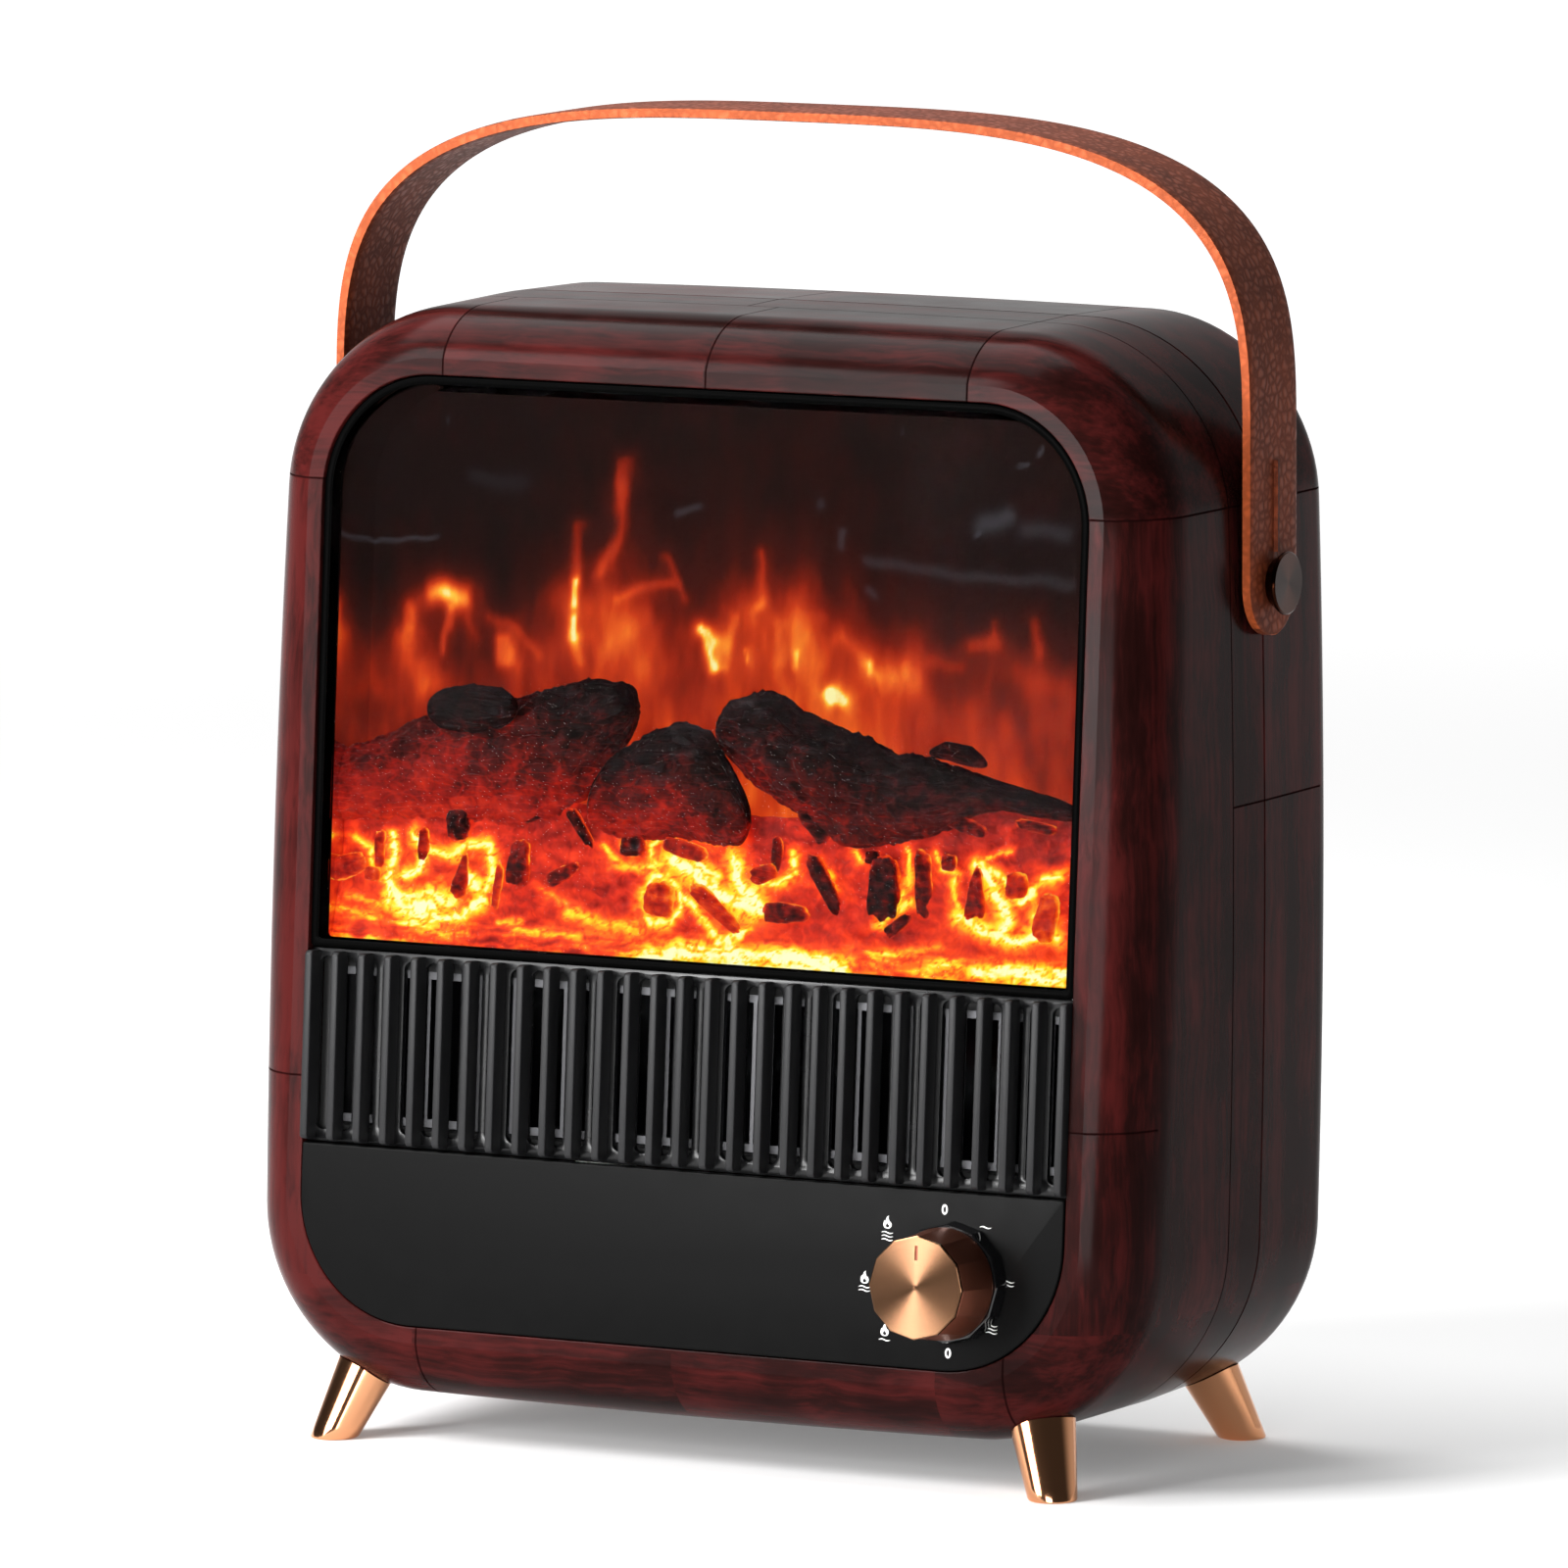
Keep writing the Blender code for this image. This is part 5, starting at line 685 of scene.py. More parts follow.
class HEATER_OT_stage(Operator):
    """Sets the camera, the pale floor and the soft studio lamps"""
    bl_idname = "heater.stage"
    bl_label = "Stage"

    def execute(self, context):
        azimuth, pitch, roll = math.radians(28.23), math.radians(7.19), math.radians(-0.16)
        lens = bpy.data.cameras.new("camera")
        lens.lens = 353.6
        lens.sensor_width = 36.0
        lens.clip_end = 50.0
        camera = placed("camera", lens)
        right = Vector((math.cos(azimuth), math.sin(azimuth), 0.0))
        ahead = Vector((-math.sin(azimuth) * math.cos(pitch), math.cos(azimuth) * math.cos(pitch), -math.sin(pitch)))
        up = right.cross(ahead)
        rolled = right * math.cos(roll) + up * math.sin(roll)
        upright = up * math.cos(roll) - right * math.sin(roll)
        turn = Matrix((rolled, upright, -ahead)).transposed()
        camera.matrix_world = Matrix.Translation((1.8865, -3.504742, 0.6760)) @ turn.to_4x4()
        context.scene.camera = camera
        context.scene.view_settings.view_transform = "Standard"

        bm = bmesh.new()
        bmesh.ops.create_grid(bm, x_segments=24, y_segments=24, size=14.0)
        mesh = bpy.data.meshes.new("floor")
        bm.to_mesh(mesh)
        bm.free()
        floor = placed("floor", mesh)
        material = bpy.data.materials.new("paper_sweep_white")
        tree = bare_tree(material)
        # Part of the paper's white is its own light. It is seen, and mirrored, but lights nothing.
        place = add(tree, "TexCoord")
        # Painted shade: that light fades out close to the heater, darkening the floor round it, and is cut on the
        # side towards the camera.
        away = add(tree, "VectorMath", {0: place.outputs["Object"]}, operation="LENGTH")
        fade = add(tree, "MapRange", {"Value": away.outputs["Value"], 1: 0.35, 2: 3.0, 3: 0.16, 4: 1.0},
                   interpolation_type="SMOOTHSTEP")
        behind = add(tree, "VectorMath", {0: place.outputs["Object"], 1: (-0.47, 0.88, 0.0)}, operation="DOT_PRODUCT")
        front = add(tree, "MapRange", {"Value": behind.outputs["Value"], 1: -1.0, 2: -0.3, 3: 0.05, 4: 1.0},
                    interpolation_type="SMOOTHSTEP")
        fade = add(tree, "Math", {0: fade, 1: front}, operation="MULTIPLY")
        rays = add(tree, "LightPath")
        seen = add(tree, "Math", {0: rays.outputs["Is Camera Ray"], 1: rays.outputs["Is Glossy Ray"]},
                   operation="MAXIMUM")
        seen = add(tree, "Math", {0: seen, 1: rays.outputs["Is Transmission Ray"]}, operation="MAXIMUM")
        power = add(tree, "Math", {0: seen, 1: fade}, operation="MULTIPLY")
        paper = add(tree, "BsdfDiffuse", {"Color": linear("#EDEDED")})
        white = add(tree, "Emission", {"Color": (1.0, 1.0, 1.0, 1.0), "Strength": power})
        both = add(tree, "AddShader", {0: paper, 1: white})
        add(tree, "OutputMaterial", {"Surface": both})
        mesh.materials.append(material)

        world = bpy.data.worlds.new("studio")
        context.scene.world = world
        tree = bare_tree(world)
        place = add(tree, "TexCoord")
        axes = add(tree, "SeparateXYZ", {0: place.outputs["Generated"]})
        rear = add(tree, "MapRange", {"Value": axes.outputs[1], 1: 0.1, 2: 0.80, 3: 0.05, 4: 0.62},
                   interpolation_type="SMOOTHSTEP")
        sky = add(tree, "Background", {"Color": (1.0, 1.0, 1.0, 1.0), "Strength": rear})
        add(tree, "OutputWorld", {"Surface": sky})

        # Name, place, aim, width and height in metres, power in watts, and roll in degrees
        lamps = (
            ("key_soft", (-0.72, -0.90, 1.00), (0.0, 0.0, 0.14), (0.56, 0.56), 20.0, 0.0),
            ("card_left", (-0.79, -1.10, 0.457), (0.0, 0.0, 0.30), (0.40, 0.84), 12.0, 24.0),
            ("card_right", (-0.40, -1.12, 0.36), (0.0, 0.0, 0.27), (0.20, 0.38), 7.4, 0.0),
            ("strip_front", (0.36, -1.10, 0.13), (0.12, 0.0, 0.15), (0.46, 0.24), 6.0, 0.0),
            ("top_soft", (-0.38, 0.10, 1.28), (0.0, 0.0, 0.10), (1.00, 0.90), 17.0, 0.0),
        )
        for name, at, to, size, power, roll in lamps:
            data = bpy.data.lights.new(name, "AREA")
            data.shape = "RECTANGLE"
            data.size, data.size_y = size
            data.energy = power
            lamp = placed(name, data)
            look = (Vector(to) - Vector(at)).to_track_quat("-Z", "Y")
            lamp.matrix_world = (Matrix.Translation(at) @ look.to_matrix().to_4x4()
                                 @ Matrix.Rotation(math.radians(roll), 4, "Z"))
        return {"FINISHED"}


class HEATER_OT_housing(Operator):
    """Builds the two shells of the housing with their print foil"""
    bl_idname = "heater.housing"
    bl_label = "Housing"

    def execute(self, context):
        foil = mahogany_foil(context.scene.heater_colours, context.scene.heater_sizes)
        seam = SEAM - GAP / 2
        ease = 0.0003
        side = fillet_rings(0.0, 16)
        outer = level(body_outline(0.0), seam - ease)
        rings = [level(body_outline(ease), seam), outer]
        rings += between(outer, side[-1], [i / 8 for i in range(1, 8)])
        rings += side[::-1]
        rings += [on_front(opening_outline(inset), depth) for inset, depth in (
            (RIM, 0.0), (0.0003, 0.0), (0.00009, 0.00009), (0.0, 0.0003), (0.0, WALL))]
        rings += fillet_rings(WALL, 6)
        rings.append(level(body_outline(WALL), seam))
        bm = bmesh.new()
        loft(bm, rings, closed=True)
        piece("front_shell_skin", bm, [foil], sharp=9.0, stands_for=("front_shell",))

        seam = SEAM + GAP / 2
        straight = REAR_Y - REAR_R
        draft = 0.0007
        first = level(body_outline(0.0), seam + ease)
        last = level(body_outline(draft), straight)
        rings = [level(body_outline(ease), seam), first]
        rings += between(first, last, [i / 4 for i in range(1, 4)])
        rings.append(last)

        def rounding(inset, radius, first, steps):
            angles = [math.pi / 2 * i / steps for i in range(first, steps + 1)]
            return [level(body_outline(inset + radius * (1.0 - math.cos(angle))), straight + radius * math.sin(angle))
                    for angle in angles]
        rings += rounding(draft, REAR_R, 1, 12)
        inner = rounding(draft + WALL, REAR_R - WALL, 0, 4)
        rings = inner[::-1] + [level(body_outline(WALL), seam)] + rings
        bm = bmesh.new()
        loft(bm, rings)
        shell = piece("rear_shell_skin", bm, [foil], sharp=12.0, stands_for=("rear_shell",))

        back = FRONT_Y + REAR_Y
        holes = []
        for screw in ("lower_left", "lower_right", "upper_left", "upper_right"):
            low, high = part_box("shell_screw_" + screw)
            middle = (low + high) / 2
            holes.append((middle.x, high.y, middle.z))
        low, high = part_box("cord_gland")
        screw_hole, gland_hole = 0.0039, 0.0058
        cutter = bmesh.new()
        window = outline(0.068, 0.070, 0.140, 0.0027, 0.0027, 6, 1)
        loft(cutter, [[(x, back - 0.005, z) for x, z in window], [(x, back + 0.002, z) for x, z in window]])
        for radius, x, z in [(screw_hole, x, z) for x, _, z in holes] + [
                (gland_hole, (low.x + high.x) / 2, (low.z + high.z) / 2)]:
            rod(cutter, radius, 0.010,
                Matrix.Translation((x, back - 0.001, z)) @ Matrix.Rotation(-math.pi / 2, 4, "X"))
        carve(shell, cutter, 12.0)

        # Dark wells behind the four screw holes of the back
        dark = moulded("screw_well_abs", linear("#151010"), (0.45, 0.6))
        bm = bmesh.new()
        for x, head, z in holes:
            floor = head - 0.0026 - GAP
            turned(bm, [(0.0020, floor), (screw_hole, floor), (screw_hole, back - 0.0026),
                        (0.0050, back - 0.0026), (0.0050, floor - 0.0015), (0.0020, floor - 0.0015), (0.0020, floor)],
                   (x, 0.0, z), (0, 1, 0), 40)
        piece("shell_screw_wells", bm, [dark])
        return {"FINISHED"}


def window_outline(inset):
    o = OPENING
    return outline(o["half"] - inset, WINDOW_LOW + inset - GAP, o["high"] - inset, 0.0012, o["high_r"] - inset,
                   22, 2)


class HEATER_OT_window(Operator):
    """Builds the bezel, the pane and the mirror-bright walls of the fire recess"""
    bl_idname = "heater.window"
    bl_label = "Window"

    def execute(self, context):
        gloss = moulded("abs_black_polished", linear("#020202"), (0.24, 0.30), size=0.8, depth=0.004, IOR=1.5,
                       Specular_IOR_Level=0.005)
        bm = bmesh.new()
        recess, lip = 0.0008, 0.0015
        pane, sheet = 0.0030, 0.0015       # thickness of the glass and of the recess's walls
        rear = recess + lip + pane + sheet + 3 * GAP
        rings = [on_front(window_outline(inset), depth) for inset, depth in (
            (GAP, rear), (GAP, recess + 0.0003), (GAP + 0.0001, recess + 0.0001), (GAP + 0.0003, recess),
            (0.0022, recess), (0.0025, recess + 0.0002), (0.0014, recess + lip), (GAP + 0.0008, recess + lip),
            (GAP + 0.0008, rear))]
        loft(bm, rings, closed=True)
        piece("window_bezel_gloss", bm, [gloss], sharp=50.0, stands_for=("window_bezel",))

        coat("window_glass", clear_glass())

        mirror = plated("steel_sheet_mirrored", linear("#E6E2E0"), (0.05, 0.09), size=0.8, depth=0.003, bump=0.1)
        soot = moulded("steel_sheet_matt_black", linear("#070505"), (0.6, 0.7), Specular_IOR_Level=0.02)
        near = recess + lip + pane + 2 * GAP
        inset = 0.0028
        flange = window_outline(0.0022)
        inner = window_outline(inset)
        outer = window_outline(inset - sheet)
        far = 0.0235
        bm = bmesh.new()
        loft(bm, [on_front(flange, near), on_front(inner, near), on_front(inner, far), on_front(outer, far),
                  on_front(outer, near + sheet), on_front(flange, near + sheet)], closed=True)
        bm.normal_update()
        for face in bm.faces:
            face.material_index = int(abs(face.normal.y) > 0.9)
        piece("firebox_liner_mirrored", bm, [mirror, soot], sharp=30.0, stands_for=("firebox_liner",))
        return {"FINISHED"}


# The fire, laid out by where it is seen on the leaning front

SIGHT_U = 0.537                    # sideways shift of what is seen, for each unit of depth
SIGHT_V = 0.204
FIRE_FAR = 0.0204                  # farthest depth of the bed
FIRE_FLOOR = 0.1335


def seen(u, v, depth):
    """The place at a depth behind the front that the eye sees at (u, v) on the front; all in metres."""
    return Vector((u - depth * SIGHT_U, depth, v - depth * SIGHT_V))


def ripple(x, y, z=0.0):
    return noise.noise(Vector((x, y, z)))


# Molten seams of the bed: a bent line where it is seen (mm across and up), half width and heat
HOT = (
    (((-99.3, 161.6), (-94.7, 158.1), (-93.8, 151.7)), 0.6, 0.90),
    (((-88.3, 162.3), (-87.4, 157.2), (-88.6, 150.7), (-89.1, 144.3)), 0.8, 0.95),
    (((-89.3, 150.7), (-84.6, 143.3), (-77.2, 140.5), (-68.5, 141.7)), 1.1, 0.95),
    (((-85.0, 152.2), (-79.9, 153.8), (-77.9, 159.1), (-81.7, 162.7)), 0.9, 0.97),
    (((-77.9, 159.1), (-70.5, 158.2), (-66.2, 161.0), (-58.9, 161.4), (-58.0, 155.1), (-60.6, 147.3)), 0.9, 0.92),
    (((-65.9, 152.1), (-59.9, 147.3), (-65.6, 143.2)), 1.1, 0.95),
    (((-84.7, 145.8), (-76.0, 147.6), (-70.1, 145.4)), 1.3, 0.92),
    (((-81.0, 142.9), (-75.8, 143.2)), 2.0, 0.99),
    (((-100.2, 145.5), (-90.5, 142.9)), 0.6, 0.76),
    (((-103.8, 142.1), (-91.9, 139.6)), 0.6, 0.76),
    (((-25.6, 163.4), (-21.0, 158.6), (-13.8, 157.7), (-6.6, 159.4)), 0.6, 0.85),
    (((-6.7, 168.3), (-10.8, 164.3), (-10.2, 159.2)), 0.6, 0.90),
    (((3.4, 169.1), (8.9, 167.7)), 1.1, 0.86),
    (((-4.5, 160.8), (2.1, 157.4), (10.9, 151.6), (19.6, 149.6)), 1.7, 0.98),
    (((2.0, 159.9), (8.6, 157.2)), 1.1, 0.92),
    (((13.4, 161.9), (14.4, 155.6), (19.5, 152.1), (21.8, 148.5)), 1.3, 0.98),
    (((30.5, 165.4), (31.5, 160.4), (28.0, 156.4), (20.8, 155.7)), 0.6, 0.90),
    (((-13.6, 152.7), (-13.7, 147.6), (-10.4, 144.0), (-5.3, 144.0), (-1.9, 147.7), (-2.0, 152.7), (-5.8, 155.9),
     (-10.8, 155.6), (-13.6, 152.7)), 0.6, 0.93),
    (((-0.5, 150.9), (5.4, 144.9), (11.1, 139.4), (17.7, 143.9)), 0.6, 0.95),
    (((-35.0, 145.0), (-26.3, 143.0), (-14.6, 142.2)), 0.8, 0.82),
    (((-44.0, 150.8), (-32.1, 145.2)), 0.5, 0.74),
    (((-18.2, 167.6), (-19.8, 163.7), (-15.4, 162.5)), 0.5, 0.80),
    (((72.4, 167.2), (74.0, 162.9), (77.5, 161.9)), 0.6, 0.90),
    (((84.5, 164.8), (90.5, 156.4), (93.5, 151.5), (90.8, 146.4)), 1.1, 0.98),
    (((77.6, 160.6), (77.8, 154.4), (80.8, 151.8)), 0.6, 0.87),
    (((87.4, 163.7), (93.1, 161.6), (96.1, 155.7), (98.9, 156.9), (102.9, 162.1), (108.8, 163.7)), 0.7, 0.94),
    (((79.4, 150.7), (88.0, 147.4), (93.7, 145.3), (104.9, 147.9)), 1.1, 0.96),
    (((85.8, 166.8), (94.2, 169.2)), 0.4, 0.82),
    (((101.9, 152.1), (107.7, 147.2)), 1.1, 0.90),
    (((63.9, 167.4), (65.1, 161.2), (61.2, 152.1)), 0.6, 0.86),
    (((56.8, 147.8), (61.6, 151.9), (65.4, 153.6)), 0.8, 0.87),
    (((39.2, 162.8), (44.0, 156.1)), 0.5, 0.80),
    (((49.0, 166.5), (49.9, 164.0)), 0.6, 0.86),
    (((-18.6, 132.0), (2.9, 136.9), (25.8, 137.1), (45.9, 134.8)), 0.9, 0.90),
    (((5.9, 132.3), (31.7, 133.6)), 0.6, 0.92),
    (((85.6, 137.2), (108.8, 136.9)), 0.9, 0.88),
    (((-109.4, 133.4), (-84.3, 133.0)), 0.5, 0.80),
    (((-55.6, 141.0), (-49.2, 141.6)), 0.4, 0.80),
    (((54.3, 139.1), (74.0, 142.8)), 0.5, 0.72),
    (((65.8, 136.0), (79.9, 138.2)), 0.6, 0.75),
    (((-50.8, 138.9), (-31.9, 138.6)), 0.4, 0.74),
    (((-78.5, 137.0), (-65.4, 137.3)), 0.4, 0.74),
)
# Coals: middle across and up, half length, half width (mm), turn in degrees, heat and taper
COALS = (
    (-68.2, 166.6, 3.3, 4.1, 0, 0.04, 0.0),
    (-46.1, 170.5, 5.1, 1.9, 15, 0.06, 0.0),
    (-32.2, 167.5, 5.7, 1.8, -52, 0.03, 0.3),
    (-50.0, 156.9, 6.3, 3.8, 88, 0.14, 0.4),
    (-36.9, 155.1, 5.1, 2.5, 30, 0.20, 0.5),
    (-67.1, 152.7, 5.7, 3.0, 80, 0.28, 0.8),
    (-91.8, 158.2, 5.1, 1.5, 90, 0.42, 0.0),
    (-101.9, 153.1, 5.8, 3.6, 20, 0.34, 0.3),
    (-78.7, 160.3, 4.4, 1.7, 90, 0.32, 0.2),
    (-16.2, 163.9, 3.6, 3.0, 0, 0.10, 0.0),
    (-1.0, 163.6, 6.3, 2.3, -14, 0.30, 0.0),
    (-8.0, 149.8, 4.2, 4.6, 0, 0.44, 0.0),
    (8.9, 148.3, 9.5, 2.5, -38, 0.40, 0.4),
    (29.0, 148.6, 6.3, 3.0, 0, 0.16, 0.3),
    (26.0, 163.9, 4.8, 1.5, 90, 0.14, 0.0),
    (22.2, 158.6, 3.8, 2.3, 20, 0.30, 0.0),
    (40.1, 156.9, 8.4, 2.2, -58, 0.06, 0.0),
    (57.5, 156.9, 8.4, 5.3, 92, 0.03, 0.3),
    (54.0, 164.9, 2.0, 1.9, 0, 0.05, 0.0),
    (68.9, 158.2, 9.1, 2.3, 95, 0.14, 0.0),
    (61.8, 147.5, 4.3, 1.9, 38, 0.08, 0.4),
    (76.0, 164.8, 2.0, 2.0, 0, 0.22, 0.0),
    (84.1, 157.3, 6.9, 3.6, 88, 0.24, 0.8),
    (96.0, 159.9, 3.0, 3.3, 0, 0.33, 0.0),
    (104.7, 152.0, 6.1, 3.6, 80, 0.46, 0.2),
    (80.6, 174.9, 6.3, 2.3, -18, 0.12, 0.2),
    (101.0, 175.6, 5.8, 1.4, -8, 0.14, 0.0),
    (37.4, 172.8, 6.1, 4.6, -60, 0.05, 0.6),
    (-56.3, 150.1, 6.1, 1.1, 84, 0.42, 0.0),
    (-82.7, 179.0, 6.3, 1.8, -66, 0.03, 0.2),
    (-93.8, 151.7, 2.3, 1.8, 0, 0.40, 0.0),
)
# Flames: a bent line where it is seen (mm), half width and heat
FLAMES = (
    (((-78.6, 227.8), (-74.1, 228.5), (-69.2, 227.5)), 2.0, 0.62),
    (((-74.5, 226.7), (-73.6, 225.8)), 1.5, 0.34),
    (((-73.9, 223.8), (-74.7, 212.9)), 0.7, 0.30),
    (((-84.9, 223.3), (-85.3, 218.8)), 1.6, 0.40),
    (((-85.5, 214.9), (-83.4, 209.9), (-81.0, 203.6)), 2.4, 0.30),
    (((-79.7, 208.8), (-77.8, 205.1)), 1.5, 0.18),
    (((-107.6, 229.1), (-107.4, 226.0)), 1.4, 0.34),
    (((-103.2, 215.9), (-102.3, 212.1)), 1.2, 0.42),
    (((-105.0, 216.5), (-106.5, 217.7)), 0.8, 0.20),
    (((-37.4, 233.3), (-37.3, 227.0)), 0.8, 0.62),
    (((-36.9, 222.5), (-36.3, 219.0)), 1.1, 0.66),
    (((-36.0, 218.1), (-34.9, 212.5)), 1.1, 0.30),
    (((-41.0, 228.7), (-37.2, 223.8)), 3.1, 0.20),
    (((-37.0, 234.0), (-36.3, 241.6), (-35.9, 246.7)), 1.1, 0.26),
    (((-22.4, 265.1), (-22.9, 255.0), (-25.1, 246.0), (-28.2, 236.3)), 1.2, 0.30),
    (((-22.6, 258.8), (-23.4, 253.7)), 2.0, 0.10),
    (((-9.4, 241.1), (-4.6, 230.5)), 0.9, 0.24),
    (((-23.6, 229.3), (-16.5, 232.2), (-8.6, 233.5)), 1.0, 0.24),
    (((0.8, 222.7), (2.9, 221.7), (5.0, 219.6)), 1.1, 0.90),
    (((4.8, 219.0), (5.8, 213.3)), 0.7, 0.55),
    (((9.9, 226.8), (7.5, 213.4)), 1.1, 0.22),
    (((18.5, 242.4), (18.1, 229.2)), 1.0, 0.26),
    (((17.4, 229.1), (16.5, 215.2)), 1.6, 0.18),
    (((14.9, 218.3), (15.2, 215.6)), 0.5, 0.30),
    (((29.7, 217.8), (29.8, 214.0)), 0.7, 0.28),
    (((41.1, 208.7), (42.4, 206.5)), 1.1, 0.80),
    (((51.4, 216.0), (51.5, 214.0)), 1.0, 0.34),
    (((54.4, 212.1), (60.6, 215.6)), 2.2, 0.30),
    (((42.6, 222.2), (47.0, 219.3), (49.9, 216.9)), 1.4, 0.24),
    (((81.6, 222.4), (87.9, 223.7)), 1.6, 0.30),
    (((87.2, 228.3), (87.3, 225.8)), 0.5, 0.16),
    (((99.0, 228.3), (99.9, 222.7)), 1.5, 0.28),
    (((68.4, 217.9), (78.3, 215.9)), 1.3, 0.16),
    (((-56.6, 217.1), (-55.7, 211.4)), 1.2, 0.40),
    (((-61.2, 222.8), (-52.3, 219.8), (-47.0, 213.7)), 1.1, 0.20),
    (((-68.5, 222.2), (-66.1, 217.2)), 0.9, 0.14),
    (((-29.3, 226.7), (-21.9, 220.8)), 3.1, 0.14),
    (((-16.3, 224.9), (-26.1, 216.7)), 2.4, 0.12),
    (((28.0, 232.2), (29.8, 220.9)), 2.4, 0.14),
    (((24.0, 225.7), (25.0, 215.6)), 1.3, 0.16),
    (((35.3, 227.5), (37.2, 216.3)), 1.8, 0.14),
    (((62.5, 222.6), (64.3, 212.7)), 2.4, 0.12),
    (((92.4, 216.7), (105.2, 213.6)), 2.7, 0.14),
    (((-95.9, 209.3), (-94.1, 201.7)), 2.4, 0.10),
)
# Painted reflections of the window glass: pale gleams laid over the smoke of the screen
GLASS_REFLECTIONS_PAINTED = (
    (((-99.9, 240.4), (-78.0, 242.8)), 0.6, 0.50),
    (((82.5, 253.7), (89.5, 256.3)), 2.6, 0.60),
    (((81.9, 250.6), (82.1, 251.2)), 0.6, 1.00),
    (((95.2, 253.1), (106.5, 252.4)), 2.2, 0.35),
    (((49.0, 243.1), (77.4, 240.3), (107.7, 240.0)), 1.5, 0.30),
    (((-6.5, 253.0), (-0.8, 254.3)), 1.0, 0.40),
    (((35.1, 256.7), (35.4, 256.0)), 1.2, 0.35),
    (((42.1, 250.5), (41.5, 246.1)), 1.0, 0.40),
    (((91.1, 269.8), (94.6, 270.0)), 0.5, 0.80),
    (((98.0, 272.0), (98.9, 273.5)), 0.6, 0.70),
    (((-84.7, 273.7), (-84.6, 271.7)), 0.3, 0.50),
    (((-76.6, 274.1), (-76.6, 272.1)), 0.3, 0.50),
    (((46.2, 278.4), (46.5, 277.9)), 0.3, 0.40),
    (((57.9, 277.7), (57.9, 276.4)), 0.3, 0.50),
    (((-66.9, 259.2), (-53.7, 257.3)), 2.0, 0.16),
    (((50.7, 234.8), (51.9, 233.9)), 1.1, 0.35),
)


def brushed(us, vs, strokes, join, edge=2.0):
    """Heat of soft strokes at many places: each a bent line with a half width and a heat of its own."""
    total = np.zeros(len(us))
    for points, width, heat in strokes:
        nearest = np.full(len(us), 1e6)
        for (ax, ay), (bx, by) in zip(points, points[1:]):
            dx, dy = bx - ax, by - ay
            t = np.clip(((us - ax) * dx + (vs - ay) * dy) / (dx * dx + dy * dy), 0.0, 1.0)
            nearest = np.minimum(nearest, np.hypot(us - ax - t * dx, vs - ay - t * dy))
        total = join(total, heat * np.exp(-(nearest / width) ** edge))
    return total


def ripples(us, vs, across, up, seed):
    """Smooth noise at many places, from about -1 to 1, with its own size across and up."""
    return np.array([noise.noise(Vector((u / across, v / up, seed))) for u, v in zip(us, vs)])


def bed_glow(us, vs):
    """Glow of the bed where it is seen: red heat, molten seams and a streaked front edge."""
    wu = us + 1.1 * ripples(us, vs, 5.0, 5.0, 3.0) + 0.5 * ripples(us, vs, 1.8, 1.8, 8.0)
    wv = vs + 1.1 * ripples(us, vs, 5.0, 5.0, 11.0) + 0.5 * ripples(us, vs, 1.8, 1.8, 15.0)
    seams = brushed(wu, wv, [(points, width * 2.0, heat + 0.03) for points, width, heat in HOT], np.maximum, 3.0)
    halo = brushed(wu, wv, [(points, width * 3.4, heat - 0.45) for points, width, heat in HOT], np.maximum)
    base = np.interp(vs, (133.0, 143.0, 160.0, 168.0, 178.0), (0.52, 0.47, 0.45, 0.40, 0.32))
    base = base + 0.07 * ripples(us, vs, 14.0, 9.0, 1.0) + 0.13 * ripples(wu, wv, 4.5, 2.6, 2.0)
    low = np.clip((143.0 - vs) / 5.0, 0.0, 1.0)
    warm = np.interp(us, (-110.0, -30.0, 0.0, 110.0), (0.0, 0.06, 0.16, 0.14))
    base = base + low * (0.22 * ripples(wu, wv, 9.0, 1.0, 5.0) + warm)
    glow = np.maximum(base + 0.85 * halo, seams)
    cracks = np.clip(1.0 - np.abs(ripples(wu, wv, 3.4, 2.6, 30.0)) * 9.0, 0.0, 1.0)
    glow = glow - 0.20 * cracks * np.clip((glow - 0.55) / 0.25, 0.0, 1.0)
    return np.clip(glow, 0.0, 1.0)


def bed_depth(u, v):
    """Depth of the bed's face behind the front, at a place across and up."""
    rise = max(0.0, min(1.0, (v - 133.0) / 50.0))
    lump = 0.9 * ripple(u / 6.0, v / 5.0, 21.0) + 0.5 * ripple(u / 2.2, v / 2.2, 25.0)
    return 7.2 + 8.6 * rise ** 0.9 + lump * min(1.0, rise * 5.0 + 0.2)


def write_glow(bm, name, values):
    layer = bm.verts.layers.float.get(name) or bm.verts.layers.float.new(name)
    bm.verts.ensure_lookup_table()
    for vert, value in zip(bm.verts, values):
        vert[layer] = float(value)


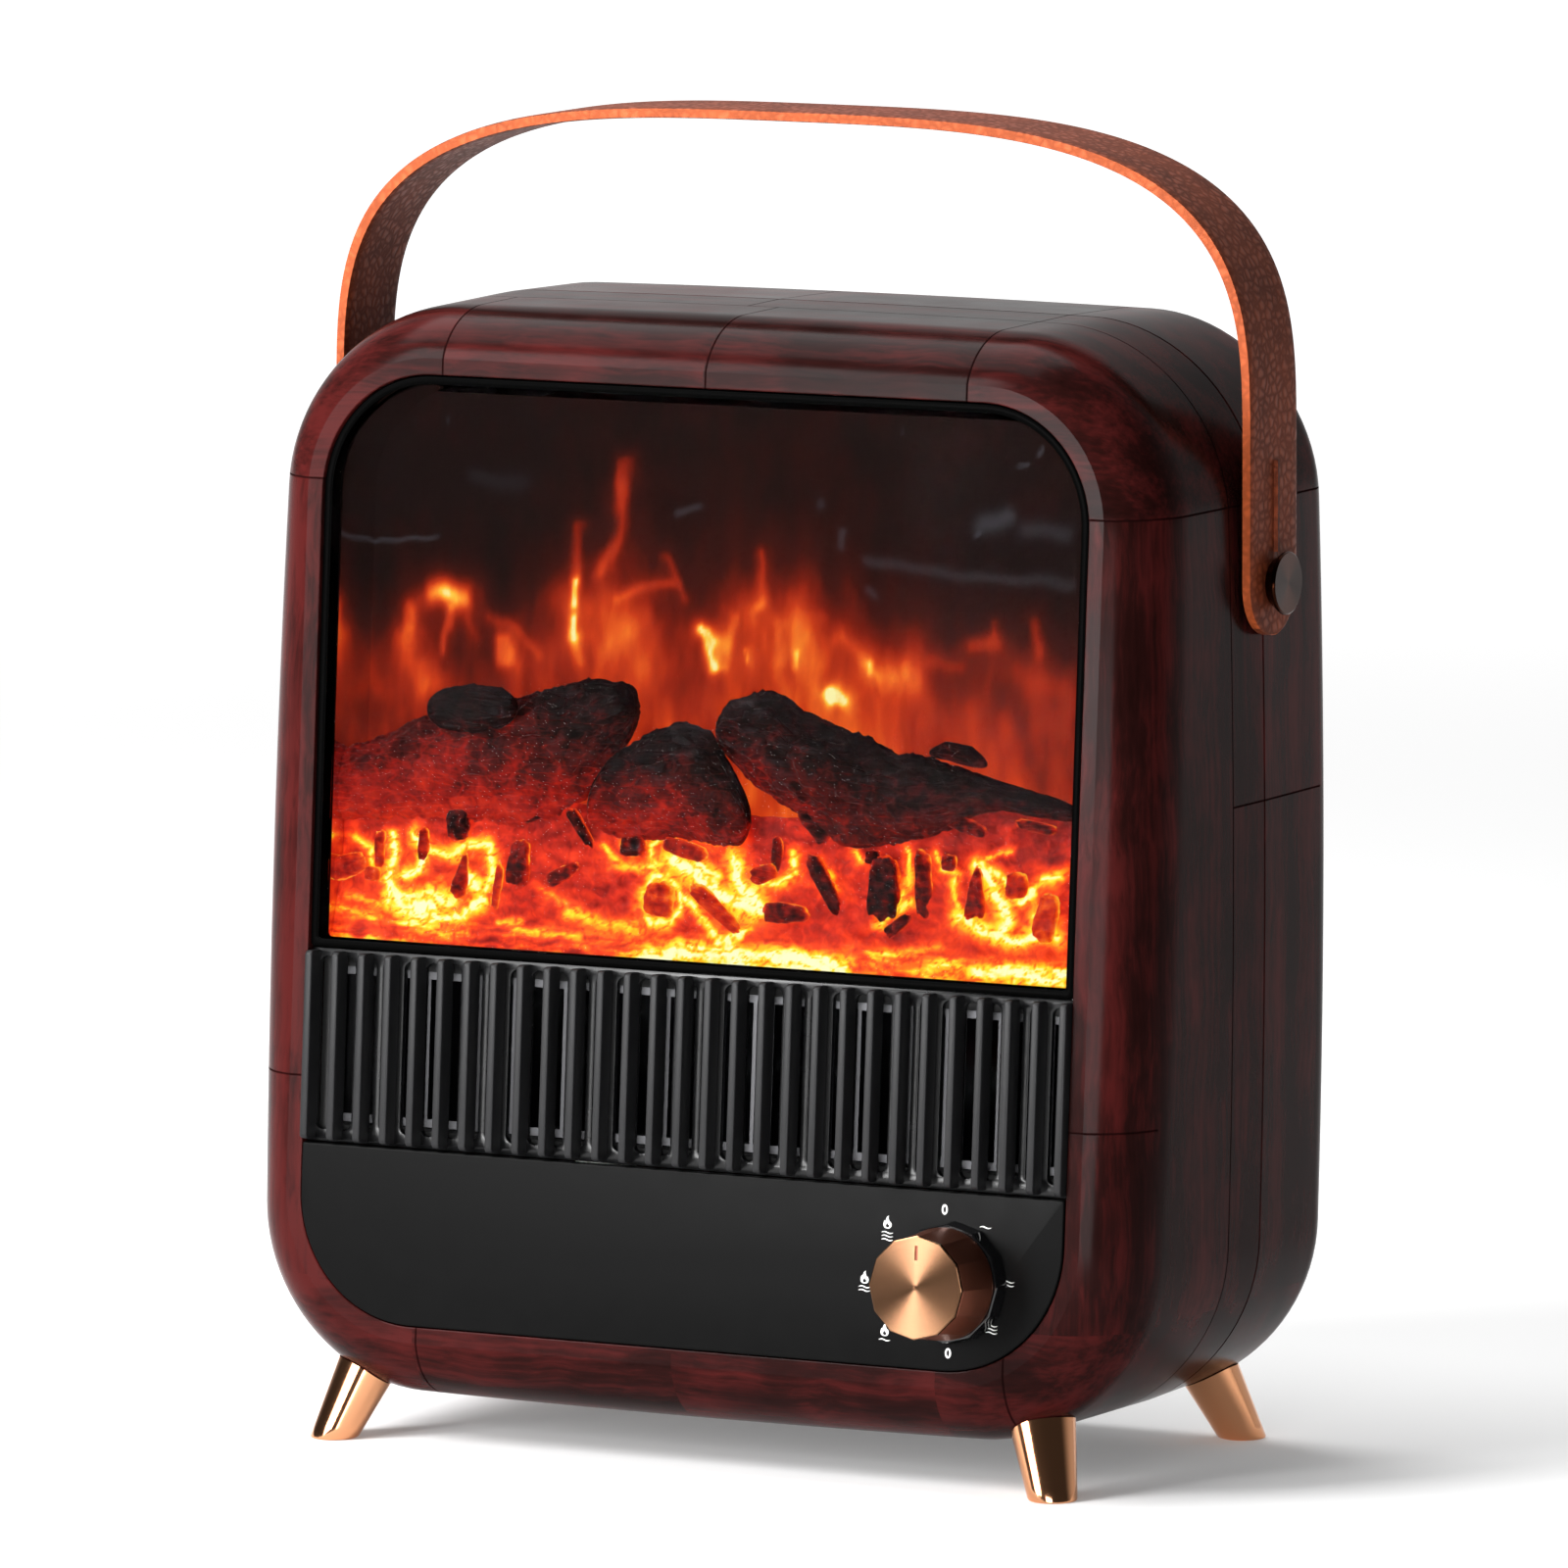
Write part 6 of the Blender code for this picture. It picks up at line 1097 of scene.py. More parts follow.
# Logs: name, the solid they stand for, seed, and their spine: seen across, seen up, depth, half height, half depth
# (mm), glow above and glow below
LOGS = (
    ("log_left_charred", "log_left", 0.5, (
        (-113, 172.0, 13.2, 6.0, 4.4, 0.26, 0.48), (-104, 174.5, 13.2, 8.5, 4.8, 0.26, 0.50),
        (-92, 177.5, 13.4, 10.5, 5.0, 0.26, 0.50), (-80, 181.0, 13.8, 13.0, 5.2, 0.22, 0.50),
        (-65, 183.0, 14.2, 14.6, 5.4, 0.18, 0.50), (-50, 184.5, 14.4, 16.0, 5.4, 0.12, 0.48),
        (-38, 187.0, 14.4, 16.0, 5.4, 0.03, 0.40), (-28, 193.0, 14.2, 13.6, 5.2, 0.0, 0.28),
        (-21, 198.2, 14.0, 8.8, 4.8, 0.0, 0.16), (-16.8, 199.6, 14.0, 5.0, 3.8, 0.0, 0.10))),
    ("log_centre_charred", "log_centre", 1.4, (
        (-30, 172.0, 10.8, 4.5, 3.0, 0.06, 0.46), (-25, 176.0, 11.0, 8.6, 3.6, 0.05, 0.45),
        (-20, 177.5, 11.2, 11.0, 4.0, 0.02, 0.44), (-12, 179.5, 11.4, 13.0, 4.2, 0.0, 0.42),
        (-2, 181.0, 11.4, 14.6, 4.2, 0.0, 0.38), (5, 180.0, 11.2, 13.6, 4.0, 0.0, 0.34),
        (11, 176.0, 11.0, 10.2, 3.6, 0.0, 0.30), (17.5, 171.5, 10.8, 5.0, 3.0, 0.04, 0.34))),
    ("log_right_charred", "log_right", 2.1, (
        (7.6, 195.6, 13.8, 3.4, 3.4, 0.02, 0.14), (10.8, 196.0, 13.8, 7.0, 4.4, 0.0, 0.20),
        (19, 193.6, 14.0, 11.8, 5.2, 0.0, 0.30), (27, 191.5, 14.2, 12.8, 5.4, 0.0, 0.32),
        (35, 187.0, 14.2, 13.0, 5.4, 0.0, 0.30), (46, 182.3, 14.2, 14.0, 5.4, 0.0, 0.28),
        (58, 181.5, 14.2, 12.4, 5.2, 0.0, 0.28), (71, 181.5, 14.0, 9.5, 4.8, 0.0, 0.26),
        (82, 183.0, 13.8, 5.4, 4.0, 0.0, 0.20), (91, 183.0, 13.6, 3.6, 3.2, 0.0, 0.14),
        (116, 178.8, 13.2, 2.2, 2.2, 0.0, 0.14))),
    ("log_cap_charred", None, 3.0, (
        (-79, 195.6, 8.2, 2.4, 1.4, 0.02, 0.06), (-75, 196.0, 8.2, 4.8, 2.0, 0.0, 0.08),
        (-66, 196.4, 8.2, 6.0, 2.4, 0.0, 0.08), (-57, 196.8, 8.4, 4.8, 2.0, 0.0, 0.08),
        (-52, 197.0, 8.6, 2.4, 1.4, 0.02, 0.08))),
    ("log_knot_charred", None, 4.0, (
        (69, 192.6, 11.4, 0.9, 1.0, 0.1, 0.16), (74, 193.4, 11.4, 2.4, 1.8, 0.06, 0.16),
        (81, 192.4, 11.4, 2.6, 1.8, 0.05, 0.16), (86, 190.4, 11.6, 1.2, 1.2, 0.1, 0.16))),
)


class HEATER_OT_fire(Operator):
    """Builds the ember bed, the coals, the charred logs and the flame screen"""
    bl_idname = "heater.fire"
    bl_label = "Fire"

    def execute(self, context):
        ember, char = ember_resin(), charred_wood()
        self.bed(ember)
        self.coals(char)
        for name, node, seed, spine in LOGS:
            self.log(char, name, node, seed, np.array(spine, float))
        self.flames()
        return {"FINISHED"}

    def bed(self, material):
        half, foot = 109.4, 132.6          # of the bed where it is seen, mm
        bm = bmesh.new()
        bmesh.ops.create_grid(bm, x_segments=360, y_segments=84, size=1.0)
        us, vs = [], []
        for vert in bm.verts:
            u = vert.co.x * half
            share = (vert.co.y + 1.0) / 2
            top = 171.0 + 7.0 * max(0.0, min(1.0, (u - 55.0) / 20.0)) + 2.0 * ripple(u / 9.0, 0.0, 31.0)
            v = foot + (top - foot) * share
            depth = bed_depth(u, v)
            vert.co = Vector((u, depth, v)) * MM
            us.append(u + depth * SIGHT_U)
            vs.append(v + depth * SIGHT_V)
        glow = list(bed_glow(np.array(us), np.array(vs)))
        for vert in verts_in(bmesh.ops.extrude_edge_only(bm, edges=rim_of(bm))["geom"]):
            vert.co = Vector((vert.co.x, FIRE_FAR, max(vert.co.z - 0.0005, FIRE_FLOOR)))
            glow.append(0.3)
        bmesh.ops.edgeloop_fill(bm, edges=rim_of(bm))
        write_glow(bm, "glow", glow)
        piece("ember_bed_relief", bm, [material], sharp=80.0, stands_for=("ember_bed",), matrix=LEAN)

    def coals(self, material):
        bm = bmesh.new()
        glows = []
        for number, (u, v, long, wide, turn, heat, taper) in enumerate(COALS):
            made = bmesh.ops.create_icosphere(bm, subdivisions=5, radius=1.0)["verts"]
            spin = Matrix.Rotation(-math.radians(turn), 3, "Y")
            depth = 10.0
            for _ in range(3):
                depth = bed_depth(u - depth * SIGHT_U, v - depth * SIGHT_V) - 0.2
            at = seen(u * MM, v * MM, depth * MM)
            deep = min(wide, 3.2) * 0.8
            for vert in made:
                way = vert.co.normalized()
                block = max(abs(way.x), abs(way.y), abs(way.z)) ** -0.5
                rough = 1.0 + 0.16 * ripple(way.x * 1.7 + number, way.y * 1.7, way.z * 1.7)
                rough += 0.09 * ripple(way.x * 4.0, way.y * 4.0 + number, way.z * 4.0)
                rough += 0.05 * ripple(way.x * 9.0, way.y * 9.0, way.z * 9.0 + number)
                slim = 1.0 - taper * (0.5 + 0.5 * way.x)
                body = Vector((way.x * long, way.y * deep * slim, way.z * wide * slim)) * block * rough
                near = max(0.0, -way.y)
                glow = heat + 0.13 + 0.55 * (1.0 - near) ** 2 + 0.22 * ripple(body.x / 2.0, body.z / 2.0, number)
                glows.append(max(0.0, min(1.0, glow)))
                vert.co = at + (spin @ body) * MM
        write_glow(bm, "glow", glows)
        piece("ember_coals", bm, [material], sharp=60.0, matrix=LEAN)

    def log(self, material, name, node, seed, spine):
        """One log: rings along its spine, split and ridged like charred bark, closed round at both ends."""
        steps = 16 * (len(spine) - 1)
        around = 110
        rings, glows = [], []
        for i in range(steps + 1):
            t = i / steps * (len(spine) - 1)
            u, v, depth, tall, deep, above, below = [float(np.interp(t, range(len(spine)), spine[:, k]))
                                                     for k in range(7)]
            end = min(i, steps - i) / 7.0
            close = math.sqrt(max(0.0, 1.0 - (1.0 - end) ** 2)) if end < 1.0 else 1.0
            close = max(close, 0.04)
            ring = []
            for k in range(around):
                angle = math.tau * k / around
                cx, cz = math.cos(angle), math.sin(angle)
                bark = 1.0 + 0.12 * ripple(cx * 1.6 + seed, cz * 1.6, u / 16.0)
                bark += 0.16 * (0.4 - abs(ripple(cx * 2.6, cz * 2.6 + seed, u / 11.0)) * 1.8)
                bark += 0.13 * (0.4 - abs(ripple(cx * 6.5 + u / 22.0, cz * 6.5 + seed, u / 7.0)) * 1.8)
                bark += 0.07 * (0.3 - abs(ripple(cx * 15.0 + u / 9.0, cz * 15.0 + seed, u / 3.0)) * 1.5)
                ring.append(seen(u * MM, (v + tall * close * bark * cx) * MM, depth * MM)
                            + Vector((0.0, -deep * close * bark * cz * MM, 0.0)))
                share = 0.5 - 0.5 * cx
                share = min(1.0, max(0.0, share * 1.2 - 0.1 + 0.50 * ripple(u / 6.0, cx * 2.6, seed + cz)))
                glows.append(max(0.0, above + (below - above) * share))
            rings.append(ring)
        bm = bmesh.new()
        loft(bm, rings)
        write_glow(bm, "glow", glows)
        piece(name, bm, [material], sharp=80.0, stands_for=(node,) if node else (), matrix=LEAN)

    def flames(self):
        """The screen's own vertices carry the glow of the flames thrown on it, and pale painted reflections of the
        glass.
        """
        depth = 23.8
        half, low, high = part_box("flame_screen")[1].x / MM, 150.0, 276.0
        bm = bmesh.new()
        bmesh.ops.create_grid(bm, x_segments=270, y_segments=160, size=1.0)
        us, vs = [], []
        for vert in bm.verts:
            u = vert.co.x * half
            v = low + (high - low) * (vert.co.y + 1.0) / 2
            us.append(u + depth * SIGHT_U)
            vs.append(v + depth * SIGHT_V)
            vert.co = Vector((u, depth, v)) * MM
        us, vs = np.array(us), np.array(vs)
        wu = us + 2.4 * ripples(us, vs, 7.0, 12.0, 2.0) + 1.0 * ripples(us, vs, 2.6, 6.0, 6.0)
        wv = vs + 1.6 * ripples(us, vs, 8.0, 16.0, 9.0)
        top = np.interp(us, (-110, -80, -60, -40, -22, -4, 18, 35, 55, 80, 110),
                        (224, 226, 224, 234, 246, 236, 242, 240, 228, 222, 224))
        top = top + 5.0 * ripples(us, vs * 0.0, 7.0, 1.0, 4.0)
        power = np.interp(us, (-110, -80, -50, -30, -18, -2, 10, 25, 50, 75, 95, 110),
                          (0.27, 0.27, 0.34, 0.44, 0.44, 0.36, 0.44, 0.50, 0.52, 0.46, 0.40, 0.36))
        haze = power / (1.0 + np.exp((vs - top + 10.0) / 8.0))
        haze *= 0.95 + 0.34 * ripples(us, vs, 7.0, 17.0, 17.0) + 0.16 * ripples(us, vs, 3.0, 8.0, 23.0)
        base = np.interp(us, (-110, -40, 0, 60, 110), (0.085, 0.095, 0.10, 0.10, 0.085))
        base = base + 0.02 * ripples(us, vs, 24.0, 14.0, 19.0)
        strokes = brushed(wu, wv, [(points, width * 1.45, heat * (0.72 if width > 1.6 else 0.60))
                                   for points, width, heat in FLAMES], np.add)
        halo = brushed(wu, wv, [(points, width * 3.2, heat * 0.26) for points, width, heat in FLAMES], np.add)
        glow = list(np.clip(base + haze + strokes + halo, 0.0, 1.0))
        pale = list(np.clip(brushed(wu, wv, GLASS_REFLECTIONS_PAINTED, np.maximum), 0.0, 1.0))
        fresh = verts_in(bmesh.ops.extrude_edge_only(bm, edges=rim_of(bm))["geom"])
        bmesh.ops.translate(bm, vec=(0.0, 0.0020, 0.0), verts=fresh)
        bmesh.ops.edgeloop_fill(bm, edges=rim_of(bm))
        write_glow(bm, "glow", glow + [0.0] * len(fresh))
        write_glow(bm, "pale", pale + [0.0] * len(fresh))
        piece("flame_screen_lit", bm, [flame_film()], sharp=40.0, stands_for=("flame_screen",),
              matrix=LEAN)


class HEATER_OT_grille(Operator):
    """Builds the outlet grille, and finishes the heater behind it"""
    bl_idname = "heater.grille"
    bl_label = "Outlet grille"

    def execute(self, context):
        sizes = context.scene.heater_sizes
        black = tuple(context.scene.heater_colours.black)
        gloss = moulded("pa_black_grille_semigloss", black, (0.20, 0.28), size=0.5, depth=0.01, IOR=1.53,
                        Specular_IOR_Level=0.25)
        # Painted sheen: the fins get a lighter grey-black than the plate they are moulded with, for the grey sheen on
        # their flat faces.
        satin = moulded("pa_black_fins_painted_sheen", linear("#1E1E1F"), (0.32, 0.38), size=0.5, depth=0.01, IOR=1.53,
                        Specular_IOR_Level=0.12)
        tall, middle = GRILLE_HIGH - GRILLE_LOW, (GRILLE_LOW + GRILLE_HIGH) / 2
        near, thick = 0.0024, 0.0018
        bm = bmesh.new()
        slab(bm, (2 * FACE_HALF, thick, tall), (0.0, near + thick / 2, middle))
        plate = piece("outlet_plate", bm, [gloss], sharp=30.0, stands_for=("outlet_grille",))
        cutter = bmesh.new()
        slot = outline(0.0022, 0.0823, 0.1278, 0.0022, 0.0022, 8, 1)
        pitch = 0.006336
        for i in range(-17, 18):
            x = i * pitch
            loft(cutter, [[(x + px, y, pz) for px, pz in slot] for y in (near - 0.002, near + thick + 0.002)])
        carve(plate, cutter, 35.0)
        bm = bmesh.new()
        bm.from_mesh(plate.data)
        eased(bm, [edge for edge in bm.edges if len(edge.link_faces) == 2 and edge.calc_face_angle(0.0) > 0.6
                   and max(vert.co.y for vert in edge.verts) < near + 0.0001], 0.00025, 2)
        bmesh.ops.transform(bm, matrix=LEAN, verts=bm.verts)
        smooth(bm, 35.0)
        bm.to_mesh(plate.data)
        bm.free()

        bm = bmesh.new()
        slab(bm, (sizes.fin_width, 0.0054, tall - 0.0012), (0.0, 0.0003, middle))
        eased(bm, [edge for edge in bm.edges if all(vert.co.y < 0.0 for vert in edge.verts)
                   and abs(edge.verts[0].co.z - edge.verts[1].co.z) < 1e-6], 0.0013, 5)
        eased(bm, [edge for edge in bm.edges if len(edge.link_faces) == 2 and edge.calc_face_angle(0.0) > 1.2
                   and min(vert.co.y for vert in edge.verts) < 0.0025], 0.00042, 3)
        one = list(bm.verts) + list(bm.edges) + list(bm.faces)
        first = -(sizes.fin_count - 1) / 2 * sizes.fin_pitch
        for i in range(1, sizes.fin_count):
            bmesh.ops.translate(bm, vec=(first + i * sizes.fin_pitch, 0.0, 0.0),
                                verts=verts_in(bmesh.ops.duplicate(bm, geom=one)["geom"]))
        bmesh.ops.translate(bm, vec=(first, 0.0, 0.0), verts=verts_in(one))
        piece("outlet_fins", bm, [satin], sharp=40.0, matrix=LEAN)

        alloy = plated("aluminium_heater_fins", linear("#4C4C4E"), (0.28, 0.42), stretch=(1.0, 1.0, 0.1))
        pps = moulded("heater_frame_pps", linear("#141414"), (0.45, 0.6))
        refine("heating_element", "heating_element_fins", alloy, 0.00010, 1)
        refine("heater_frame", "heater_frame_moulded", pps, 0.0003, 2)
        return {"FINISHED"}


class HEATER_OT_dial(Operator):
    """Builds the control panel, its printed marks and the twelve-sided dial"""
    bl_idname = "heater.dial"
    bl_label = "Panel and dial"

    def execute(self, context):
        colours, sizes = context.scene.heater_colours, context.scene.heater_sizes
        satin = moulded("abs_black_satin", linear("#070707"), (0.36, 0.42), size=0.30, depth=0.012, IOR=1.5,
                        Specular_IOR_Level=0.045)
        edge = 0.0005

        def panel(inset):
            return outline(FACE_HALF - inset, PANEL_LOW + inset, PANEL_HIGH - inset, 0.0337 - inset, 0.0005, 22, 2)
        bm = bmesh.new()
        rings = [on_front(panel(0.0), 0.0026), on_front(panel(0.0), edge - PANEL_PROUD)]
        for i in range(1, 5):
            angle = math.pi / 2 * i / 4
            rings.append(on_front(panel(edge * (1.0 - math.cos(angle))),
                                  -PANEL_PROUD + edge * (1.0 - math.sin(angle))))
        loft(bm, rings)
        plate = piece("control_panel_satin", bm, [satin], sharp=50.0, stands_for=("control_panel",))
        axis = LEAN @ Vector((DIAL_AT[0], 0.0, DIAL_AT[1]))
        out = (LEAN.to_3x3() @ Vector((0.0, -1.0, 0.0))).normalized()
        cutter = bmesh.new()
        rod(cutter, 0.0045, 0.012,
            Matrix.Translation(axis) @ Vector((0, 0, 1)).rotation_difference(out).to_matrix().to_4x4())
        carve(plate, cutter, 50.0)
        self.marks()
        self.knob(colours, sizes, axis, out)
        return {"FINISHED"}

    def marks(self):
        """White screen print: zeros, waves for heat steps and flames for the fire light."""
        ink = moulded("screen_print_white", linear("#F4F4F2"), (0.5, 0.6), size=0.2, depth=0.004)
        bm = bmesh.new()

        def zero(u, v):
            angles = [math.tau * i / 28 for i in range(28)]
            loft(bm, [[(u + wide * math.cos(a), 0.0, v + tall * math.sin(a)) for a in angles]
                      for wide, tall in ((0.00088, 0.00132), (0.00038, 0.00082))], caps=(False, False))

        def wave(u, v):
            upper, lower = [], []
            for i in range(25):
                t = i / 24
                x = u + (t - 0.5) * 0.0033
                z = v + 0.00020 * math.sin(t * math.tau)
                thick = 0.00015 * math.sin(math.pi * min(max(t, 0.04), 0.96)) ** 0.5
                upper.append((x, z + thick))
                lower.append((x, z - thick))
            ring = start_ring(bm, [(x, 0.0, z) for x, z in upper + lower[::-1]])
            bmesh.ops.edgeloop_fill(bm, edges=ring_edges(bm, ring))

        def flame(u, v):
            shape = ((0.0, -1.0), (0.42, -0.96), (0.74, -0.70), (0.84, -0.34), (0.74, 0.04), (0.56, 0.30),
                     (0.46, 0.02), (0.34, 0.44), (0.16, 0.84), (0.20, 1.36),
                      (-0.14, 1.06), (-0.34, 0.66), (-0.40, 0.26),
                     (-0.58, 0.46), (-0.78, 0.08), (-0.84, -0.34), (-0.72, -0.72), (-0.42, -0.96))
            hollow = ((0.02, -0.86), (0.20, -0.82), (0.34, -0.66), (0.38, -0.48), (0.32, -0.34), (0.24, -0.24),
                      (0.18, -0.34), (0.12, -0.18), (0.04, -0.02), (0.02, 0.10), (-0.06, 0.0), (-0.14, -0.14),
                      (-0.18, -0.26), (-0.24, -0.20), (-0.32, -0.34), (-0.36, -0.50), (-0.30, -0.68), (-0.16, -0.82))
            size = 0.00142
            loft(bm, [[(u + x * size, 0.0, v + z * size) for x, z in line] for line in (shape, hollow)],
                 caps=(False, False))

        zero(0.0780, 0.0743)
        zero(0.0803, 0.0375)
        for u, v in ((0.0618, 0.0420), (0.0555, 0.0551), (0.0616, 0.0697)):
            flame(u, v)
        for u, v, count in ((0.0899, 0.0705, 1), (0.0970, 0.0561, 2), (0.0926, 0.0436, 3),
                            (0.0618, 0.0396, 1), (0.0555, 0.0519, 2), (0.0616, 0.0654, 3)):
            for i in range(count):
                wave(u, v + 0.00092 * i)
        made = bmesh.ops.extrude_face_region(bm, geom=list(bm.faces))["geom"]
        bmesh.ops.translate(bm, vec=(0.0, -PANEL_PROUD - 0.00003, 0.0), verts=verts_in(made))
        bmesh.ops.translate(bm, vec=(0.0, -PANEL_PROUD + 0.00005, 0.0),
                            verts=[vert for vert in bm.verts if vert.co.y > -0.0001])
        piece("dial_marks", bm, [ink], sharp=40.0, matrix=LEAN)

    def knob(self, colours, sizes, axis, out):
        sides = 12
        around = 96
        right = Vector((1.0, 0.0, 0.0))
        up = out.cross(right).normalized()
        if up.z < 0.0:
            up = -up

        def corner(radius, angle):
            wedge = math.radians(angle % 30.0 - 15.0)
            return radius * math.cos(math.pi / sides) / math.cos(wedge)

        def ring(radius, height, squareness=0.0):
            points = []
            for i in range(around):
                angle = 360.0 * i / around
                reach = radius * (1.0 - squareness) + corner(radius, angle) * squareness
                turn = math.radians(angle + 90.0)
                points.append(axis + right * reach * math.cos(turn) + up * reach * math.sin(turn) + out * height)
            return points
        copper = plated("copper_plate_satin", linear("#945A46"), (0.34, 0.40), size=1.2, depth=0.002)
        dark = moulded("skirt_black_gloss", tuple(colours.black), (0.08, 0.12), size=0.8, depth=0.003, IOR=1.55)
        foot = PANEL_PROUD + GAP
        bm = bmesh.new()
        bore = 0.0085
        loft(bm, [ring(bore, foot), ring(0.0159, foot, 1.0), ring(0.0153, foot + SKIRT - 0.0004, 1.0),
                  ring(0.0150, foot + SKIRT, 1.0), ring(bore, foot + SKIRT)], closed=True)
        piece("knob_skirt_gloss", bm, [dark], sharp=12.0, body="dial", stands_for=("knob_skirt",))

        start = foot + SKIRT + GAP
        long = 0.0142
        bm = bmesh.new()
        rings = [ring(0.0034, start), ring(0.0143, start), ring(0.0145, start + 0.0002), ring(0.0145, start + 0.0008)]
        for i in range(1, 9):
            share = i / 8
            rings.append(ring(0.0145 - 0.0013 * share, start + 0.0008 + (long - 0.0012) * share, share ** 0.55))
        rings.append(ring(0.0130, start + long, 1.0))
        loft(bm, rings, caps=(False, True))
        loft(bm, [ring(0.0034, start + 0.0100), ring(0.0034, start)], caps=(True, False))
        piece("knob_body_copper", bm, [copper], sharp=7.0, body="dial", stands_for=("knob_body",))

        face = start + long + GAP
        thick = 0.0009
        bm = bmesh.new()
        rings = [ring(0.0134, face, 1.0), ring(0.0134, face + thick - 0.0003, 1.0),
                 ring(0.01335, face + thick - 0.0001, 1.0), ring(0.0131, face + thick, 1.0)]
        for i in range(1, 17):
            share = i / 17
            rings.append(ring(0.0131 * (1.0 - share), face + thick, (1.0 - share) ** 0.6))
        loft(bm, rings)
        spun_map(bm, axis, out, up)
        # Painted shade: the face's copper is darker than the feet's, for the dark surroundings it mirrors.
        spun = spun_copper("copper_spun", colours.copper_face, sizes)
        plate = piece("knob_face_spun", bm, [spun], sharp=20.0, body="dial", stands_for=("knob_face",))

        def pointer(bm, half, reach, low, high):
            """A slim upright bar, its middle 8.9 mm above the axis."""
            loft(bm, [[axis + right * x + up * (z + 0.0089) + out * h
                       for x, z in outline(half, -reach, reach, 0.0002, 0.0002, 4, 1)] for h in (low, high)])
        cutter = bmesh.new()
        pointer(cutter, 0.00045, 0.0019, face + 0.0003, face + 0.0030)
        carve(plate, cutter, 20.0)
        # Red-brown paint fills the pointer slot.
        paint = moulded("pointer_paint_rust", linear("#A8502E"), (0.4, 0.5), size=0.2, depth=0.004)
        bm = bmesh.new()
        pointer(bm, 0.00043, 0.00188, face + 0.00031, face + 0.00050)
        piece("knob_pointer_paint", bm, [paint], sharp=30.0, body="dial")


class HEATER_OT_strap(Operator):
    """Builds the leather carry strap and its two spun copper screws"""
    bl_idname = "heater.strap"
    bl_label = "Carry strap"

    def execute(self, context):
        colours, sizes = context.scene.heater_colours, context.scene.heater_sizes
        outer = pebbled_leather("leather_pebbled_brown", tuple(colours.leather), sizes.pebble, 0.30, (0.42, 0.6))
        edge = pebbled_leather("leather_edge_tan", tuple(colours.leather_edge), sizes.pebble, 0.50, (0.40, 0.55))
        # Painted shade: the floor of each slit is dark brown, for the shade inside the cut.
        groove = moulded("leather_slit_painted_shade", linear("#2A110A"), (0.7, 0.8))
        pivot = Vector((0.0, FRONT_Y + SEAM, 0.2312))
        span, leg, rise = 0.13527, 0.0352, 0.0824      # half width, straight legs and the bow's height over them
        power = 3.3                                    # squareness of the bow
        tail = 0.0136                                  # rounded end below the pivot
        half = sizes.strap_width / 2
        thick = sizes.strap_thickness

        def bow(offset, t):
            """Place across and up of the bow's face at t, from 0 at the left leg to 1 at the right."""
            angle = math.pi * t
            x = -(span - offset) * math.copysign(abs(math.cos(angle)) ** (2.0 / power), math.cos(angle))
            return x, leg + (rise - offset) * abs(math.sin(angle)) ** (2.0 / power)

        # Even steps along the bow, found by walking its outer face.
        fine = [bow(0.0, i / 4000) for i in range(4001)]
        walk = [0.0]
        for (ax, az), (bx, bz) in zip(fine, fine[1:]):
            walk.append(walk[-1] + math.hypot(bx - ax, bz - az))
        count = 150
        rows = []
        for i in range(count + 1):
            t = float(np.interp(walk[-1] * i / count, walk, [k / 4000 for k in range(4001)]))
            rows.append((bow(0.0, t), bow(thick, t), half))
        legs = []
        steps = 16
        for i in range(steps + 1):
            angle = math.pi / 2 * i / steps
            legs.append((-tail + half * (1.0 - math.cos(angle)), max(half * math.sin(angle), half * 0.04)))
        for h in np.linspace(0.002, leg - 0.002, 22):
            legs.append((float(h), half))
        ends = [((-span, h), (-span + thick, h), w) for h, w in legs]
        rows = ends + rows[1:-1] + [((-a[0], a[1]), (-b[0], b[1]), w) for a, b, w in ends[::-1]]
        eased_by = 0.0009                              # rounding of the long edges
        across = (0.026, 0.12, 0.3, 0.5, 0.7, 0.86, 0.95, 0.985, 1.0)
        across = [(s, 0.00035 * max(0.0, (abs(s) - 0.86) / 0.14) ** 2)
                  for s in [-s for s in across[::-1]] + list(across)]
        bm = bmesh.new()
        rings = []
        for (ox, oh), (ix, ih), width in rows:
            out = Vector((ox - ix, 0.0, oh - ih)).normalized()
            ring = [Vector((ox, s * width, oh)) - out * drop for s, drop in across]
            ring += [Vector((ox, width, oh)) - out * eased_by, Vector((ix, width, ih)) + out * eased_by]
            ring += [Vector((ix, s * width, ih)) + out * drop for s, drop in across[::-1]]
            ring += [Vector((ix, -width, ih)) + out * eased_by, Vector((ox, -width, oh)) - out * eased_by]
            rings.append([pivot + point for point in ring])
        loft(bm, rings)
        bm.faces.ensure_lookup_table()
        bm.normal_update()
        for face in bm.faces:
            middle = face.calc_center_median() - pivot
            if abs(face.normal.y) > 0.55 or middle.z < -tail + 0.0004:
                face.material_index = 1
        # A slit above each screw lets the strap button over the screw's neck.
        slits = []
        for face in bm.faces:
            middle = face.calc_center_median() - pivot
            outside = abs(middle.x) > span - 0.0002
            if outside and abs(middle.y) < 0.0003 and 0.0085 < middle.z < 0.0318:
                slits.append(face)
        bmesh.ops.inset_region(bm, faces=slits, thickness=0.00006, depth=-0.0012, use_even_offset=True)
        for face in slits:
            face.material_index = 2
        strap = piece("carry_strap_leather", bm, [outer, edge, groove], sharp=50.0, body="strap",
                      stands_for=("carry_strap",))
        cutter = bmesh.new()
        rod(cutter, 0.0033, 0.40, Matrix.Translation(pivot) @ Matrix.Rotation(math.pi / 2, 4, "Y"))
        carve(strap, cutter, 50.0)
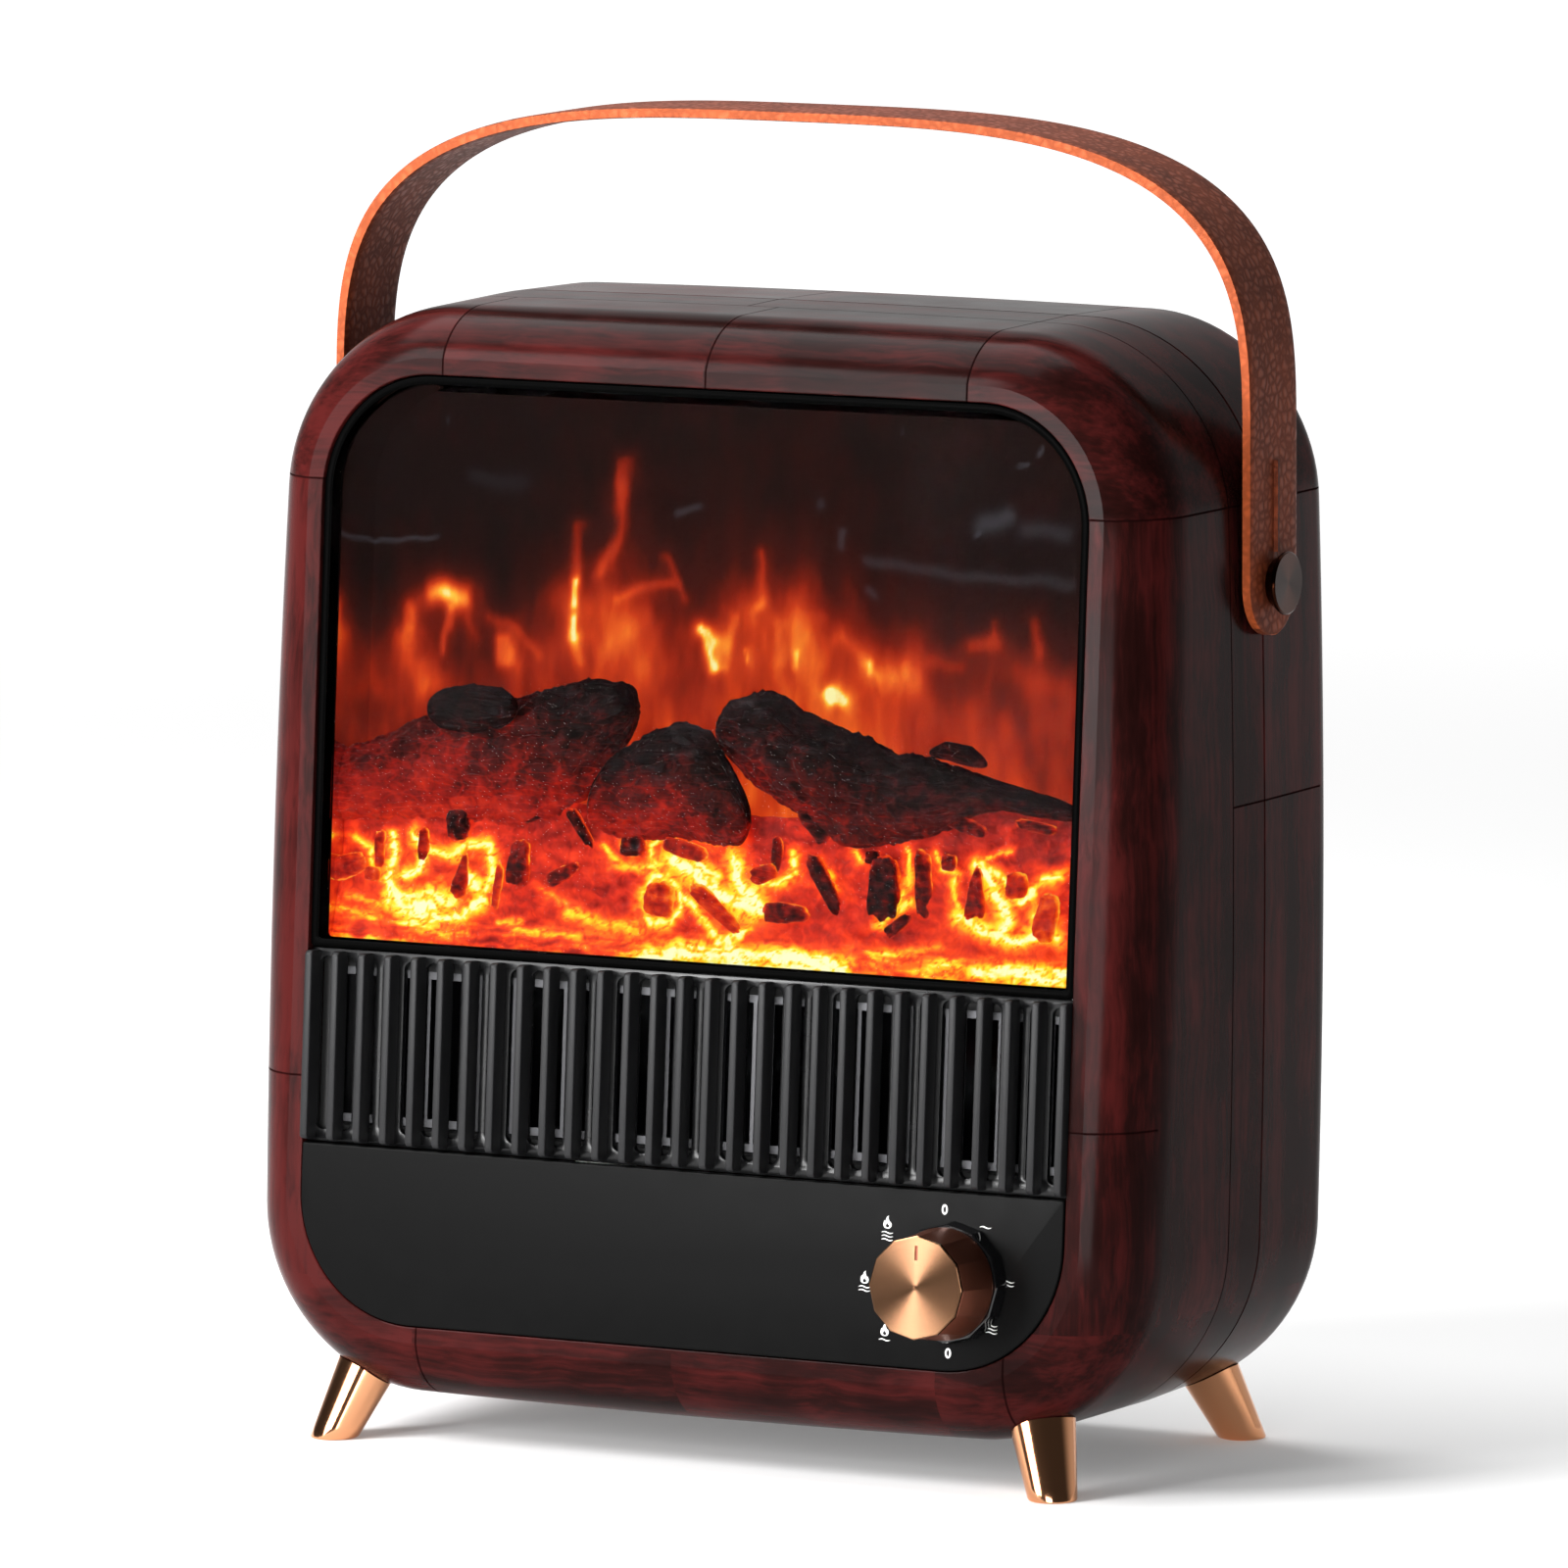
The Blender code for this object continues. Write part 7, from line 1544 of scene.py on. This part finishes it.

        # Painted shade: the screw heads' copper is darkened for the dark surroundings they mirror.
        spun = spun_copper("shaded_copper_spun", colours.shaded_copper, sizes)
        for side, label in ((-1, "left"), (1, "right")):
            bm = bmesh.new()
            base = pivot + Vector((side * (span + GAP), 0.0, 0.0))
            profile = [(0.0, -0.0140), (0.0030, -0.0140), (0.0030, 0.0), (0.0060, 0.0), (0.0062, 0.0002),
                       (0.0067, 0.0010), (0.0074, 0.0019), (0.0080, 0.0026), (0.0082, 0.0029), (0.0082, 0.0034),
                       (0.0081, 0.0036), (0.0078, 0.0038)]
            profile += [(0.0078 * (1.0 - i / 12), 0.0038 - 0.0001 * i / 12) for i in range(1, 12)] + [(0.0, 0.0037)]
            turned(bm, profile, base, (side, 0, 0), 80)
            spun_map(bm, base, (side, 0, 0), Vector((0.0, 0.0, 1.0)))
            piece("strap_screw_" + label + "_spun", bm, [spun], sharp=28.0, stands_for=("strap_screw_" + label,))
        return {"FINISHED"}


class HEATER_OT_feet(Operator):
    """Builds the four splayed copper feet up to the underside of the housing"""
    bl_idname = "heater.feet"
    bl_label = "Feet"

    def execute(self, context):
        copper = plated("copper_plate_foot", tuple(context.scene.heater_colours.copper), (0.10, 0.15), size=1.4,
                        depth=0.002, stretch=(1.0, 1.0, 0.25))
        tree = BVHTree.FromObject(bpy.data.objects["front_shell_skin"], bpy.context.evaluated_depsgraph_get())
        back = BVHTree.FromObject(bpy.data.objects["rear_shell_skin"], bpy.context.evaluated_depsgraph_get())
        foot_r, top_r, height = 0.0064, 0.0089, 0.0200
        for name, side, y, fore, skin in (
                ("front_left", -1, 0.0185, -1, tree), ("front_right", 1, 0.0185, -1, tree),
                ("rear_left", -1, 0.1120, 1, back), ("rear_right", 1, 0.1120, 1, back)):
            top = Vector((side * 0.0989, FRONT_Y + y, height))
            low = Vector((top.x + side * 0.0072, top.y + fore * 0.0076, 0.0))
            slope = (top_r - foot_r) / height
            around = 80
            rings = []
            for h, inset in ((0.0, 0.0012), (0.0, 0.0006), (0.00018, 0.00018), (0.0006, 0.0)):
                centre = low.lerp(top, h / height)
                radius = foot_r + slope * h - inset
                angles = [math.tau * i / around for i in range(around)]
                rings.append([centre + Vector((radius * math.cos(a), radius * math.sin(a), 0.0)) for a in angles])
            crest = []
            for i in range(around):
                way = Vector((math.cos(math.tau * i / around), math.sin(math.tau * i / around), 0.0))
                start = low + way * foot_r
                ahead = (top + way * top_r - start).normalized()
                hit = skin.ray_cast(start + ahead * 0.004, ahead, 0.060)
                reach = hit[3] + 0.004 - GAP if hit[0] else height * 1.4
                crest.append(start + ahead * reach)
            rings += between(rings[-1], crest, [0.15, 0.3, 0.45, 0.6, 0.75, 0.9, 1.0])
            bm = bmesh.new()
            loft(bm, rings)
            piece("foot_" + name + "_copper", bm, [copper], sharp=35.0, stands_for=("foot_" + name,))
        return {"FINISHED"}


class HEATER_OT_rear(Operator):
    """Finishes the rear cover, its screws and the cord gland"""
    bl_idname = "heater.rear"
    bl_label = "Rear"

    def execute(self, context):
        black = tuple(context.scene.heater_colours.black)
        cover = moulded("abs_cover_fine_texture", linear("#171516"), (0.42, 0.52), size=0.30, depth=0.03)
        gland = moulded("pa_gland_black", black, (0.38, 0.48), size=0.4, depth=0.02)
        screw = plated("steel_screw_black_zinc", linear("#5E5C5C"), (0.30, 0.40))
        refine("rear_cover", "rear_cover_moulded", cover, 0.00022, 2)
        refine("cord_gland", "cord_gland_moulded", gland, 0.0003, 2)
        for name in ("rear_cover_screw_left", "rear_cover_screw_right"):
            refine(name, name + "_zinc", screw, 0.00015, 2)
        return {"FINISHED"}


class HEATER_OT_inside(Operator):
    """Gives every inner part of the frame its own finish"""
    bl_idname = "heater.inside"
    bl_label = "Inner parts"

    def execute(self, context):
        steel = plated("steel_zinc_plated", linear("#B4B6B8"), (0.26, 0.36))
        brass = plated("brass_turned", linear("#C9A45A"), (0.24, 0.32))
        alloy = plated("aluminium_sheet_rolled", linear("#C6C8CA"), (0.30, 0.42), stretch=(0.1, 1.0, 1.0))
        dark = moulded("abs_black_inner", linear("#19191A"), (0.42, 0.55))
        white = moulded("pc_white_moulded", linear("#E2E2DE"), (0.38, 0.48))
        board = moulded("circuit_board_fr4", linear("#1F5A34"), (0.35, 0.5))
        blue = moulded("relay_case_pbt_blue", linear("#2458A0"), (0.35, 0.45))
        groups = {
            steel: ("switch_shaft", "switch_nut", "blower_motor", "spindle_motor", "foot_nut_front_left",
                    "foot_nut_front_right", "foot_nut_rear_left", "foot_nut_rear_right", "shell_screw_lower_left",
                    "shell_screw_lower_right", "shell_screw_upper_left", "shell_screw_upper_right"),
            brass: ("blower_bush", "strap_insert_left", "strap_insert_right"),
            alloy: ("flame_spindle", "reflector_channel", "blower_impeller", "board_capacitor"),
            dark: ("rotary_switch", "blower_cheek_left", "blower_cheek_right", "blower_guide_upper",
                   "blower_guide_lower", "base_tray", "tip_over_switch"),
            white: ("thermal_cutout",),
            board: ("control_board", "ember_light_board", "flame_light_board"),
            blue: ("board_relay",),
        }
        for material, names in groups.items():
            for name in names:
                coat(name, material)
        return {"FINISHED"}


class HEATER_PT_panel(Panel):
    """Lists the heater's settings and its groups of pieces"""
    bl_idname = "HEATER_PT_panel"
    bl_label = "Heater"
    bl_space_type = "VIEW_3D"
    bl_region_type = "UI"
    bl_category = "Heater"

    def draw(self, context):
        for group in (context.scene.heater_sizes, context.scene.heater_colours):
            column = self.layout.column()
            for name in group.bl_rna.properties.keys():
                if name not in ("rna_type", "name"):
                    column.prop(group, name)
        column = self.layout.column()
        for operator in OPERATORS:
            column.operator(operator.bl_idname)


GROUPS = (HeaterSizes, HeaterColours)
OPERATORS = (HEATER_OT_stage, HEATER_OT_housing, HEATER_OT_window, HEATER_OT_fire, HEATER_OT_grille, HEATER_OT_dial,
             HEATER_OT_strap, HEATER_OT_feet, HEATER_OT_rear, HEATER_OT_inside)


def register():
    for group in GROUPS + OPERATORS + (HEATER_PT_panel,):
        bpy.utils.register_class(group)
    bpy.types.Scene.heater_sizes = PointerProperty(type=HeaterSizes)
    bpy.types.Scene.heater_colours = PointerProperty(type=HeaterColours)


def unregister():
    del bpy.types.Scene.heater_colours
    del bpy.types.Scene.heater_sizes
    for group in (HEATER_PT_panel,) + OPERATORS[::-1] + GROUPS[::-1]:
        bpy.utils.unregister_class(group)


def main():
    register()
    bpy.ops.heater.stage()
    bpy.ops.heater.housing()
    bpy.ops.heater.window()
    bpy.ops.heater.fire()
    bpy.ops.heater.grille()
    bpy.ops.heater.dial()
    bpy.ops.heater.strap()
    bpy.ops.heater.feet()
    bpy.ops.heater.rear()
    bpy.ops.heater.inside()


if __name__ == "__main__":
    main()
